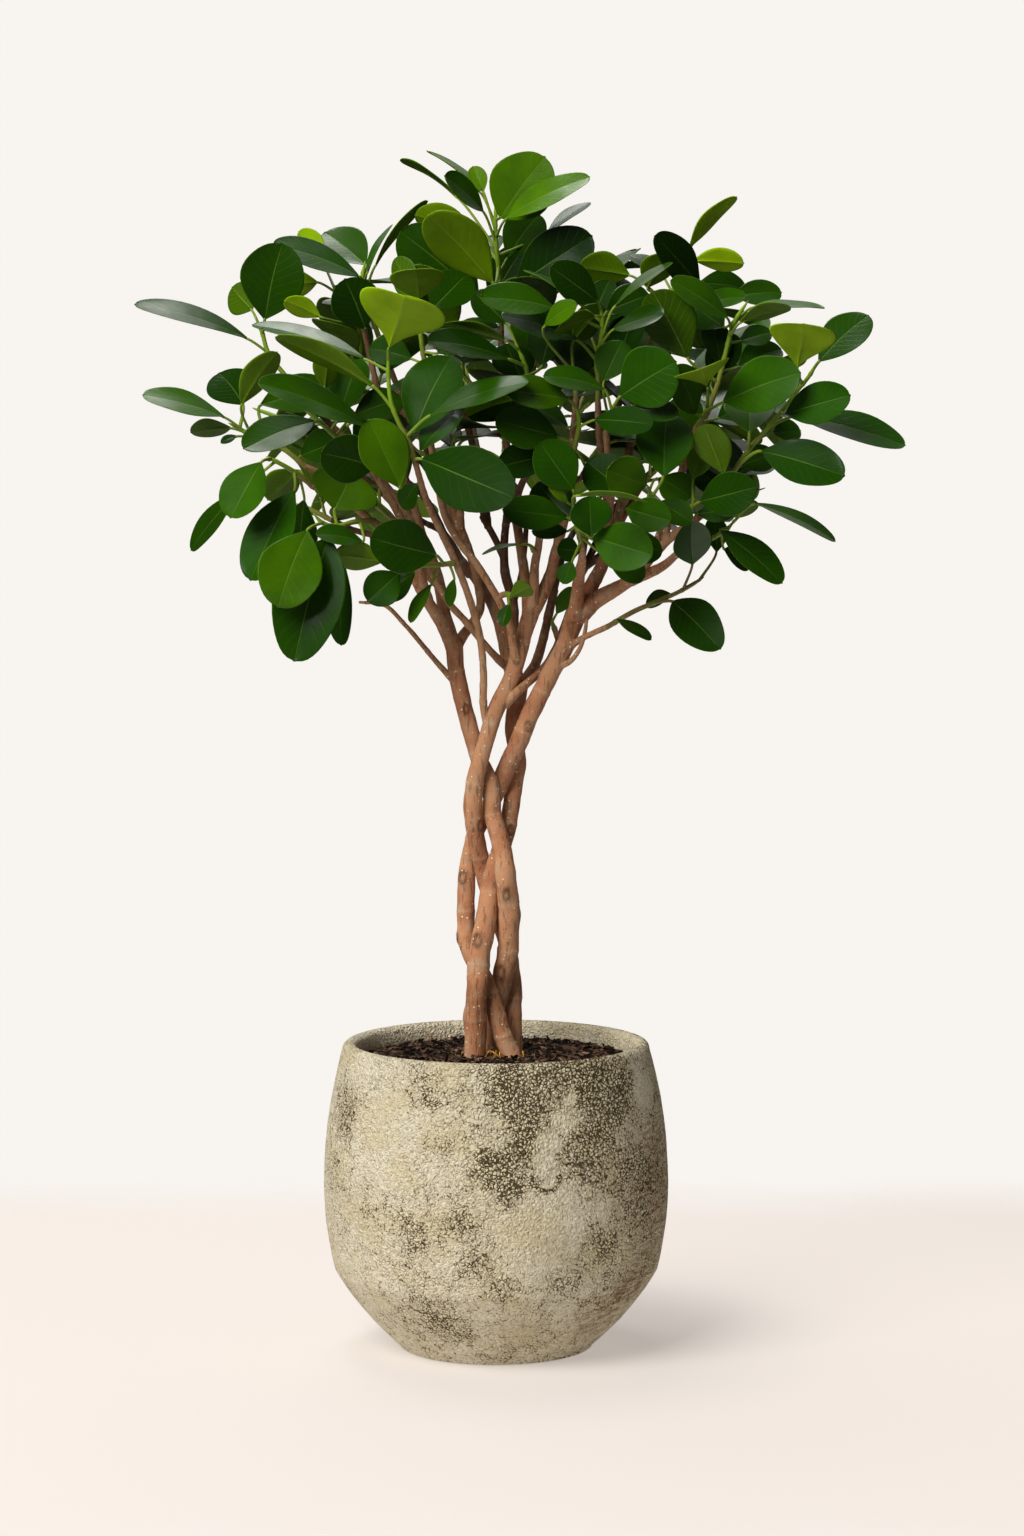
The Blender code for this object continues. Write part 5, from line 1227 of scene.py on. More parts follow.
class Graph:
    """A node tree under construction."""

    def __init__(self, tree: bpy.types.NodeTree) -> None:
        """Take up a tree."""
        self.tree = tree

    def add(self, kind: str, inputs: dict[str | int, Any] | None = None,
            **settings: Any) -> bpy.types.Node:
        """Add a shader node.

        Args:
            kind: The node's type without its prefix.
            inputs: What each of its inputs is linked to or set to.
            settings: Its other properties.

        Returns:
            The new node.
        """
        node = self.tree.nodes.new("ShaderNode" + kind)
        for name, value in settings.items():
            setattr(node, name, value)
        for name, value in (inputs or {}).items():
            self.feed(node, name, value)
        return node

    def feed(self, node: bpy.types.Node, name: str | int, value: Any) -> None:
        """Link a node's input to a socket, or set it to a value.

        Args:
            node: The node.
            name: The input's name or number.
            value: A socket or a plain value.
        """
        if isinstance(value, bpy.types.NodeSocket):
            self.tree.links.new(value, node.inputs[name])
        else:
            node.inputs[name].default_value = value

    def maths(self, operation: str, *values: Any) -> bpy.types.NodeSocket:
        """The result of a sum on one to three values."""
        return self.add("Math", dict(enumerate(values)), operation=operation).outputs[0]

    def times(self, one: Any, other: Any) -> bpy.types.NodeSocket:
        """The product of two values."""
        return self.maths("MULTIPLY", one, other)

    def scaled(self, value: Any, factor: Any, offset: Any) -> bpy.types.NodeSocket:
        """A value times a factor, plus an offset."""
        return self.maths("MULTIPLY_ADD", value, factor, offset)

    def rest(self, value: Any) -> bpy.types.NodeSocket:
        """What a value lacks of 1."""
        return self.maths("SUBTRACT", 1.0, value)

    def mix(self, share: Any, low: Any, high: Any) -> bpy.types.NodeSocket:
        """Mix two colours, which are sockets or screen colours.

        Args:
            share: How much of the second shows.
            low: The first colour.
            high: The second colour.

        Returns:
            The mixed colour.
        """
        colours = [value if isinstance(value, bpy.types.NodeSocket) else linear(value)
                   for value in (low, high)]
        node = self.add("Mix", {0: share, 6: colours[0], 7: colours[1]}, data_type="RGBA")
        return node.outputs[2]

    def fade(self, value: Any, low: Any, high: Any) -> bpy.types.NodeSocket:
        """A smooth rise from 0 at low to 1 at high."""
        inputs = {"Value": value, "From Min": low, "From Max": high}
        return self.add("MapRange", inputs, interpolation_type="SMOOTHSTEP").outputs[0]

    def value(self, name: str) -> bpy.types.NodeSocket:
        """A number kept with the mesh's points."""
        return self.add("Attribute", attribute_name=name).outputs["Fac"]

    def place(self) -> bpy.types.NodeSocket:
        """Where a point lies on its object, in metres."""
        return self.add("TexCoord").outputs["Object"]

    def group(self, tree: bpy.types.NodeTree, inputs: dict[str, Any]) -> bpy.types.Node:
        """Place a node group with its own values."""
        return self.add("Group", inputs, node_tree=tree)

    def noise(self, place: Any, scale: Any, detail: Any = 2.0,
              **inputs: float) -> bpy.types.NodeSocket:
        """Smooth noise at a place, about from 0 to 1."""
        given = {"Vector": place, "Scale": scale, "Detail": detail, **inputs}
        return self.add("TexNoise", given).outputs["Fac"]

    def edges(self, place: Any, scale: float) -> bpy.types.NodeSocket:
        """How far a place is from the borders of irregular cells."""
        return self.add("TexVoronoi", {"Vector": place, "Scale": scale},
                        feature="DISTANCE_TO_EDGE").outputs["Distance"]


@dataclass(frozen=True)
class Blotches:
    """Soft blotches: their scale, the noise from and to which they rise, and its detail."""

    scale: float
    low: float = 0.4
    high: float = 0.6
    detail: float = 3.0


@dataclass(frozen=True)
class Dots:
    """Scattered specks: their scale, their radius in it, and how many places have one."""

    scale: float
    radius: float
    share: float


class Effects:
    """Node groups that several finishes share, each built once."""

    rib_taper: float = -0.75  # what the midrib loses of its width on the way to the tip
    rib_core: float = 0.4  # the share of its width where it is at its palest
    vein_curve: float = 0.85
    vein_edge: Pair = (0.02, 0.11)  # where a side vein starts to fade and has gone
    vein_end: Pair = (0.78, 0.95)  # the same on its way out to the margin
    margin_edge: Pair = (0.965, 0.995)

    def __init__(self) -> None:
        """Build the groups."""
        self.mottle = self.build_mottle()
        self.specks = self.build_specks()
        self.veins = self.build_veins()

    @staticmethod
    def begin(name: str, inputs: dict[str, float | None],
              outputs: Sequence[str]) -> tuple[Graph, bpy.types.Node, bpy.types.Node]:
        """Start a node group.

        Args:
            name: The group's name.
            inputs: Its inputs with their usual values, or None for a vector.
            outputs: The masks that it puts out.

        Returns:
            Its graph, its input node and its output node.
        """
        tree = bpy.data.node_groups.new(name, "ShaderNodeTree")
        for label, usual in inputs.items():
            kind = "NodeSocketVector" if usual is None else "NodeSocketFloat"
            socket = tree.interface.new_socket(label, in_out="INPUT", socket_type=kind)
            if usual is not None:
                socket.default_value = usual
        for label in outputs:
            tree.interface.new_socket(label, in_out="OUTPUT", socket_type="NodeSocketFloat")
        return Graph(tree), tree.nodes.new("NodeGroupInput"), tree.nodes.new("NodeGroupOutput")

    def build_mottle(self) -> bpy.types.NodeTree:
        """Soft blotches: a mask that rises where noise goes from Low to High.

        Returns:
            The node group.
        """
        inputs = {"Place": None, "Scale": 40.0, "Detail": 3.0, "Low": 0.4, "High": 0.6}
        graph, given, result = self.begin("mottle", inputs, ["Mask"])
        taken = given.outputs
        clouds = graph.noise(taken["Place"], taken["Scale"], taken["Detail"])
        graph.feed(result, "Mask", graph.fade(clouds, taken["Low"], taken["High"]))
        return graph.tree

    def build_specks(self) -> bpy.types.NodeTree:
        """Scattered round specks, of which only a Share is there.

        Returns:
            The node group.
        """
        inputs = {"Place": None, "Scale": 200.0, "Radius": 0.2, "Share": 0.5}
        graph, given, result = self.begin("specks", inputs, ["Mask"])
        taken = given.outputs
        cells = graph.add("TexVoronoi", {"Vector": taken["Place"], "Scale": taken["Scale"]})
        inner = graph.times(taken["Radius"], 0.5)
        outside = graph.fade(cells.outputs["Distance"], inner, taken["Radius"])
        draw = graph.add("SeparateColor", {0: cells.outputs["Color"]}).outputs[0]
        chosen = graph.maths("LESS_THAN", draw, taken["Share"])
        graph.feed(result, "Mask", graph.times(graph.rest(outside), chosen))
        return graph.tree

    def build_veins(self) -> bpy.types.NodeTree:
        """A blade's midrib, side veins and margin, from its own map.

        Returns:
            The node group.
        """
        inputs = {"Map": None, "Count": 9.0, "Slant": 0.28, "Rib": 0.045}
        graph, given, result = self.begin("veins", inputs, ["Midrib", "Side", "Margin"])
        taken = given.outputs
        parts = graph.add("SeparateXYZ", {0: taken["Map"]}).outputs
        aside = graph.maths("ABSOLUTE", graph.scaled(parts[0], 2.0, -1.0))
        tapering = graph.times(taken["Rib"], graph.scaled(parts[1], self.rib_taper, 1.0))
        midrib = graph.rest(graph.fade(aside, graph.times(tapering, self.rib_core), tapering))
        leaning = graph.times(graph.maths("POWER", aside, self.vein_curve), taken["Slant"])
        step = graph.times(graph.maths("SUBTRACT", parts[1], leaning), taken["Count"])
        off = graph.maths("ABSOLUTE", graph.maths("SUBTRACT", graph.maths("FRACT", step), 0.5))
        lines = graph.rest(graph.fade(off, *self.vein_edge))
        inside = graph.rest(graph.fade(aside, *self.vein_end))
        margin = graph.fade(aside, *self.margin_edge)
        masks = {"Midrib": midrib, "Side": graph.times(lines, inside), "Margin": margin}
        for name, mask in masks.items():
            graph.feed(result, name, mask)
        return graph.tree

    def blotches(self, graph: Graph, place: Any, look: Blotches) -> bpy.types.NodeSocket:
        """Place the group of soft blotches in a graph.

        Args:
            graph: The graph.
            place: Where on the surface it is read, as a socket.
            look: The blotches.

        Returns:
            Its mask.
        """
        given = {"Place": place, "Scale": look.scale, "Detail": look.detail, "Low": look.low,
                 "High": look.high}
        return graph.group(self.mottle, given).outputs[0]

    def dots(self, graph: Graph, place: Any, look: Dots) -> bpy.types.NodeSocket:
        """Place the group of scattered specks in a graph, and return its mask."""
        given = {"Place": place, "Scale": look.scale, "Radius": look.radius, "Share": look.share}
        return graph.group(self.specks, given).outputs[0]


@dataclass(frozen=True)
class Finish:
    """What every finish has: a name and how rough and waxy it is."""

    name: str
    roughness: float = 0.8
    specular: float = 0.5
    coat: float = 0.0
    coat_roughness: float = 0.15

    def make(self, effects: Effects) -> bpy.types.Material:
        """Build the material from its constants and from what changes over the surface.

        Args:
            effects: The node groups that finishes share.

        Returns:
            The material.
        """
        made = bpy.data.materials.new(self.name)
        made.use_nodes = True
        shader = made.node_tree.nodes["Principled BSDF"]
        constants = {"Roughness": self.roughness, "Specular IOR Level": self.specular,
                     "Coat Weight": self.coat, "Coat Roughness": self.coat_roughness}
        for name, value in constants.items():
            shader.inputs[name].default_value = value
        self.paint(Graph(made.node_tree), shader, effects)
        return made

    def paint(self, graph: Graph, shader: bpy.types.Node, effects: Effects) -> None:
        """Feed the shader what changes over the surface."""
        raise NotImplementedError

    @staticmethod
    def bump(graph: Graph, shader: bpy.types.Node, height: bpy.types.NodeSocket,
             depth: float) -> None:
        """Raise the surface by a height from 0 to 1, times a depth in metres."""
        node = graph.add("Bump", {"Height": height, "Distance": depth, "Strength": 1.0})
        graph.feed(shader, "Normal", node.outputs[0])


@dataclass(frozen=True)
class LeafFinish(Finish):
    """Waxy green skin with veins, from dark old leaves to bright young ones, with painted shade
    inside the crown and a painted highlight along the edges.
    """

    old: Colour = (36, 88, 0)
    young: Colour = (98, 142, 0)
    # deep: darkest green, for random blotches and darker leaves, and also painted shade inside the
    # crown
    deep: Colour = (12, 42, 0)
    rib: Colour = (112, 142, 56)
    # margin: a painted highlight, pale green along a blade's edges as if they catch the light
    margin: Colour = (110, 142, 52)
    rib_share: float = 0.38
    side_share: float = 0.04
    edge_highlight_share: float = 0.34
    clouds: Blotches = Blotches(55.0, 0.35, 0.7)
    cloud_share: float = 0.25
    cloud_roughness: float = 0.14
    # shade_share: how far each leaf's random depth and its painted shade pull it to deep
    shade_share: float = 0.8
    pores: float = 420.0
    pore_height: float = 0.3
    vein_height: float = -0.3
    relief: float = 0.00015

    def paint(self, graph: Graph, shader: bpy.types.Node, effects: Effects) -> None:
        """Feed the shader what changes over the surface.

        Args:
            graph: The material's node tree.
            shader: Its shader.
            effects: The node groups that finishes share.
        """
        place = graph.place()
        blade = graph.add("UVMap", uv_map=BLADE_MAP).outputs[0]
        veins = graph.group(effects.veins, {"Map": blade}).outputs
        clouds = effects.blotches(graph, place, self.clouds)
        green = graph.mix(graph.value("age"), self.old, self.young)
        green = graph.mix(graph.times(clouds, self.cloud_share), green, self.deep)
        # each leaf's random depth of green, plus painted shade inside the crown
        green = graph.mix(graph.times(graph.value("shade"), self.shade_share), green, self.deep)
        # the Margin mask lays a painted highlight along the edges
        for mask, colour, share in (("Side", self.rib, self.side_share),
                                    ("Midrib", self.rib, self.rib_share),
                                    ("Margin", self.margin, self.edge_highlight_share)):
            green = graph.mix(graph.times(veins[mask], share), green, colour)
        graph.feed(shader, "Base Color", green)
        graph.feed(shader, "Roughness", graph.scaled(clouds, self.cloud_roughness, self.roughness))
        fine = graph.times(graph.noise(place, self.pores), self.pore_height)
        height = graph.scaled(veins["Side"], self.vein_height, fine)
        self.bump(graph, shader, height, self.relief)


@dataclass(frozen=True)
class StalkFinish(Finish):
    """Soft green skin of shoots and leaf stalks, browner where it is older."""

    bright: Colour = (128, 160, 40)
    dull: Colour = (134, 108, 68)
    cloud: Colour = (96, 140, 34)
    speck: Colour = (176, 186, 110)
    clouds: Blotches = Blotches(120.0)
    cloud_share: float = 0.35
    specks: Dots = Dots(500.0, 0.25, 0.25)
    speck_share: float = 0.3
    relief: float = 0.0001

    def paint(self, graph: Graph, shader: bpy.types.Node, effects: Effects) -> None:
        """Feed the shader what changes over the surface.

        Args:
            graph: The material's node tree.
            shader: Its shader.
            effects: The node groups that finishes share.
        """
        place = graph.place()
        clouds = effects.blotches(graph, place, self.clouds)
        specks = effects.dots(graph, place, self.specks)
        green = graph.mix(graph.value("age"), self.dull, self.bright)
        green = graph.mix(graph.times(clouds, self.cloud_share), green, self.cloud)
        green = graph.mix(graph.times(specks, self.speck_share), green, self.speck)
        graph.feed(shader, "Base Color", green)
        self.bump(graph, shader, specks, self.relief)


@dataclass(frozen=True)
class BarkFinish(Finish):
    """Smooth warm bark with pale dots, ring scars, knots and fine cracks, darkened by painted shade
    inside the crown and behind it.
    """

    brown: Colour = (203, 149, 111)
    reddish: Colour = (177, 119, 85)
    grey: Colour = (194, 164, 134)
    twig: Colour = (182, 142, 104)
    # painted shade: the dark brown that bark takes inside the crown and behind it
    inner: Colour = (72, 50, 36)
    dot: Colour = (246, 224, 192)
    dark: Colour = (62, 40, 28)
    reddened: Blotches = Blotches(22.0, 0.4, 0.62)
    greyed: Blotches = Blotches(75.0, 0.48, 0.7)
    grey_share: float = 0.55
    twig_share: float = 0.7
    cracks: Blotches = Blotches(420.0, 0.54, 0.66, 4.0)
    crack_stretch: float = 0.16  # the cracks' scale along the stem, over that across it
    crack_share: float = 0.4
    crack_height: float = -0.6
    ring_share: float = 0.24
    knot_share: float = 0.75
    large_dots: Dots = Dots(220.0, 0.22, 0.42)
    large_share: float = 0.95
    small_dots: Dots = Dots(520.0, 0.28, 0.26)
    small_share: float = 0.4
    # painted shade also dims the pale dots inside the crown
    dot_painted_shade: float = -0.8  # of the dots within the crown
    dot_height: float = 0.9
    grain: float = 600.0
    grain_height: float = 0.9
    relief: float = 0.0004

    def paint(self, graph: Graph, shader: bpy.types.Node, effects: Effects) -> None:
        """Feed the shader what changes over the surface.

        Args:
            graph: The material's node tree.
            shader: Its shader.
            effects: The node groups that finishes share.
        """
        place = graph.place()
        stretch = (1.0, 1.0, self.crack_stretch)
        along_stem = graph.add("Mapping", {0: place, "Scale": stretch}).outputs[0]
        red = effects.blotches(graph, place, self.reddened)
        grey = effects.blotches(graph, place, self.greyed)
        cracks = effects.blotches(graph, along_stem, self.cracks)
        large = graph.times(effects.dots(graph, place, self.large_dots), self.large_share)
        small = graph.times(effects.dots(graph, place, self.small_dots), self.small_share)
        ring, knot, thin, inner = (graph.value(name) for name in BARK_MARKS)
        colour = graph.mix(red, self.brown, self.reddish)
        # the inner mask mixes in painted shade inside and behind the crown
        for mask, share, over in ((grey, self.grey_share, self.grey),
                                  (thin, self.twig_share, self.twig), (inner, 1.0, self.inner),
                                  (cracks, self.crack_share, self.dark),
                                  (ring, self.ring_share, self.dot),
                                  (knot, self.knot_share, self.dark)):
            colour = graph.mix(graph.times(mask, share), colour, over)
        # painted shade dims the dots where the inner mask is high
        pale = graph.times(graph.maths("MAXIMUM", large, small),
                           graph.scaled(inner, self.dot_painted_shade, 1.0))
        graph.feed(shader, "Base Color", graph.mix(pale, colour, self.dot))
        height = graph.scaled(cracks, self.crack_height, graph.times(pale, self.dot_height))
        height = graph.scaled(graph.noise(place, self.grain, 3.0), self.grain_height, height)
        self.bump(graph, shader, height, self.relief)


@dataclass(frozen=True)
class GlazeFinish(Finish):
    """Matt cream glaze, crawled into fine islands over a dark body where it lies thin."""

    cream: Colour = (238, 230, 207)
    sand: Colour = (228, 217, 184)
    tan: Colour = (170, 147, 98)
    olive: Colour = (58, 42, 10)
    rose: Colour = (134, 104, 66)
    pale: Colour = (246, 234, 194)
    thin_clouds: tuple[Pair, ...] = ((45.0, 1.1), (150.0, 0.9))  # their scale and strength
    flakes: float = 62.0  # how many broad flakes lie side by side in a metre
    islands: float = 380.0  # how many fine islands do
    bends: float = 300.0  # the scale of what bends their edges
    bend_reach: float = 0.0035  # how far it moves them, in metres
    seam_width: float = 0.1
    seam_thinness: float = 0.26
    thin_limits: Pair = (-0.1, 1.15)  # how thin it is where crawling starts, and where it is full
    grain: float = 520.0
    grain_height: Pair = (0.9, -0.25)  # times the noise, and what is added
    island_height: float = 1.75
    bare_level: Pair = (0.36, 0.12)  # the height under which the body shows: slope and start
    bare_edge: Pair = (0.08, 0.07)  # how softly, below and above that
    bare_share: float = 0.9
    toned: Blotches = Blotches(28.0, 0.35, 0.7)
    stipples: Blotches = Blotches(380.0, 0.35, 0.65)
    stipple_share: float = 0.3
    tan_share: float = 0.4
    strokes: Blotches = Blotches(70.0, 0.4, 0.62, 5.0)
    stroke_flatness: float = 5.0
    stroke_strength: Pair = (0.6, 0.3)
    crest_edge: Pair = (0.38, 0.62)
    crest_share: float = 0.9
    lumps: float = 270.0
    lump_height: float = 2.0
    height_share: Pair = (0.4, 0.65)  # of the relief, where it crawls, and everywhere
    relief: float = 0.0022

    def paint(self, graph: Graph, shader: bpy.types.Node, effects: Effects) -> None:
        """Feed the shader what changes over the surface.

        Args:
            graph: The material's node tree.
            shader: Its shader.
            effects: The node groups that finishes share.
        """
        place = graph.place()
        thin = graph.value("thin")
        for scale, strength in self.thin_clouds:
            cloud = graph.noise(place, scale, 3.0, Roughness=0.6)
            thin = graph.scaled(graph.maths("SUBTRACT", cloud, 0.5), strength, thin)
        shift = graph.add("TexNoise", {"Vector": place, "Scale": self.bends, "Detail": 2.0})
        bent = graph.add("VectorMath", {0: shift.outputs["Color"], 1: (self.bend_reach,) * 3,
                                        2: place}, operation="MULTIPLY_ADD").outputs[0]
        seams = graph.rest(graph.fade(graph.edges(bent, self.flakes), 0.0, self.seam_width))
        density = graph.fade(graph.scaled(seams, self.seam_thinness, thin), *self.thin_limits)
        grain = graph.noise(place, self.grain, 2.0, Roughness=0.5, Distortion=0.6)
        crust = graph.scaled(graph.edges(bent, self.islands), self.island_height,
                             graph.scaled(grain, *self.grain_height))
        level = graph.scaled(density, *self.bare_level)
        below, above = self.bare_edge
        bare = graph.rest(graph.fade(crust, graph.maths("SUBTRACT", level, below),
                                     graph.maths("ADD", level, above)))
        tone = effects.blotches(graph, place, self.toned)
        stipple = effects.blotches(graph, place, self.stipples)
        flat = (1.0, 1.0, self.stroke_flatness)
        streaked = graph.add("Mapping", {0: place, "Scale": flat}).outputs[0]
        strokes = graph.scaled(effects.blotches(graph, streaked, self.strokes),
                               *self.stroke_strength)
        brushed = graph.times(graph.value("brushed"), strokes)
        crest = graph.times(graph.fade(crust, *self.crest_edge), density)
        colour = graph.mix(tone, self.cream, self.sand)
        for mask, share, over in ((stipple, self.stipple_share, self.tan),
                                  (density, self.tan_share, self.tan), (brushed, 1.0, self.rose),
                                  (crest, self.crest_share, self.pale),
                                  (bare, self.bare_share, self.olive)):
            colour = graph.mix(graph.times(mask, share), colour, over)
        graph.feed(shader, "Base Color", colour)
        lumps = graph.scaled(graph.noise(bent, self.lumps, 3.0), self.lump_height, crust)
        height = graph.times(lumps, graph.scaled(density, *self.height_share))
        self.bump(graph, shader, height, self.relief)


@dataclass(frozen=True)
class SoilFinish(Finish):
    """Dark damp potting mix, with browner bits."""

    black: Colour = (24, 18, 15)
    brown: Colour = (172, 136, 110)
    clouds: Blotches = Blotches(160.0, 0.35, 0.7, 5.0)
    relief: float = 0.0006

    def paint(self, graph: Graph, shader: bpy.types.Node, effects: Effects) -> None:
        """Feed the shader what changes over the surface.

        Args:
            graph: The material's node tree.
            shader: Its shader.
            effects: The node groups that finishes share.
        """
        clouds = effects.blotches(graph, graph.place(), self.clouds)
        share = graph.times(graph.value("tint"), clouds)
        graph.feed(shader, "Base Color", graph.mix(share, self.black, self.brown))
        self.bump(graph, shader, clouds, self.relief)


@dataclass(frozen=True)
class StrawFinish(Finish):
    """Golden dry fibre."""

    gold: Colour = (214, 158, 66)
    tan: Colour = (150, 104, 50)
    clouds: Blotches = Blotches(300.0)
    relief: float = 0.0001

    def paint(self, graph: Graph, shader: bpy.types.Node, effects: Effects) -> None:
        """Feed the shader what changes over the surface.

        Args:
            graph: The material's node tree.
            shader: Its shader.
            effects: The node groups that finishes share.
        """
        clouds = effects.blotches(graph, graph.place(), self.clouds)
        graph.feed(shader, "Base Color", graph.mix(clouds, self.gold, self.tan))
        self.bump(graph, shader, clouds, self.relief)


@dataclass(frozen=True)
class FloorFinish(Finish):
    """Pale studio floor that fades into the backdrop away from the pot, and glows as painted light
    that grows away from the pot and weakens shadows there.
    """

    # Painted light: away from the pot the floor's colour drops and its glow rises, which weakens
    # shadows there
    near: Colour = (188, 182, 178)
    far: Colour = (120, 116, 113)
    near_glow: Colour = (168, 162, 157)
    far_glow: Colour = (222, 213, 206)
    open_from: float = 0.14  # metres from the pot's axis, as the next three
    open_to: float = 0.30
    fade_from: float = 0.48
    fade_to: float = 0.72
    clouds: Blotches = Blotches(6.0)
    cloud_reach: float = 0.03

    def paint(self, graph: Graph, shader: bpy.types.Node, effects: Effects) -> None:
        """Feed the shader what changes over the surface.

        Args:
            graph: The material's node tree.
            shader: Its shader.
            effects: The node groups that finishes share.
        """
        # the floor glows as painted light, though it is no lamp
        shader.inputs["Emission Strength"].default_value = 1.0
        place = graph.place()
        parts = graph.add("SeparateXYZ", {0: place}).outputs
        away = graph.maths("MAXIMUM", graph.maths("ABSOLUTE", parts[0]),
                           graph.maths("ABSOLUTE", parts[1]))
        reach = graph.scaled(effects.blotches(graph, place, self.clouds), self.cloud_reach, away)
        distance = graph.add("VectorMath", {0: place}, operation="LENGTH").outputs[1]
        clear = graph.fade(distance, self.open_from, self.open_to)
        graph.feed(shader, "Base Color", graph.mix(clear, self.near, self.far))
        graph.feed(shader, "Emission Color", graph.mix(clear, self.near_glow, self.far_glow))
        graph.feed(shader, "Alpha", graph.rest(graph.fade(reach, self.fade_from, self.fade_to)))


def bridge(start: Vector, leaving: Vector, end: Vector, arriving: Vector, u: float) -> Vector:
    """A place at a share u of the smooth curve that leaves and meets two points at given rates."""
    return (start * (2 * u ** 3 - 3 * u ** 2 + 1) + leaving * (u ** 3 - 2 * u ** 2 + u)
            + end * (3 * u ** 2 - 2 * u ** 3) + arriving * (u ** 3 - u ** 2))


def clamped(value: float) -> float:
    """A value held between 0 and 1."""
    return max(0.0, min(1.0, value))


def smooth_line(points: Sequence[Vector], values: Sequence[float],
                step: float) -> tuple[list[Vector], list[float]]:
    """Put a smooth curve through points.

    Args:
        points: The points to go through.
        values: A number for each point.
        step: How far apart the curve's own points are, about.

    Returns:
        The curve's points, and the numbers in between.
    """
    spans = [b - a for a, b in zip(points, points[1:])]
    rates = [span.normalized() for span in spans]
    inner = [(low * after.length + high * before.length) / (before.length + after.length)
             for low, high, before, after in zip(rates, rates[1:], spans, spans[1:])]
    slopes = [rates[0], *inner, rates[-1]]
    centres, numbers = [points[0].copy()], [values[0]]
    for index, span in enumerate(spans):
        count = max(1, round(span.length / step))
        for part in range(1, count + 1):
            u = part / count
            centres.append(bridge(points[index], slopes[index] * span.length, points[index + 1],
                                  slopes[index + 1] * span.length, u))
            numbers.append(values[index] + (values[index + 1] - values[index]) * u)
    return centres, numbers


def distances(points: Sequence[Vector]) -> list[float]:
    """Measure along a line.

    Args:
        points: The line's points.

    Returns:
        How far each is from the first.
    """
    found = [0.0]
    for low, high in zip(points, points[1:]):
        found.append(found[-1] + (high - low).length)
    return found


def rounded_end(centres: list[Vector], radii: list[float]) -> None:
    """Add rings that close a tube with a dome.

    Args:
        centres: The middles of a tube's rings, to which some are added.
        radii: Their radii, likewise.
    """
    heading = (centres[-1] - centres[-2]).normalized()
    end, radius = centres[-1], radii[-1]
    for degrees in DOME_ANGLES:
        angle = math.radians(degrees)
        centres.append(end + heading * radius * DOME_HEIGHT * math.sin(angle))
        radii.append(radius * math.cos(angle))


def placed(name: str, data: bpy.types.ID) -> bpy.types.Object:
    """Put an object in the scene.

    Args:
        name: Its name.
        data: Its mesh, light or camera.

    Returns:
        The object.
    """
    made = bpy.data.objects.new(name, data)
    bpy.context.scene.collection.objects.link(made)
    return made


@dataclass
class Batch:
    """Shapes gathered for one mesh, with a finish for each face and values for each point."""

    points: list[Vector] = field(default_factory=list)
    faces: Faces = field(default_factory=list)
    slots: list[int] = field(default_factory=list)
    places: list[Pair] = field(default_factory=list)
    values: dict[str, list[float]] = field(default_factory=dict)

    def add(self, shape: Shape, slots: int | Sequence[int] = 0,
            places: Sequence[Pair] | None = None, **values: float | Sequence[float]) -> None:
        """Take up a shape.

        Args:
            shape: Its vertices and faces.
            slots: The finish of all its faces, or of each.
            places: Where each vertex lies on the mesh's map.
            values: Named numbers for all its vertices, or for each.
        """
        vertices, faces = shape
        first, count = len(self.points), len(vertices)
        self.points += vertices
        self.faces += [tuple(first + corner for corner in face) for face in faces]
        self.slots += [slots] * len(faces) if isinstance(slots, int) else list(slots)
        self.places += list(places) if places else [(0.0, 0.0)] * count
        for name, given in values.items():
            column = self.values.setdefault(name, [0.0] * first)
            column += [given] * count if isinstance(given, (int, float)) else list(given)

    def make(self, name: str, finishes: Sequence[bpy.types.Material],
             smooth: bool = True) -> bpy.types.Object:
        """Make the object.

        Args:
            name: Its name.
            finishes: Its materials.
            smooth: Whether its faces are shaded smoothly.

        Returns:
            The object, in metres and with its faces turned outwards.
        """
        mesh = bpy.data.meshes.new(name)
        mesh.from_pydata([tuple(point * MM) for point in self.points], [], self.faces)
        mesh.polygons.foreach_set("material_index", self.slots)
        mesh.polygons.foreach_set("use_smooth", [smooth] * len(self.faces))
        corners = np.zeros(len(mesh.loops), dtype=np.int32)
        mesh.loops.foreach_get("vertex_index", corners)
        if any(self.places):
            layer = mesh.uv_layers.new(name=BLADE_MAP)
            layer.uv.foreach_set("vector", np.array(self.places, dtype=np.float32)[corners].ravel())
        for label, column in self.values.items():
            mesh.attributes.new(label, "FLOAT", "POINT").data.foreach_set("value", column)
        work = bmesh.new()
        work.from_mesh(mesh)
        bmesh.ops.recalc_face_normals(work, faces=work.faces)
        work.to_mesh(mesh)
        work.free()
        for finish in finishes:
            mesh.materials.append(finish)
        return placed(name, mesh)


def settle(piece: bpy.types.Object, node: str) -> None:
    """Let a piece stand for a node of the frame, and report it.

    Args:
        piece: The piece.
        node: The node that it replaces.
    """
    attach(piece, "root")
    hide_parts(node)
    LOG.info("%s: %d faces for %s", piece.name, len(piece.data.polygons), node)


def inwardness(place: Vector) -> float:
    """Find how far inside the crown a place is.

    Args:
        place: A place in the crown.

    Returns:
        From 0 at its outer leaves to 1 well within.
    """
    away = place - CROWN_MIDDLE
    share = math.hypot(away.x / CROWN_HALF.x, away.y / CROWN_HALF.y, away.z / CROWN_HALF.z)
    return clamped((0.9 - share) / 0.5)


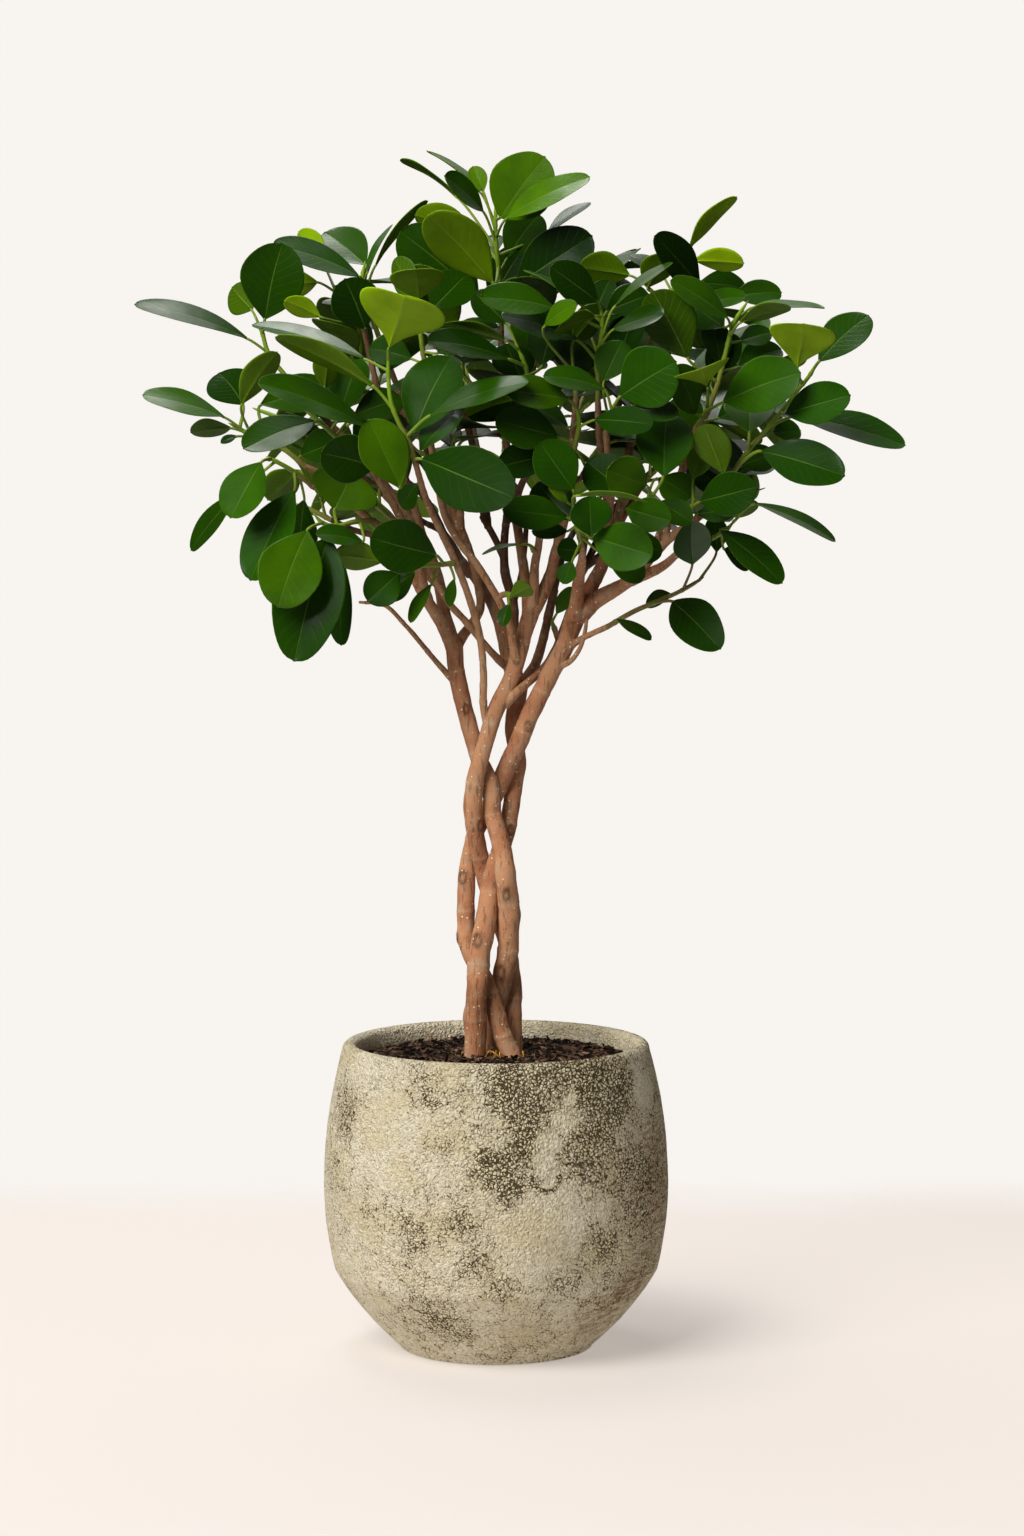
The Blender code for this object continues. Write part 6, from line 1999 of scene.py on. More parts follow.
def lathe(profile: Sequence[Pair], sides: int,
          rise: Callable[[Vector, Vector], float] | None = None) -> Shape:
    """Turn a profile about Z.

    Args:
        profile: Points of radius and height, of which the first and last are on the axis.
        sides: How many corners a ring has.
        rise: What the surface adds along its way out, from a place and that way.

    Returns:
        Vertices and faces.
    """
    vertices = [Vector((0, 0, profile[0][1]))]
    for before, (radius, height), after in zip(profile, profile[1:], profile[2:]):
        lean = Vector((after[1] - before[1], before[0] - after[0])).normalized()
        for corner in range(sides):
            angle = math.tau * corner / sides
            around = Vector((math.cos(angle), math.sin(angle), 0))
            place = around * radius + Vector((0, 0, height))
            out = around * lean.x + Vector((0, 0, lean.y))
            vertices.append(place + out * rise(place, out) if rise else place)
    vertices.append(Vector((0, 0, profile[-1][1])))
    rings = len(profile) - 2
    faces = ring_faces(1, sides, rings)
    last = 1 + (rings - 1) * sides
    for corner in range(sides):
        after = (corner + 1) % sides
        faces += [(0, 1 + after, 1 + corner), (last + corner, last + after, len(vertices) - 1)]
    return vertices, faces


def bend(start: Pair, pull: Pair, end: Pair, steps: int) -> list[Pair]:
    """Draw a curve.

    Args:
        start: Where the curve starts.
        pull: The point that it is drawn towards.
        end: Where it ends.
        steps: How many points it gets.

    Returns:
        The points, without the start.
    """
    points = []
    for step in range(1, steps + 1):
        t = step / steps
        points.append(tuple((1 - t) ** 2 * a + 2 * t * (1 - t) * b + t * t * c
                            for a, b, c in zip(start, pull, end)))
    return points


def hollow_profile(inset: float, steps: int) -> list[Pair]:
    """Outline the pot's inside from the lip's foot down to its floor.

    Args:
        inset: How far it is drawn in.
        steps: How many points its belly gets.

    Returns:
        Points of radius and height.
    """
    top = (LIP_RADIUS - LIP_THICKNESS - inset, SOIL_TOP - 1.5)
    shoulder = (SHOULDER_RADIUS - WALL - inset, SHOULDER_HEIGHT)
    pull = (BELLY_PULL[0] - WALL - 3.0 - inset, BELLY_PULL[1])
    floor = (FOOT_RADIUS - WALL + 4.0 - inset, FLOOR + inset)
    return [top] + bend(top, pull, shoulder, steps) + [floor, (0, FLOOR + inset)]


@dataclass
class Pot:
    """The glazed pot: foot, chamfered lower side, round belly, rounded lip and the hollow."""

    finish: bpy.types.Material
    sides: int = 240
    side_rings: int = 84
    low_rings: int = 26
    lip_rings: int = 11
    unevenness: float = 0.35  # of the wall's surface, over lumps of the next two sizes
    broad_lumps: float = 42.0
    small_lumps: float = 11.0
    highest: float = 0.3  # the most by which the surface stands off the true form
    rag: Pair = (9.0, 4.0)  # the size and reach of the raggedness of spots
    usual_thinness: Pair = (0.22, 0.0010)  # on the axis, and more per millimetre to the right
    inner_thickness: float = 0.5  # how much thicker the glaze lies inside the lip
    # Where the glaze lies thin, and so shows its dark body: x, y, height, reach and strength.
    thin_spots: tuple[Row, ...] = (
        (20, -114, 208, 36, 0.75), (20, -122, 174, 18, 0.6), (2, -124, 155, 28, 0.65),
        (12, -126, 137, 17, 0.55), (80, -88, 207, 40, 0.85), (72, -105, 165, 32, 0.5),
        (106, -74, 135, 44, 0.35), (-114, -52, 190, 34, 0.5), (-118, -50, 138, 26, 0.3),
        (-55, -104, 217, 22, 0.25), (-49, -110, 203, 10, 0.5), (-63, -108, 106, 24, 0.42),
        (-24, -124, 117, 20, 0.5), (-16, -122, 86, 19, 0.5), (-60, -98, 72, 30, 0.25),
        (8, -116, 70, 24, 0.15), (-40, -90, 44, 36, 0.6), (78, -100, 98, 24, 0.45),
        (48, -108, 72, 24, 0.1), (40, 120, 150, 60, 0.6), (-80, 100, 90, 50, 0.5),
        (125, 20, 90, 50, 0.5), (-60, 105, 200, 40, 0.6), (4, -104, 227, 26, 0.5),
        (52, -92, 228, 34, 0.65),
    )
    # Where it lies thick and smooth.
    thick_spots: tuple[Row, ...] = (
        (-76, -94, 175, 44, 0.5), (30, -122, 108, 40, 0.75), (52, -104, 206, 10, 1.0),
        (48, -112, 191, 11, 1.0), (39, -120, 175, 13, 0.8), (37, -122, 161, 10, 0.6),
        (-12, -124, 137, 13, 0.4), (-75, -84, 67, 14, 0.3), (112, -52, 205, 22, 0.8),
        (-98, -66, 222, 26, 0.4), (-58, -112, 124, 9, 0.4), (82, -98, 121, 16, 0.4),
        (14, -96, 44, 22, 0.35), (0, 126, 110, 50, 0.4), (100, 85, 170, 45, 0.4),
    )
    # Where brown slip was brushed over it.
    brushed_spots: tuple[Row, ...] = (
        (78, -68, 44, 42, 1.0), (104, -66, 140, 56, 0.5), (106, -62, 66, 36, 0.9),
        (128, -28, 128, 84, 1.0), (45, -110, 88, 34, 0.35), (20, -90, 36, 30, 0.35),
        (-110, -60, 196, 24, 0.4), (0, 110, 50, 60, 0.6),
    )
    # The drip with a dark edge: x, height and radius.
    drip: tuple[float, float, float] = (37.0, 149.0, 9.0)
    drip_edge: Pair = (1.1, 1.6)  # its strength and width
    drip_top: float = 3.0  # how far its edge runs up beside it

    def profile(self) -> list[Pair]:
        """Outline the pot from under its foot, over its lip, to its inner floor.

        Returns:
            Points of radius and height.
        """
        lip_round = LIP_THICKNESS / 2
        lip_height = POT_HEIGHT - lip_round
        shoulder = (SHOULDER_RADIUS, SHOULDER_HEIGHT)
        outside: list[Pair] = [(0, 0), (FOOT_RADIUS - 2.5, 0), (FOOT_RADIUS - 0.8, 0.6),
                               (FOOT_RADIUS, 2.0)]
        outside += bend((FOOT_RADIUS, 2.0), LOWER_PULL, shoulder, self.low_rings)
        outside += bend(shoulder, BELLY_PULL, (LIP_RADIUS, lip_height), self.side_rings)
        middle = LIP_RADIUS - lip_round
        turns = [math.pi * step / self.lip_rings for step in range(1, self.lip_rings)]
        lip = [(middle + lip_round * math.cos(a), lip_height + lip_round * math.sin(a))
               for a in turns]
        return outside + lip + hollow_profile(0.0, 12)

    def rise(self, place: Vector, out: Vector) -> float:
        """Give the surface its unevenness.

        Args:
            place: A place on the true form.
            out: The way out from there.

        Returns:
            How far the hand-made surface stands off it.
        """
        if place.z < 1.0 or place.z > POT_HEIGHT - 1.0 or math.hypot(place.x, place.y) < 60:
            return 0.0
        broad = noise.noise(place / self.broad_lumps)
        small = noise.noise(place / self.small_lumps)
        return min(self.highest, self.unevenness * (broad + 0.5 * small) - 0.1)

    def spotted(self, place: Vector, spots: Sequence[Row]) -> float:
        """Add up soft spots with ragged edges.

        Args:
            place: A place on the pot.
            spots: Spots as x, y, height, reach and strength.

        Returns:
            The sum of their strengths there.
        """
        size, ragging = self.rag
        ragged = place + noise.noise_vector(place / size) * ragging
        total = 0.0
        for x, y, z, reach, strength in spots:
            apart = (ragged - Vector((x, y, z))).length / reach
            total += strength * max(0.0, 1.0 - apart * apart) ** 1.5
        return total

    def thinness(self, place: Vector) -> float:
        """Find how thin the glaze lies.

        Args:
            place: A place on the pot.

        Returns:
            How thin it lies, about from 0 to 1.
        """
        middle, slope = self.usual_thinness
        thin = middle + slope * place.x
        thin += self.spotted(place, self.thin_spots) - self.spotted(place, self.thick_spots)
        x, z, radius = self.drip
        away = math.hypot(place.x - x, place.z - z)
        if place.y < 0 and place.z < z + self.drip_top:
            strength, width = self.drip_edge
            thin += strength * math.exp(-((away - radius) / width) ** 2)
        from_axis = math.hypot(place.x, place.y)
        if place.z > SOIL_TOP - 20 and from_axis < LIP_RADIUS - 0.7 * LIP_THICKNESS:
            thin -= self.inner_thickness
        return thin

    def make(self) -> bpy.types.Object:
        """Build and dress the pot.

        Returns:
            The pot.
        """
        batch = Batch()
        shape = lathe(self.profile(), self.sides, self.rise)
        batch.add(shape, thin=[self.thinness(place) for place in shape[0]],
                  brushed=[self.spotted(place, self.brushed_spots) for place in shape[0]])
        piece = batch.make("glazed_pot", [self.finish])
        settle(piece, "pot")
        return piece


@dataclass
class Soil:
    """The filled hollow: a crumbly surface, loose bits and fibres, and straws at the stems."""

    finish: bpy.types.Material
    straw: bpy.types.Material
    feet: dict[str, tuple[Vector, float]]
    sides: int = 200
    rings: int = 52
    crumbs: int = 1200
    crumb_sizes: tuple[Pair, Pair, Pair] = ((2.0, 6.5), (0.9, 2.2), (0.6, 1.5))
    fibres: int = 420
    fibre_lengths: Pair = (6.0, 20.0)
    fibre_radii: Pair = (0.25, 0.6)
    fibre_arches: Pair = (0.6, 2.6)
    # The straws between the stems: x, y, heading in degrees and length.
    straws: tuple[Row, ...] = (
        (-5, -13, 24, 10), (-2, -15, -30, 11), (0, -12, 62, 9), (3, -14, 100, 10), (20, -12, 70, 8),
        (-24, -8, 150, 8),
    )
    straw_radius: float = 0.7
    straw_arch: float = 4.0
    sunk: float = 12.0  # how far the soil is lowered under the stems
    lumps: tuple[Pair, Pair] = ((3.1, 1.5), (8.0, 1.3))  # their sizes and heights
    lump_drop: float = 0.6
    broad_wave: tuple[float, float, float] = (1.1, 0.13, 0.11)  # height, and radians per unit
    small_wave: tuple[float, float, float] = (0.5, 0.31, 0.23)
    lump_edge: float = 4.0  # how far from the pot's wall they start to flatten
    plug_tint: float = 0.35
    crumb_lifts: Pair = (-0.4, 1.3)
    crumb_scales: tuple[float, ...] = (0.6, 0.8, 1.0)
    crumb_tints: tuple[float, ...] = (0.0, 0.0, 0.0, 0.3, 1.0)
    crumb_margin: float = 5.0  # from the pot's wall
    crumb_room: float = 3.5  # from the stems
    fibre_margin: float = 6.0  # beyond that of the crumbs
    fibre_room: float = 9.0
    fibre_tints: Pair = (0.2, 1.0)
    strand_steps: int = 6
    strand_sides: int = 4
    strand_bend: float = 0.5  # in radians
    strand_drop: float = 0.4

    def level(self, x: float, y: float) -> float:
        """Find the height of the gently mounded surface.

        Args:
            x: The place's x.
            y: The place's y.

        Returns:
            Its height.
        """
        mound = SOIL_MOUND * (1 - (math.hypot(x, y) / (LIP_RADIUS - LIP_THICKNESS)) ** 2)
        (broad, across, away), (small, aslant, back) = self.broad_wave, self.small_wave
        return (SOIL_TOP + mound + broad * math.sin(across * x + 1.0) * math.cos(away * y)
                + small * math.sin(aslant * x - back * y))

    def clear(self, x: float, y: float, room: float) -> bool:
        """Whether a place is clear of the stems' feet."""
        return all(math.hypot(x - foot.x, y - foot.y) > radius + room
                   for foot, radius in self.feet.values())

    def surface(self) -> Shape:
        """Make the plug of soil, rough above and sunk where the stems stand.

        Returns:
            Its vertices and faces.
        """
        low = list(reversed(hollow_profile(GAP, 10)))
        edge = low[-1][0]
        top = [(edge * (1 - (ring / self.rings) ** 1.1), SOIL_TOP) for ring in range(1, self.rings)]
        vertices, faces = lathe(low + top + [(0, SOIL_TOP)], self.sides)
        for vertex in vertices:
            if vertex.z < SOIL_TOP - 0.01:
                continue
            rough = sum(noise.noise(vertex / size) * height for size, height in self.lumps)
            rough *= min(1.0, (edge - math.hypot(vertex.x, vertex.y)) / self.lump_edge)
            vertex.z = self.level(vertex.x, vertex.y) + rough - self.lump_drop
            if not self.clear(vertex.x, vertex.y, -0.5):
                vertex.z = SOIL_TOP - self.sunk
        return vertices, faces

    @staticmethod
    def crumb(place: Vector, size: Vector, draw: random.Random) -> Shape:
        """Make an angular bit of bark or peat.

        Args:
            place: Its middle.
            size: Half of its length, width and height.
            draw: Where chance comes from.

        Returns:
            Its vertices and faces.
        """
        work = bmesh.new()
        bmesh.ops.create_icosphere(work, subdivisions=1, radius=1.0)
        turn = Vector((draw.uniform(-1, 1), draw.uniform(-1, 1), draw.uniform(-0.3, 0.3)))
        turn.normalize()
        other = turn.orthogonal().normalized()
        third = turn.cross(other)
        vertices = []
        for vertex in work.verts:
            way = vertex.co * draw.uniform(0.7, 1.15)
            vertices.append(place + turn * way.x * size.x + other * way.y * size.y
                            + third * way.z * size.z)
        faces = [tuple(corner.index for corner in face.verts) for face in work.faces]
        work.free()
        return vertices, faces

    def strand(self, x: float, y: float, heading: float, length: float, radius: float,
               arch: float) -> Shape:
        """Make a bent fibre that lies on the surface.

        Args:
            x: Its middle's x.
            y: Its middle's y.
            heading: Which way it lies, in radians.
            length: Its length.
            radius: Its greatest radius.
            arch: How far its middle stands up.

        Returns:
            Its vertices and faces.
        """
        points = []
        for step in range(self.strand_steps + 1):
            share = step / self.strand_steps
            angle = heading + self.strand_bend * math.sin(3.0 * share + x)
            px = x + math.cos(angle) * length * (share - 0.5)
            py = y + math.sin(angle) * length * (share - 0.5)
            lift = arch * math.sin(math.pi * share) - self.strand_drop
            points.append(Vector((px, py, self.level(px, py) + lift)))
        middle = self.strand_steps / 2
        radii = [radius * (1.0 - 0.5 * abs(step / middle - 1)) for step in range(len(points))]
        return tube(points, radii, self.strand_sides)

    @staticmethod
    def spot(reach: float, draw: random.Random) -> Pair:
        """A random place within reach of the pot's axis."""
        radius, angle = reach * math.sqrt(draw.random()), draw.uniform(0, math.tau)
        return radius * math.cos(angle), radius * math.sin(angle)

    def make(self) -> bpy.types.Object:
        """Build and dress the soil.

        Returns:
            The soil.
        """
        draw = random.Random(SOIL_SEED)
        batch = Batch()
        batch.add(self.surface(), tint=self.plug_tint)
        reach = LIP_RADIUS - LIP_THICKNESS - self.crumb_margin
        for _ in range(self.crumbs):
            x, y = self.spot(reach, draw)
            size = Vector([draw.uniform(*limits) for limits in self.crumb_sizes])
            place = Vector((x, y, self.level(x, y) + draw.uniform(*self.crumb_lifts)))
            shape = self.crumb(place, size * draw.choice(self.crumb_scales), draw)
            if self.clear(x, y, self.crumb_room):
                batch.add(shape, tint=draw.choice(self.crumb_tints))
        for _ in range(self.fibres):
            x, y = self.spot(reach - self.fibre_margin, draw)
            fibre = self.strand(x, y, draw.uniform(0, math.pi), draw.uniform(*self.fibre_lengths),
                                draw.uniform(*self.fibre_radii), draw.uniform(*self.fibre_arches))
            if self.clear(x, y, self.fibre_room):
                batch.add(fibre, tint=draw.uniform(*self.fibre_tints))
        for x, y, degrees, length in self.straws:
            straw = self.strand(x, y, math.radians(degrees), length, self.straw_radius,
                                self.straw_arch)
            batch.add(straw, 1, tint=0.0)
        piece = batch.make("potting_mix", [self.finish, self.straw], smooth=False)
        settle(piece, "soil")
        return piece


@dataclass
class Stem:
    """A woody stem with all its branches, as one body of bark."""

    name: str
    lines: list[WoodLine]
    finish: bpy.types.Material
    stem_step: float = 1.7
    branch_step: float = 2.6
    stem_sides: int = 26
    branch_sides: int = 14
    stem_scars: Pair = (0.2, 0.4)
    branch_scars: Pair = (0.1, 0.28)
    scar_spacing: Pair = (10.0, 24.0)
    scar_width: float = 1.3
    lumps: Pair = (9.0, 0.07)  # their size, and their rise as a share of the radius
    grain: Pair = (2.6, 0.14)  # its size and its rise
    twig_radii: Pair = (1.8, 4.2)  # under the first all is twig, over the second none is
    knot_squash: Pair = (1.4, 0.75)  # how much narrower and lower than round a knot is
    knot_facing: float = 0.35  # how far its side may be turned away from the front
    knot_swelling: float = 1.3
    knot_pit: Pair = (1.5, 2.2)  # its depth, and how many times smaller it is than the knot
    knot_rim: Pair = (0.7, 0.35)  # the dark rim's radius and width, over the knot's
    # Painted shade of the bark, kept as its inner mark: growing behind, higher up and inside the
    # crown
    painted_shade_behind: Pair = (-5.0, 60.0)  # from this depth on, and over how much it grows
    painted_shade_above: Pair = (440.0, 90.0)  # from this height on, in the same way
    crown_painted_shade: float = 0.7
    steepest: float = 0.35  # the most that is added to the radius, as a share of it

    def rings_of(self, length: float, trunk: bool, heights: dict[float, float],
                 draw: random.Random) -> list[Pair]:
        """Choose the ring scars of a line.

        Args:
            length: The line's length.
            trunk: Whether it is the stem itself.
            heights: The line's height at each distance along it.
            draw: Where chance comes from.

        Returns:
            The distance along the line and the height of each scar.
        """
        if trunk:
            wanted = RINGS[self.name]
            near = [min(heights, key=lambda place: abs(heights[place] - level)) for level in wanted]
            return [(place, draw.uniform(*self.stem_scars)) for place in near]
        found, place = [], draw.uniform(5, 14)
        while place < length - 3:
            found.append((place, draw.uniform(*self.branch_scars)))
            place += draw.uniform(*self.scar_spacing)
        return found

    def grow(self, line: WoodLine, trunk: bool, draw: random.Random) -> tuple[Shape, list[Row]]:
        """Make one line's bark.

        Args:
            line: Its middle line and radii.
            trunk: Whether it is the stem itself.
            draw: Where chance comes from.

        Returns:
            Its vertices and faces, and for each vertex how far it is ring, knot, twig and in
            painted shade.
        """
        centres, radii = smooth_line(line.centres, line.radii,
                                     self.stem_step if trunk else self.branch_step)
        rounded_end(centres, radii)
        away = distances(centres)
        heights = {place: centre.z for place, centre in zip(away, centres)}
        rings = self.rings_of(away[-1], trunk, heights, draw)
        knots = KNOTS[self.name] if trunk else []
        marks: list[Row] = []
        (narrow, low), (deep, smaller), (rim, rim_width) = (self.knot_squash, self.knot_pit,
                                                            self.knot_rim)
        (back, further), (high_up, higher) = self.painted_shade_behind, self.painted_shade_above

        def rise(index: int, place: Vector, out: Vector) -> float:
            """Add scars, knots and lumps to the radius, and note them in marks.

            Args:
                index: The ring's number.
                place: A place on it.
                out: The way out from there.

            Returns:
                How much is added.
            """
            radius = radii[index]
            scar = max((high * math.exp(-((away[index] - at) / self.scar_width) ** 2)
                        for at, high in rings), default=0.0)
            lift, pit = 0.0, 0.0
            for x, z, size in knots:
                seen_x, seen_z = shown(place)
                apart = math.hypot(narrow * (seen_x - x), low * (seen_z - z)) / size
                if out.y < self.knot_facing and apart < 3:
                    lift += self.knot_swelling * math.exp(-apart ** 2)
                    lift -= deep * math.exp(-(apart * smaller) ** 2)
                    pit = max(pit, math.exp(-((apart - rim) / rim_width) ** 2))
            (broad, share), (fine, depth) = self.lumps, self.grain
            lumps = share * radius * noise.noise(place / broad) + depth * noise.noise(place / fine)
            # painted shade: deeper behind and high up, and inside the crown
            behind = clamped((place.y - back) / further) * clamped((place.z - high_up) / higher)
            inner = max(behind, self.crown_painted_shade * inwardness(place))
            slim, thick = self.twig_radii
            twig = clamped((thick - radius) / (thick - slim))
            marks.append((min(1.0, scar * 2.0), pit, twig, inner))
            return min(lumps + scar + lift, self.steepest * radius)

        shape = tube(centres, radii, self.stem_sides if trunk else self.branch_sides,
                     line.flatten, ends=line.ends, rise=rise)
        return shape, marks

    def join(self, shapes: Sequence[Shape]) -> bpy.types.Object:
        """Fuse the stem and its branches into one closed body by a Boolean union.

        Args:
            shapes: The bark of each line.

        Returns:
            The joined object.
        """
        parts = []
        for index, shape in enumerate(shapes):
            batch = Batch()
            batch.add(shape)
            parts.append(batch.make(f"{self.name}_{index}", []))
        host, *others = parts
        joined = bpy.data.collections.new(self.name + "_joined")
        bpy.context.scene.collection.children.link(joined)
        for other in others:
            bpy.context.scene.collection.objects.unlink(other)
            joined.objects.link(other)
        union = host.modifiers.new("union", "BOOLEAN")
        union.operation = "UNION"
        union.operand_type = "COLLECTION"
        union.collection = joined
        union.solver = "MANIFOLD"
        bpy.context.view_layer.update()
        graph = bpy.context.evaluated_depsgraph_get()
        result = bpy.data.meshes.new_from_object(host.evaluated_get(graph))
        host.modifiers.clear()
        host.data = result
        for other in others:
            bpy.data.objects.remove(other)
        bpy.data.collections.remove(joined)
        return host

    def make(self, draw: random.Random) -> bpy.types.Object:
        """Build and dress the stem.

        Args:
            draw: Where chance comes from.

        Returns:
            The stem.
        """
        grown = [self.grow(line, index == 0, draw) for index, line in enumerate(self.lines)]
        piece = self.join([shape for shape, _ in grown])
        piece.name = "woody_" + self.name
        marks = [mark for _, some in grown for mark in some]
        places = [place for (vertices, _), _ in grown for place in vertices]
        tree = kdtree.KDTree(len(places))
        for index, place in enumerate(places):
            tree.insert(place * MM, index)
        tree.balance()
        mesh = piece.data
        nearest = [tree.find(vertex.co)[1] for vertex in mesh.vertices]
        for column, label in enumerate(BARK_MARKS):
            layer = mesh.attributes.new(label, "FLOAT", "POINT")
            layer.data.foreach_set("value", [marks[index][column] for index in nearest])
        mesh.polygons.foreach_set("use_smooth", [True] * len(mesh.polygons))
        mesh.materials.clear()
        mesh.materials.append(self.finish)
        settle(piece, self.name)
        return piece


class Skin(Enum):
    """The finishes of a shoot, by their slot."""

    UPPER = 0
    UNDER = 1
    STALK = 2


@dataclass
class Foliage:
    """A green shoot with its leaf stalks and blades."""

    upper: bpy.types.Material
    under: bpy.types.Material
    green: bpy.types.Material
    columns: tuple[float, ...] = (-1.0, -0.95, -0.8, -0.5, -0.2, -0.05, 0.0, 0.05, 0.2, 0.5, 0.8,
                                  0.95, 1.0)
    rings: int = 20
    thickness: float = 0.55
    folds: Pair = (0.06, 0.17)  # rise of a blade's edges, as a share of its half width
    fold_curve: Pair = (1.4, 0.45)  # how it grows outwards, and how low it starts
    ripple: Pair = (9.0, 1.3)  # radians of the edges' waves, and how far one edge leads
    waves: Pair = (0.25, 0.85)  # of the edges of a blade 40 mm wide
    curls: Pair = (-0.015, 0.03)  # of the tip downwards, as a share of the length
    skews: Pair = (-0.05, 0.05)
    groove: Pair = (0.06, 0.28)  # over the midrib: its share of the half width, and its depth
    groove_fading: float = 0.6
    rib: Pair = (0.05, 0.85)  # the midrib below, in the same way
    rib_fading: float = 1.1
    rim: float = 0.05  # the share of the half width over which the blade thins to its edge
    lift: float = 0.3  # from the plain form's middle
    tip: float = 0.8  # how far the point runs beyond it
    axis_step: float = 2.2
    axis_sides: int = 10
    bud_length: float = 9.0
    bud_slimness: Pair = (0.12, 0.6)  # the least share of the radius, and how soon it thins
    node_swelling: float = 0.3
    stalk_rings: int = 8
    stalk_sides: int = 8
    stalk_scales: Pair = (1.15, 0.95)  # its radius for a large and for a small leaf
    stalk_entry: float = 1.6  # how far it runs on under the blade
    stalk_foot: float = 0.35  # how much thicker it starts
    stalk_thinning: float = 0.25
    ages: Pair = (-0.08, 0.12)  # what chance adds to a leaf's age
    darkest: float = 1.15
    # painted shade of leaves that lie inside the crown
    crown_painted_shade: float = 0.6
    stalk_age: float = 0.8
    brown_age: float = 0.1

    def blade(self, leaf: Leaf, draw: random.Random) -> tuple[Shape, list[int], list[Pair]]:
        """Make a blade with its fold, its waved edges and its midrib.

        Args:
            leaf: Where it lies.
            draw: Where chance comes from.

        Returns:
            Its vertices and faces, the finish of each face, and each vertex's place on the map.
        """
        fold = draw.uniform(*self.folds)
        wave = draw.uniform(*self.waves) * leaf.width / 40
        phase, curl = draw.uniform(0, math.tau), draw.uniform(*self.curls)
        skew = draw.uniform(*self.skews)
        vertices: list[Vector] = []
        places: list[Pair] = []
        columns = self.columns
        (groove, depth), (rib, drop) = self.groove, self.rib
        (power, start), (turns, lead) = self.fold_curve, self.ripple
        for ring in range(self.rings):
            t = 0.5 - 0.5 * math.cos(math.pi * (ring + 0.35) / (self.rings - 0.35))
            half = leaf.half_width(t)
            middle = leaf.middle(t) - leaf.normal * curl * leaf.length * t ** 3
            middle += leaf.across * skew * half * math.sin(math.pi * t)
            hang = drop * (1 - t) ** self.rib_fading + 0.1

            def point(s: float, lower: bool) -> Vector:
                """Find a point of the section.

                Args:
                    s: Its share of the half width, from -1 to 1.
                    lower: Whether it lies on the underside.

                Returns:
                    The point.
                """
                edge = abs(s)
                level = fold * half * (edge ** power - start)
                level += wave * math.sin(turns * t + phase + (lead if s > 0 else 0.0)) * edge ** 3
                level -= depth * math.exp(-(s / groove) ** 2) * (1 - self.groove_fading * t)
                if lower:
                    level -= self.thickness * min(1.0, (1 - edge) / self.rim)
                    level -= hang * math.exp(-(s / rib) ** 2)
                return middle + leaf.across * s * half + leaf.normal * (level + self.lift)

            vertices += [point(s, False) for s in columns]
            vertices += [point(s, True) for s in reversed(columns[1:-1])]
            places += [(0.5 + 0.5 * s, t) for s in (*columns, *reversed(columns[1:-1]))]
        size = 2 * len(columns) - 2
        last = (self.rings - 1) * size
        vertices.append(leaf.tip - leaf.normal * curl * leaf.length + leaf.along * self.tip)
        places.append((0.5, 1.0))
        faces: Faces = [tuple(reversed(range(size)))] + ring_faces(0, size, self.rings)
        faces += [(last + c, last + (c + 1) % size, last + size) for c in range(size)]
        top = len(columns) - 1
        round_slots = [Skin.UPPER.value] * top + [Skin.UNDER.value] * (size - top)
        return (vertices, faces), [Skin.UNDER.value] + round_slots * self.rings, places

    def stalk(self, leaf: Leaf) -> Shape:
        """Make a leaf's stalk, curved from the axis into the blade's midrib.

        Args:
            leaf: The leaf.

        Returns:
            Its vertices and faces.
        """
        reach = (leaf.base - leaf.root).length
        start, end = leaf.root, leaf.base + leaf.along * self.stalk_entry
        out = (leaf.base - leaf.root).normalized()
        centres, radii = [], []
        large, small = self.stalk_scales
        size = STALK_RADIUS * (large if leaf.width > SMALL_WIDTH else small)
        for ring in range(self.stalk_rings + 1):
            u = ring / self.stalk_rings
            centres.append(bridge(start, out * reach, end, leaf.along * reach * 0.7, u)
                           - leaf.normal * 0.3 * u)
            radii.append(size * (1.0 + self.stalk_foot * (1 - u) ** 3
                                 - self.stalk_thinning * max(0.0, u - 0.8)))
        return tube(centres, radii, self.stalk_sides)

    def axis(self, points: list[Vector], roots: Sequence[Vector]) -> tuple[Shape, list[float]]:
        """Make the green axis, ringed at each leaf and closed by a pointed bud.

        Args:
            points: Its middle line.
            roots: Where leaves grow from it.

        Returns:
            Its vertices and faces, and how young each vertex is.
        """
        plain = axis_radii(len(points))
        heading = (points[1] - points[0]).normalized()
        centres, radii = smooth_line([points[0] - heading * 1.2, *points], [plain[0] + 0.2, *plain],
                                     self.axis_step)
        away = distances(centres)
        places = [min(range(len(centres)), key=lambda i, r=root: (centres[i] - r).length)
                  for root in roots]
        slimmest, thinning = self.bud_slimness
        for index, left in enumerate(away[-1] - distance for distance in away):
            if left < self.bud_length:
                radii[index] *= max(slimmest, (left / self.bud_length) ** thinning)
        for place in places:
            radii[place] += self.node_swelling
        young = [min(1.0, distance / (0.6 * away[-1])) for distance in away[:-1]
                 for _ in range(self.axis_sides)] + [1.0]
        return tube(centres, radii, self.axis_sides, pointed=True), young

    def make(self, name: str, points: list[Vector], leaves: list[Leaf],
             draw: random.Random) -> bpy.types.Object:
        """Build and dress one shoot.

        Args:
            name: The shoot's name.
            points: The middle line of its axis.
            leaves: Its leaves.
            draw: Where chance comes from.

        Returns:
            The shoot's object.
        """
        batch = Batch()
        axis, young = self.axis(points, [leaf.root for leaf in leaves])
        brown = self.brown_age if name in BROWN_SHOOTS else 1.0
        batch.add(axis, Skin.STALK.value, age=[value * brown for value in young], shade=0.0)
        for leaf in leaves:
            age = leaf.age.value + draw.uniform(*self.ages)
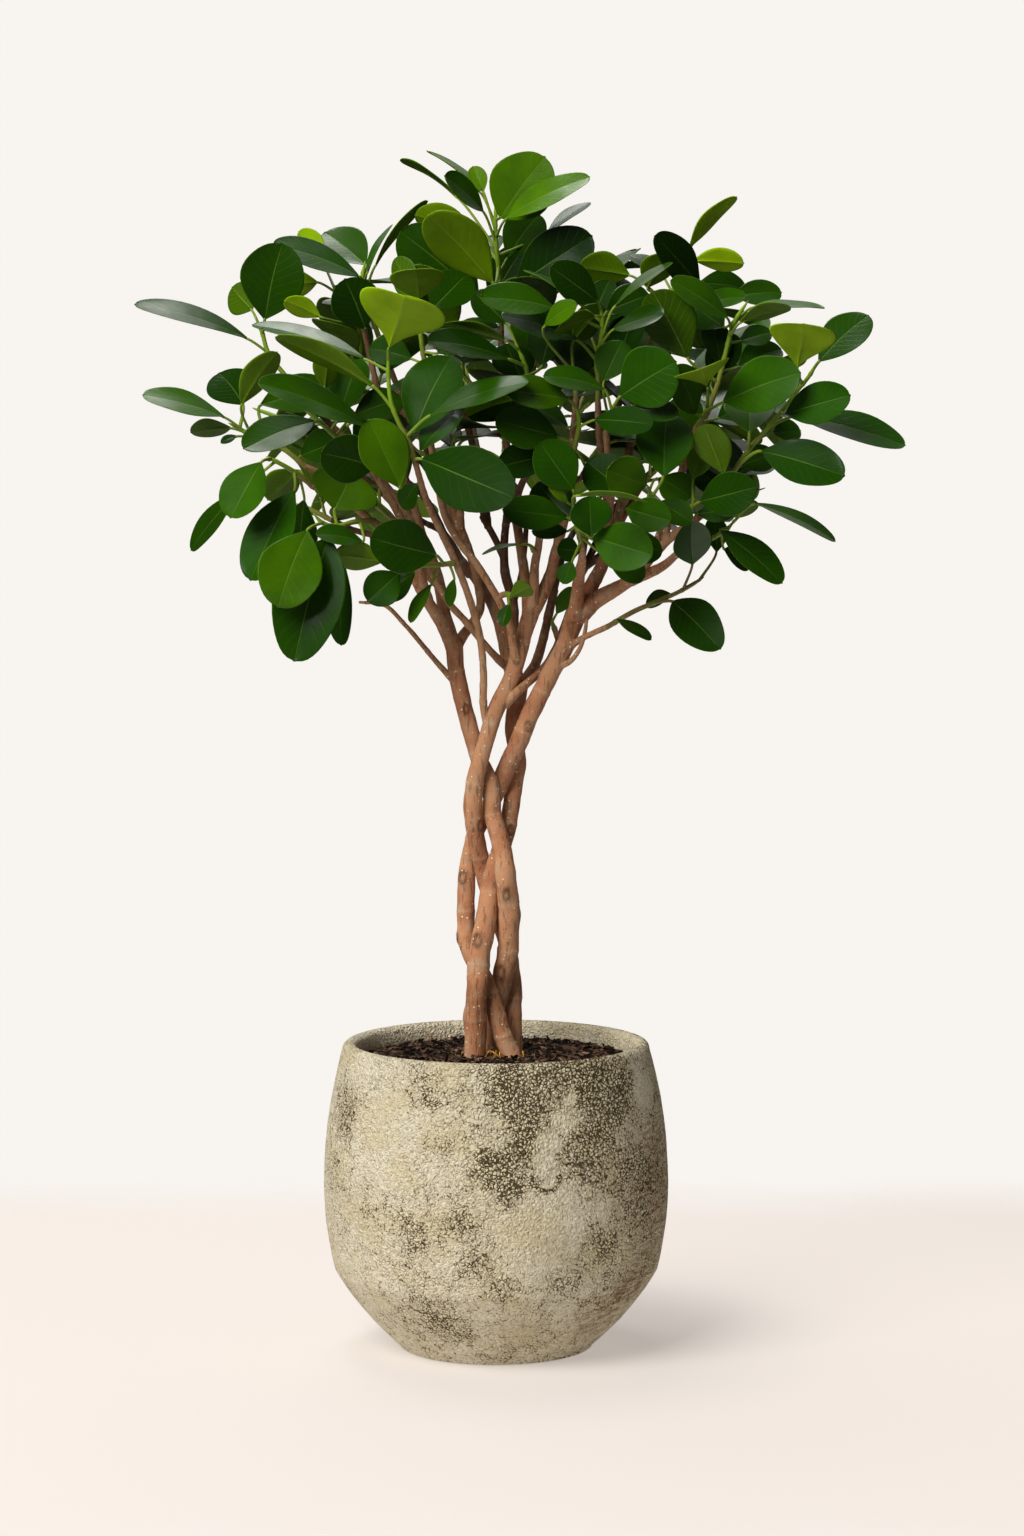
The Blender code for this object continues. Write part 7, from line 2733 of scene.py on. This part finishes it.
            # a leaf's random depth of green, plus painted shade the further inside the crown it
            # lies
            inside = inwardness(leaf.base.lerp(leaf.tip, 0.5))
            shade = min(self.darkest, draw.uniform(*DEPTH[leaf.age]) + self.crown_painted_shade * inside)
            batch.add(self.stalk(leaf), Skin.STALK.value, age=self.stalk_age * brown, shade=0.0)
            blade, slots, places = self.blade(leaf, draw)
            batch.add(blade, slots, places, age=max(0.0, age), shade=shade)
        piece = batch.make("leafy_" + name, [self.upper, self.under, self.green])
        settle(piece, "shoot_" + name)
        return piece


@dataclass(frozen=True)
class Lamp:
    """A soft square lamp that faces the plant."""

    name: str
    place: tuple[float, float, float]
    size: float
    power: float
    colour: Colour
    aim: tuple[float, float, float] = (0.0, 0.0, 0.5)

    def make(self) -> bpy.types.Object:
        """Hang the lamp up.

        Returns:
            The lamp.
        """
        light = bpy.data.lights.new(self.name, "AREA")
        light.size = self.size
        light.energy = self.power
        light.color = linear(self.colour)[:3]
        lamp = placed(self.name, light)
        lamp.location = self.place
        to_plant = Vector(self.aim) - Vector(self.place)
        lamp.rotation_euler = to_plant.to_track_quat("-Z", "Y").to_euler()
        return lamp


@dataclass
class Studio:
    """Floor, backdrop light, lamps and camera, in metres."""

    floor: bpy.types.Material
    backdrop: Colour = (248, 244, 240)
    ambient: float = 0.15
    mirrored: Pair = (0.01, 0.8)  # on the camera's side and behind the plant
    mirror_tilt: float = 0.6  # how much height counts beside depth there
    mirror_edge: Pair = (0.8, 1.3)
    reach: float = 1.2
    sides: int = 96
    sunk: float = 0.0005
    pitch: float = 4.753  # of the camera downwards, in degrees
    lens: float = 94.0
    sensor: float = 36.0
    sight: float = 100.0
    key: Lamp = Lamp("key_lamp", (-2.3, -2.8, 3.3), 2.8, 262.0, (255, 252, 247))
    glint: Lamp = Lamp("glint_lamp", (-1.5, -3.0, 2.0), 0.5, 5.0, (255, 255, 255))
    top: Lamp = Lamp("top_lamp", (-0.3, 0.9, 2.8), 1.3, 30.0, (255, 253, 250))

    def make(self) -> None:
        """Build the studio round the plant."""
        mesh = bpy.data.meshes.new("studio_floor")
        work = bmesh.new()
        bmesh.ops.create_circle(work, cap_ends=True, radius=self.reach, segments=self.sides)
        work.to_mesh(mesh)
        work.free()
        mesh.materials.append(self.floor)
        ground = placed("studio_floor", mesh)
        ground.location.z = -self.sunk
        self.light_sky()
        self.key.make().visible_glossy = False
        self.glint.make().visible_diffuse = False
        self.top.make()
        self.add_camera()

    def light_sky(self) -> None:
        """Give the backdrop its colour, and a weaker light all round."""
        world = bpy.data.worlds.new("studio")
        world.use_nodes = True
        graph = Graph(world.node_tree)
        sky = world.node_tree.nodes["Background"]
        sky.inputs["Color"].default_value = linear(self.backdrop)
        path = graph.add("LightPath").outputs
        way = graph.add("SeparateXYZ", {0: graph.add("TexCoord").outputs["Generated"]}).outputs
        behind = graph.fade(graph.scaled(way[2], self.mirror_tilt, way[1]), *self.mirror_edge)
        low, high = self.mirrored
        mirror = graph.scaled(behind, high - low, low - self.ambient)
        dimmed = graph.scaled(path["Is Glossy Ray"], mirror, self.ambient)
        strength = graph.scaled(path["Is Camera Ray"], 1.0 - self.ambient, dimmed)
        graph.feed(sky, "Strength", strength)
        bpy.context.scene.world = world

    def add_camera(self) -> None:
        """Look at the plant from where the photograph was taken."""
        data = bpy.data.cameras.new("camera")
        data.lens = self.lens
        data.sensor_width = self.sensor
        data.clip_end = self.sight
        camera = placed("camera", data)
        camera.location = EYE / METRE
        camera.rotation_euler = (math.radians(90.0 - self.pitch), 0.0, 0.0)
        bpy.context.scene.camera = camera


def main() -> None:
    """Load the frame, build every piece round it and note the sizes."""
    logging.basicConfig(level=logging.INFO, format="%(message)s")
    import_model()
    bpy.context.scene.view_settings.view_transform = "Standard"
    effects = Effects()
    layout = Layout()
    Pot(GlazeFinish("cream_glaze", roughness=0.8, specular=0.15).make(effects)).make()
    Soil(SoilFinish("potting_mix", roughness=0.95, specular=0.25).make(effects),
         StrawFinish("straw", roughness=0.6).make(effects), layout.feet).make()
    bark = BarkFinish("bark", roughness=0.78, specular=0.35).make(effects)
    for number, (name, lines) in enumerate(layout.wood.items()):
        Stem(name, lines, bark).make(random.Random(STEM_SEED + number))
    foliage = Foliage(
        LeafFinish("leaf_upper", roughness=0.3, specular=0.4, coat=0.2).make(effects),
        # The underside's own paler green, raised further as painted light shining through the
        # leaves, most on young ones; its margin is a painted highlight
        LeafFinish("leaf_under", roughness=0.5, specular=0.25, old=(96, 134, 0),
                   young=(164, 204, 0), deep=(48, 80, 0), rib=(150, 172, 78),
                   margin=(130, 156, 66), side_share=0.1, rib_share=0.5).make(effects),
        StalkFinish("green_stalk", roughness=0.42).make(effects))
    for number, (name, leaves) in enumerate(layout.leaves.items()):
        foliage.make(name, layout.axes[name], leaves, random.Random(SHOOT_SEED + number))
    Studio(FloorFinish("studio_floor", roughness=0.9, specular=0.2).make(effects)).make()


if __name__ == "__main__":
    main()
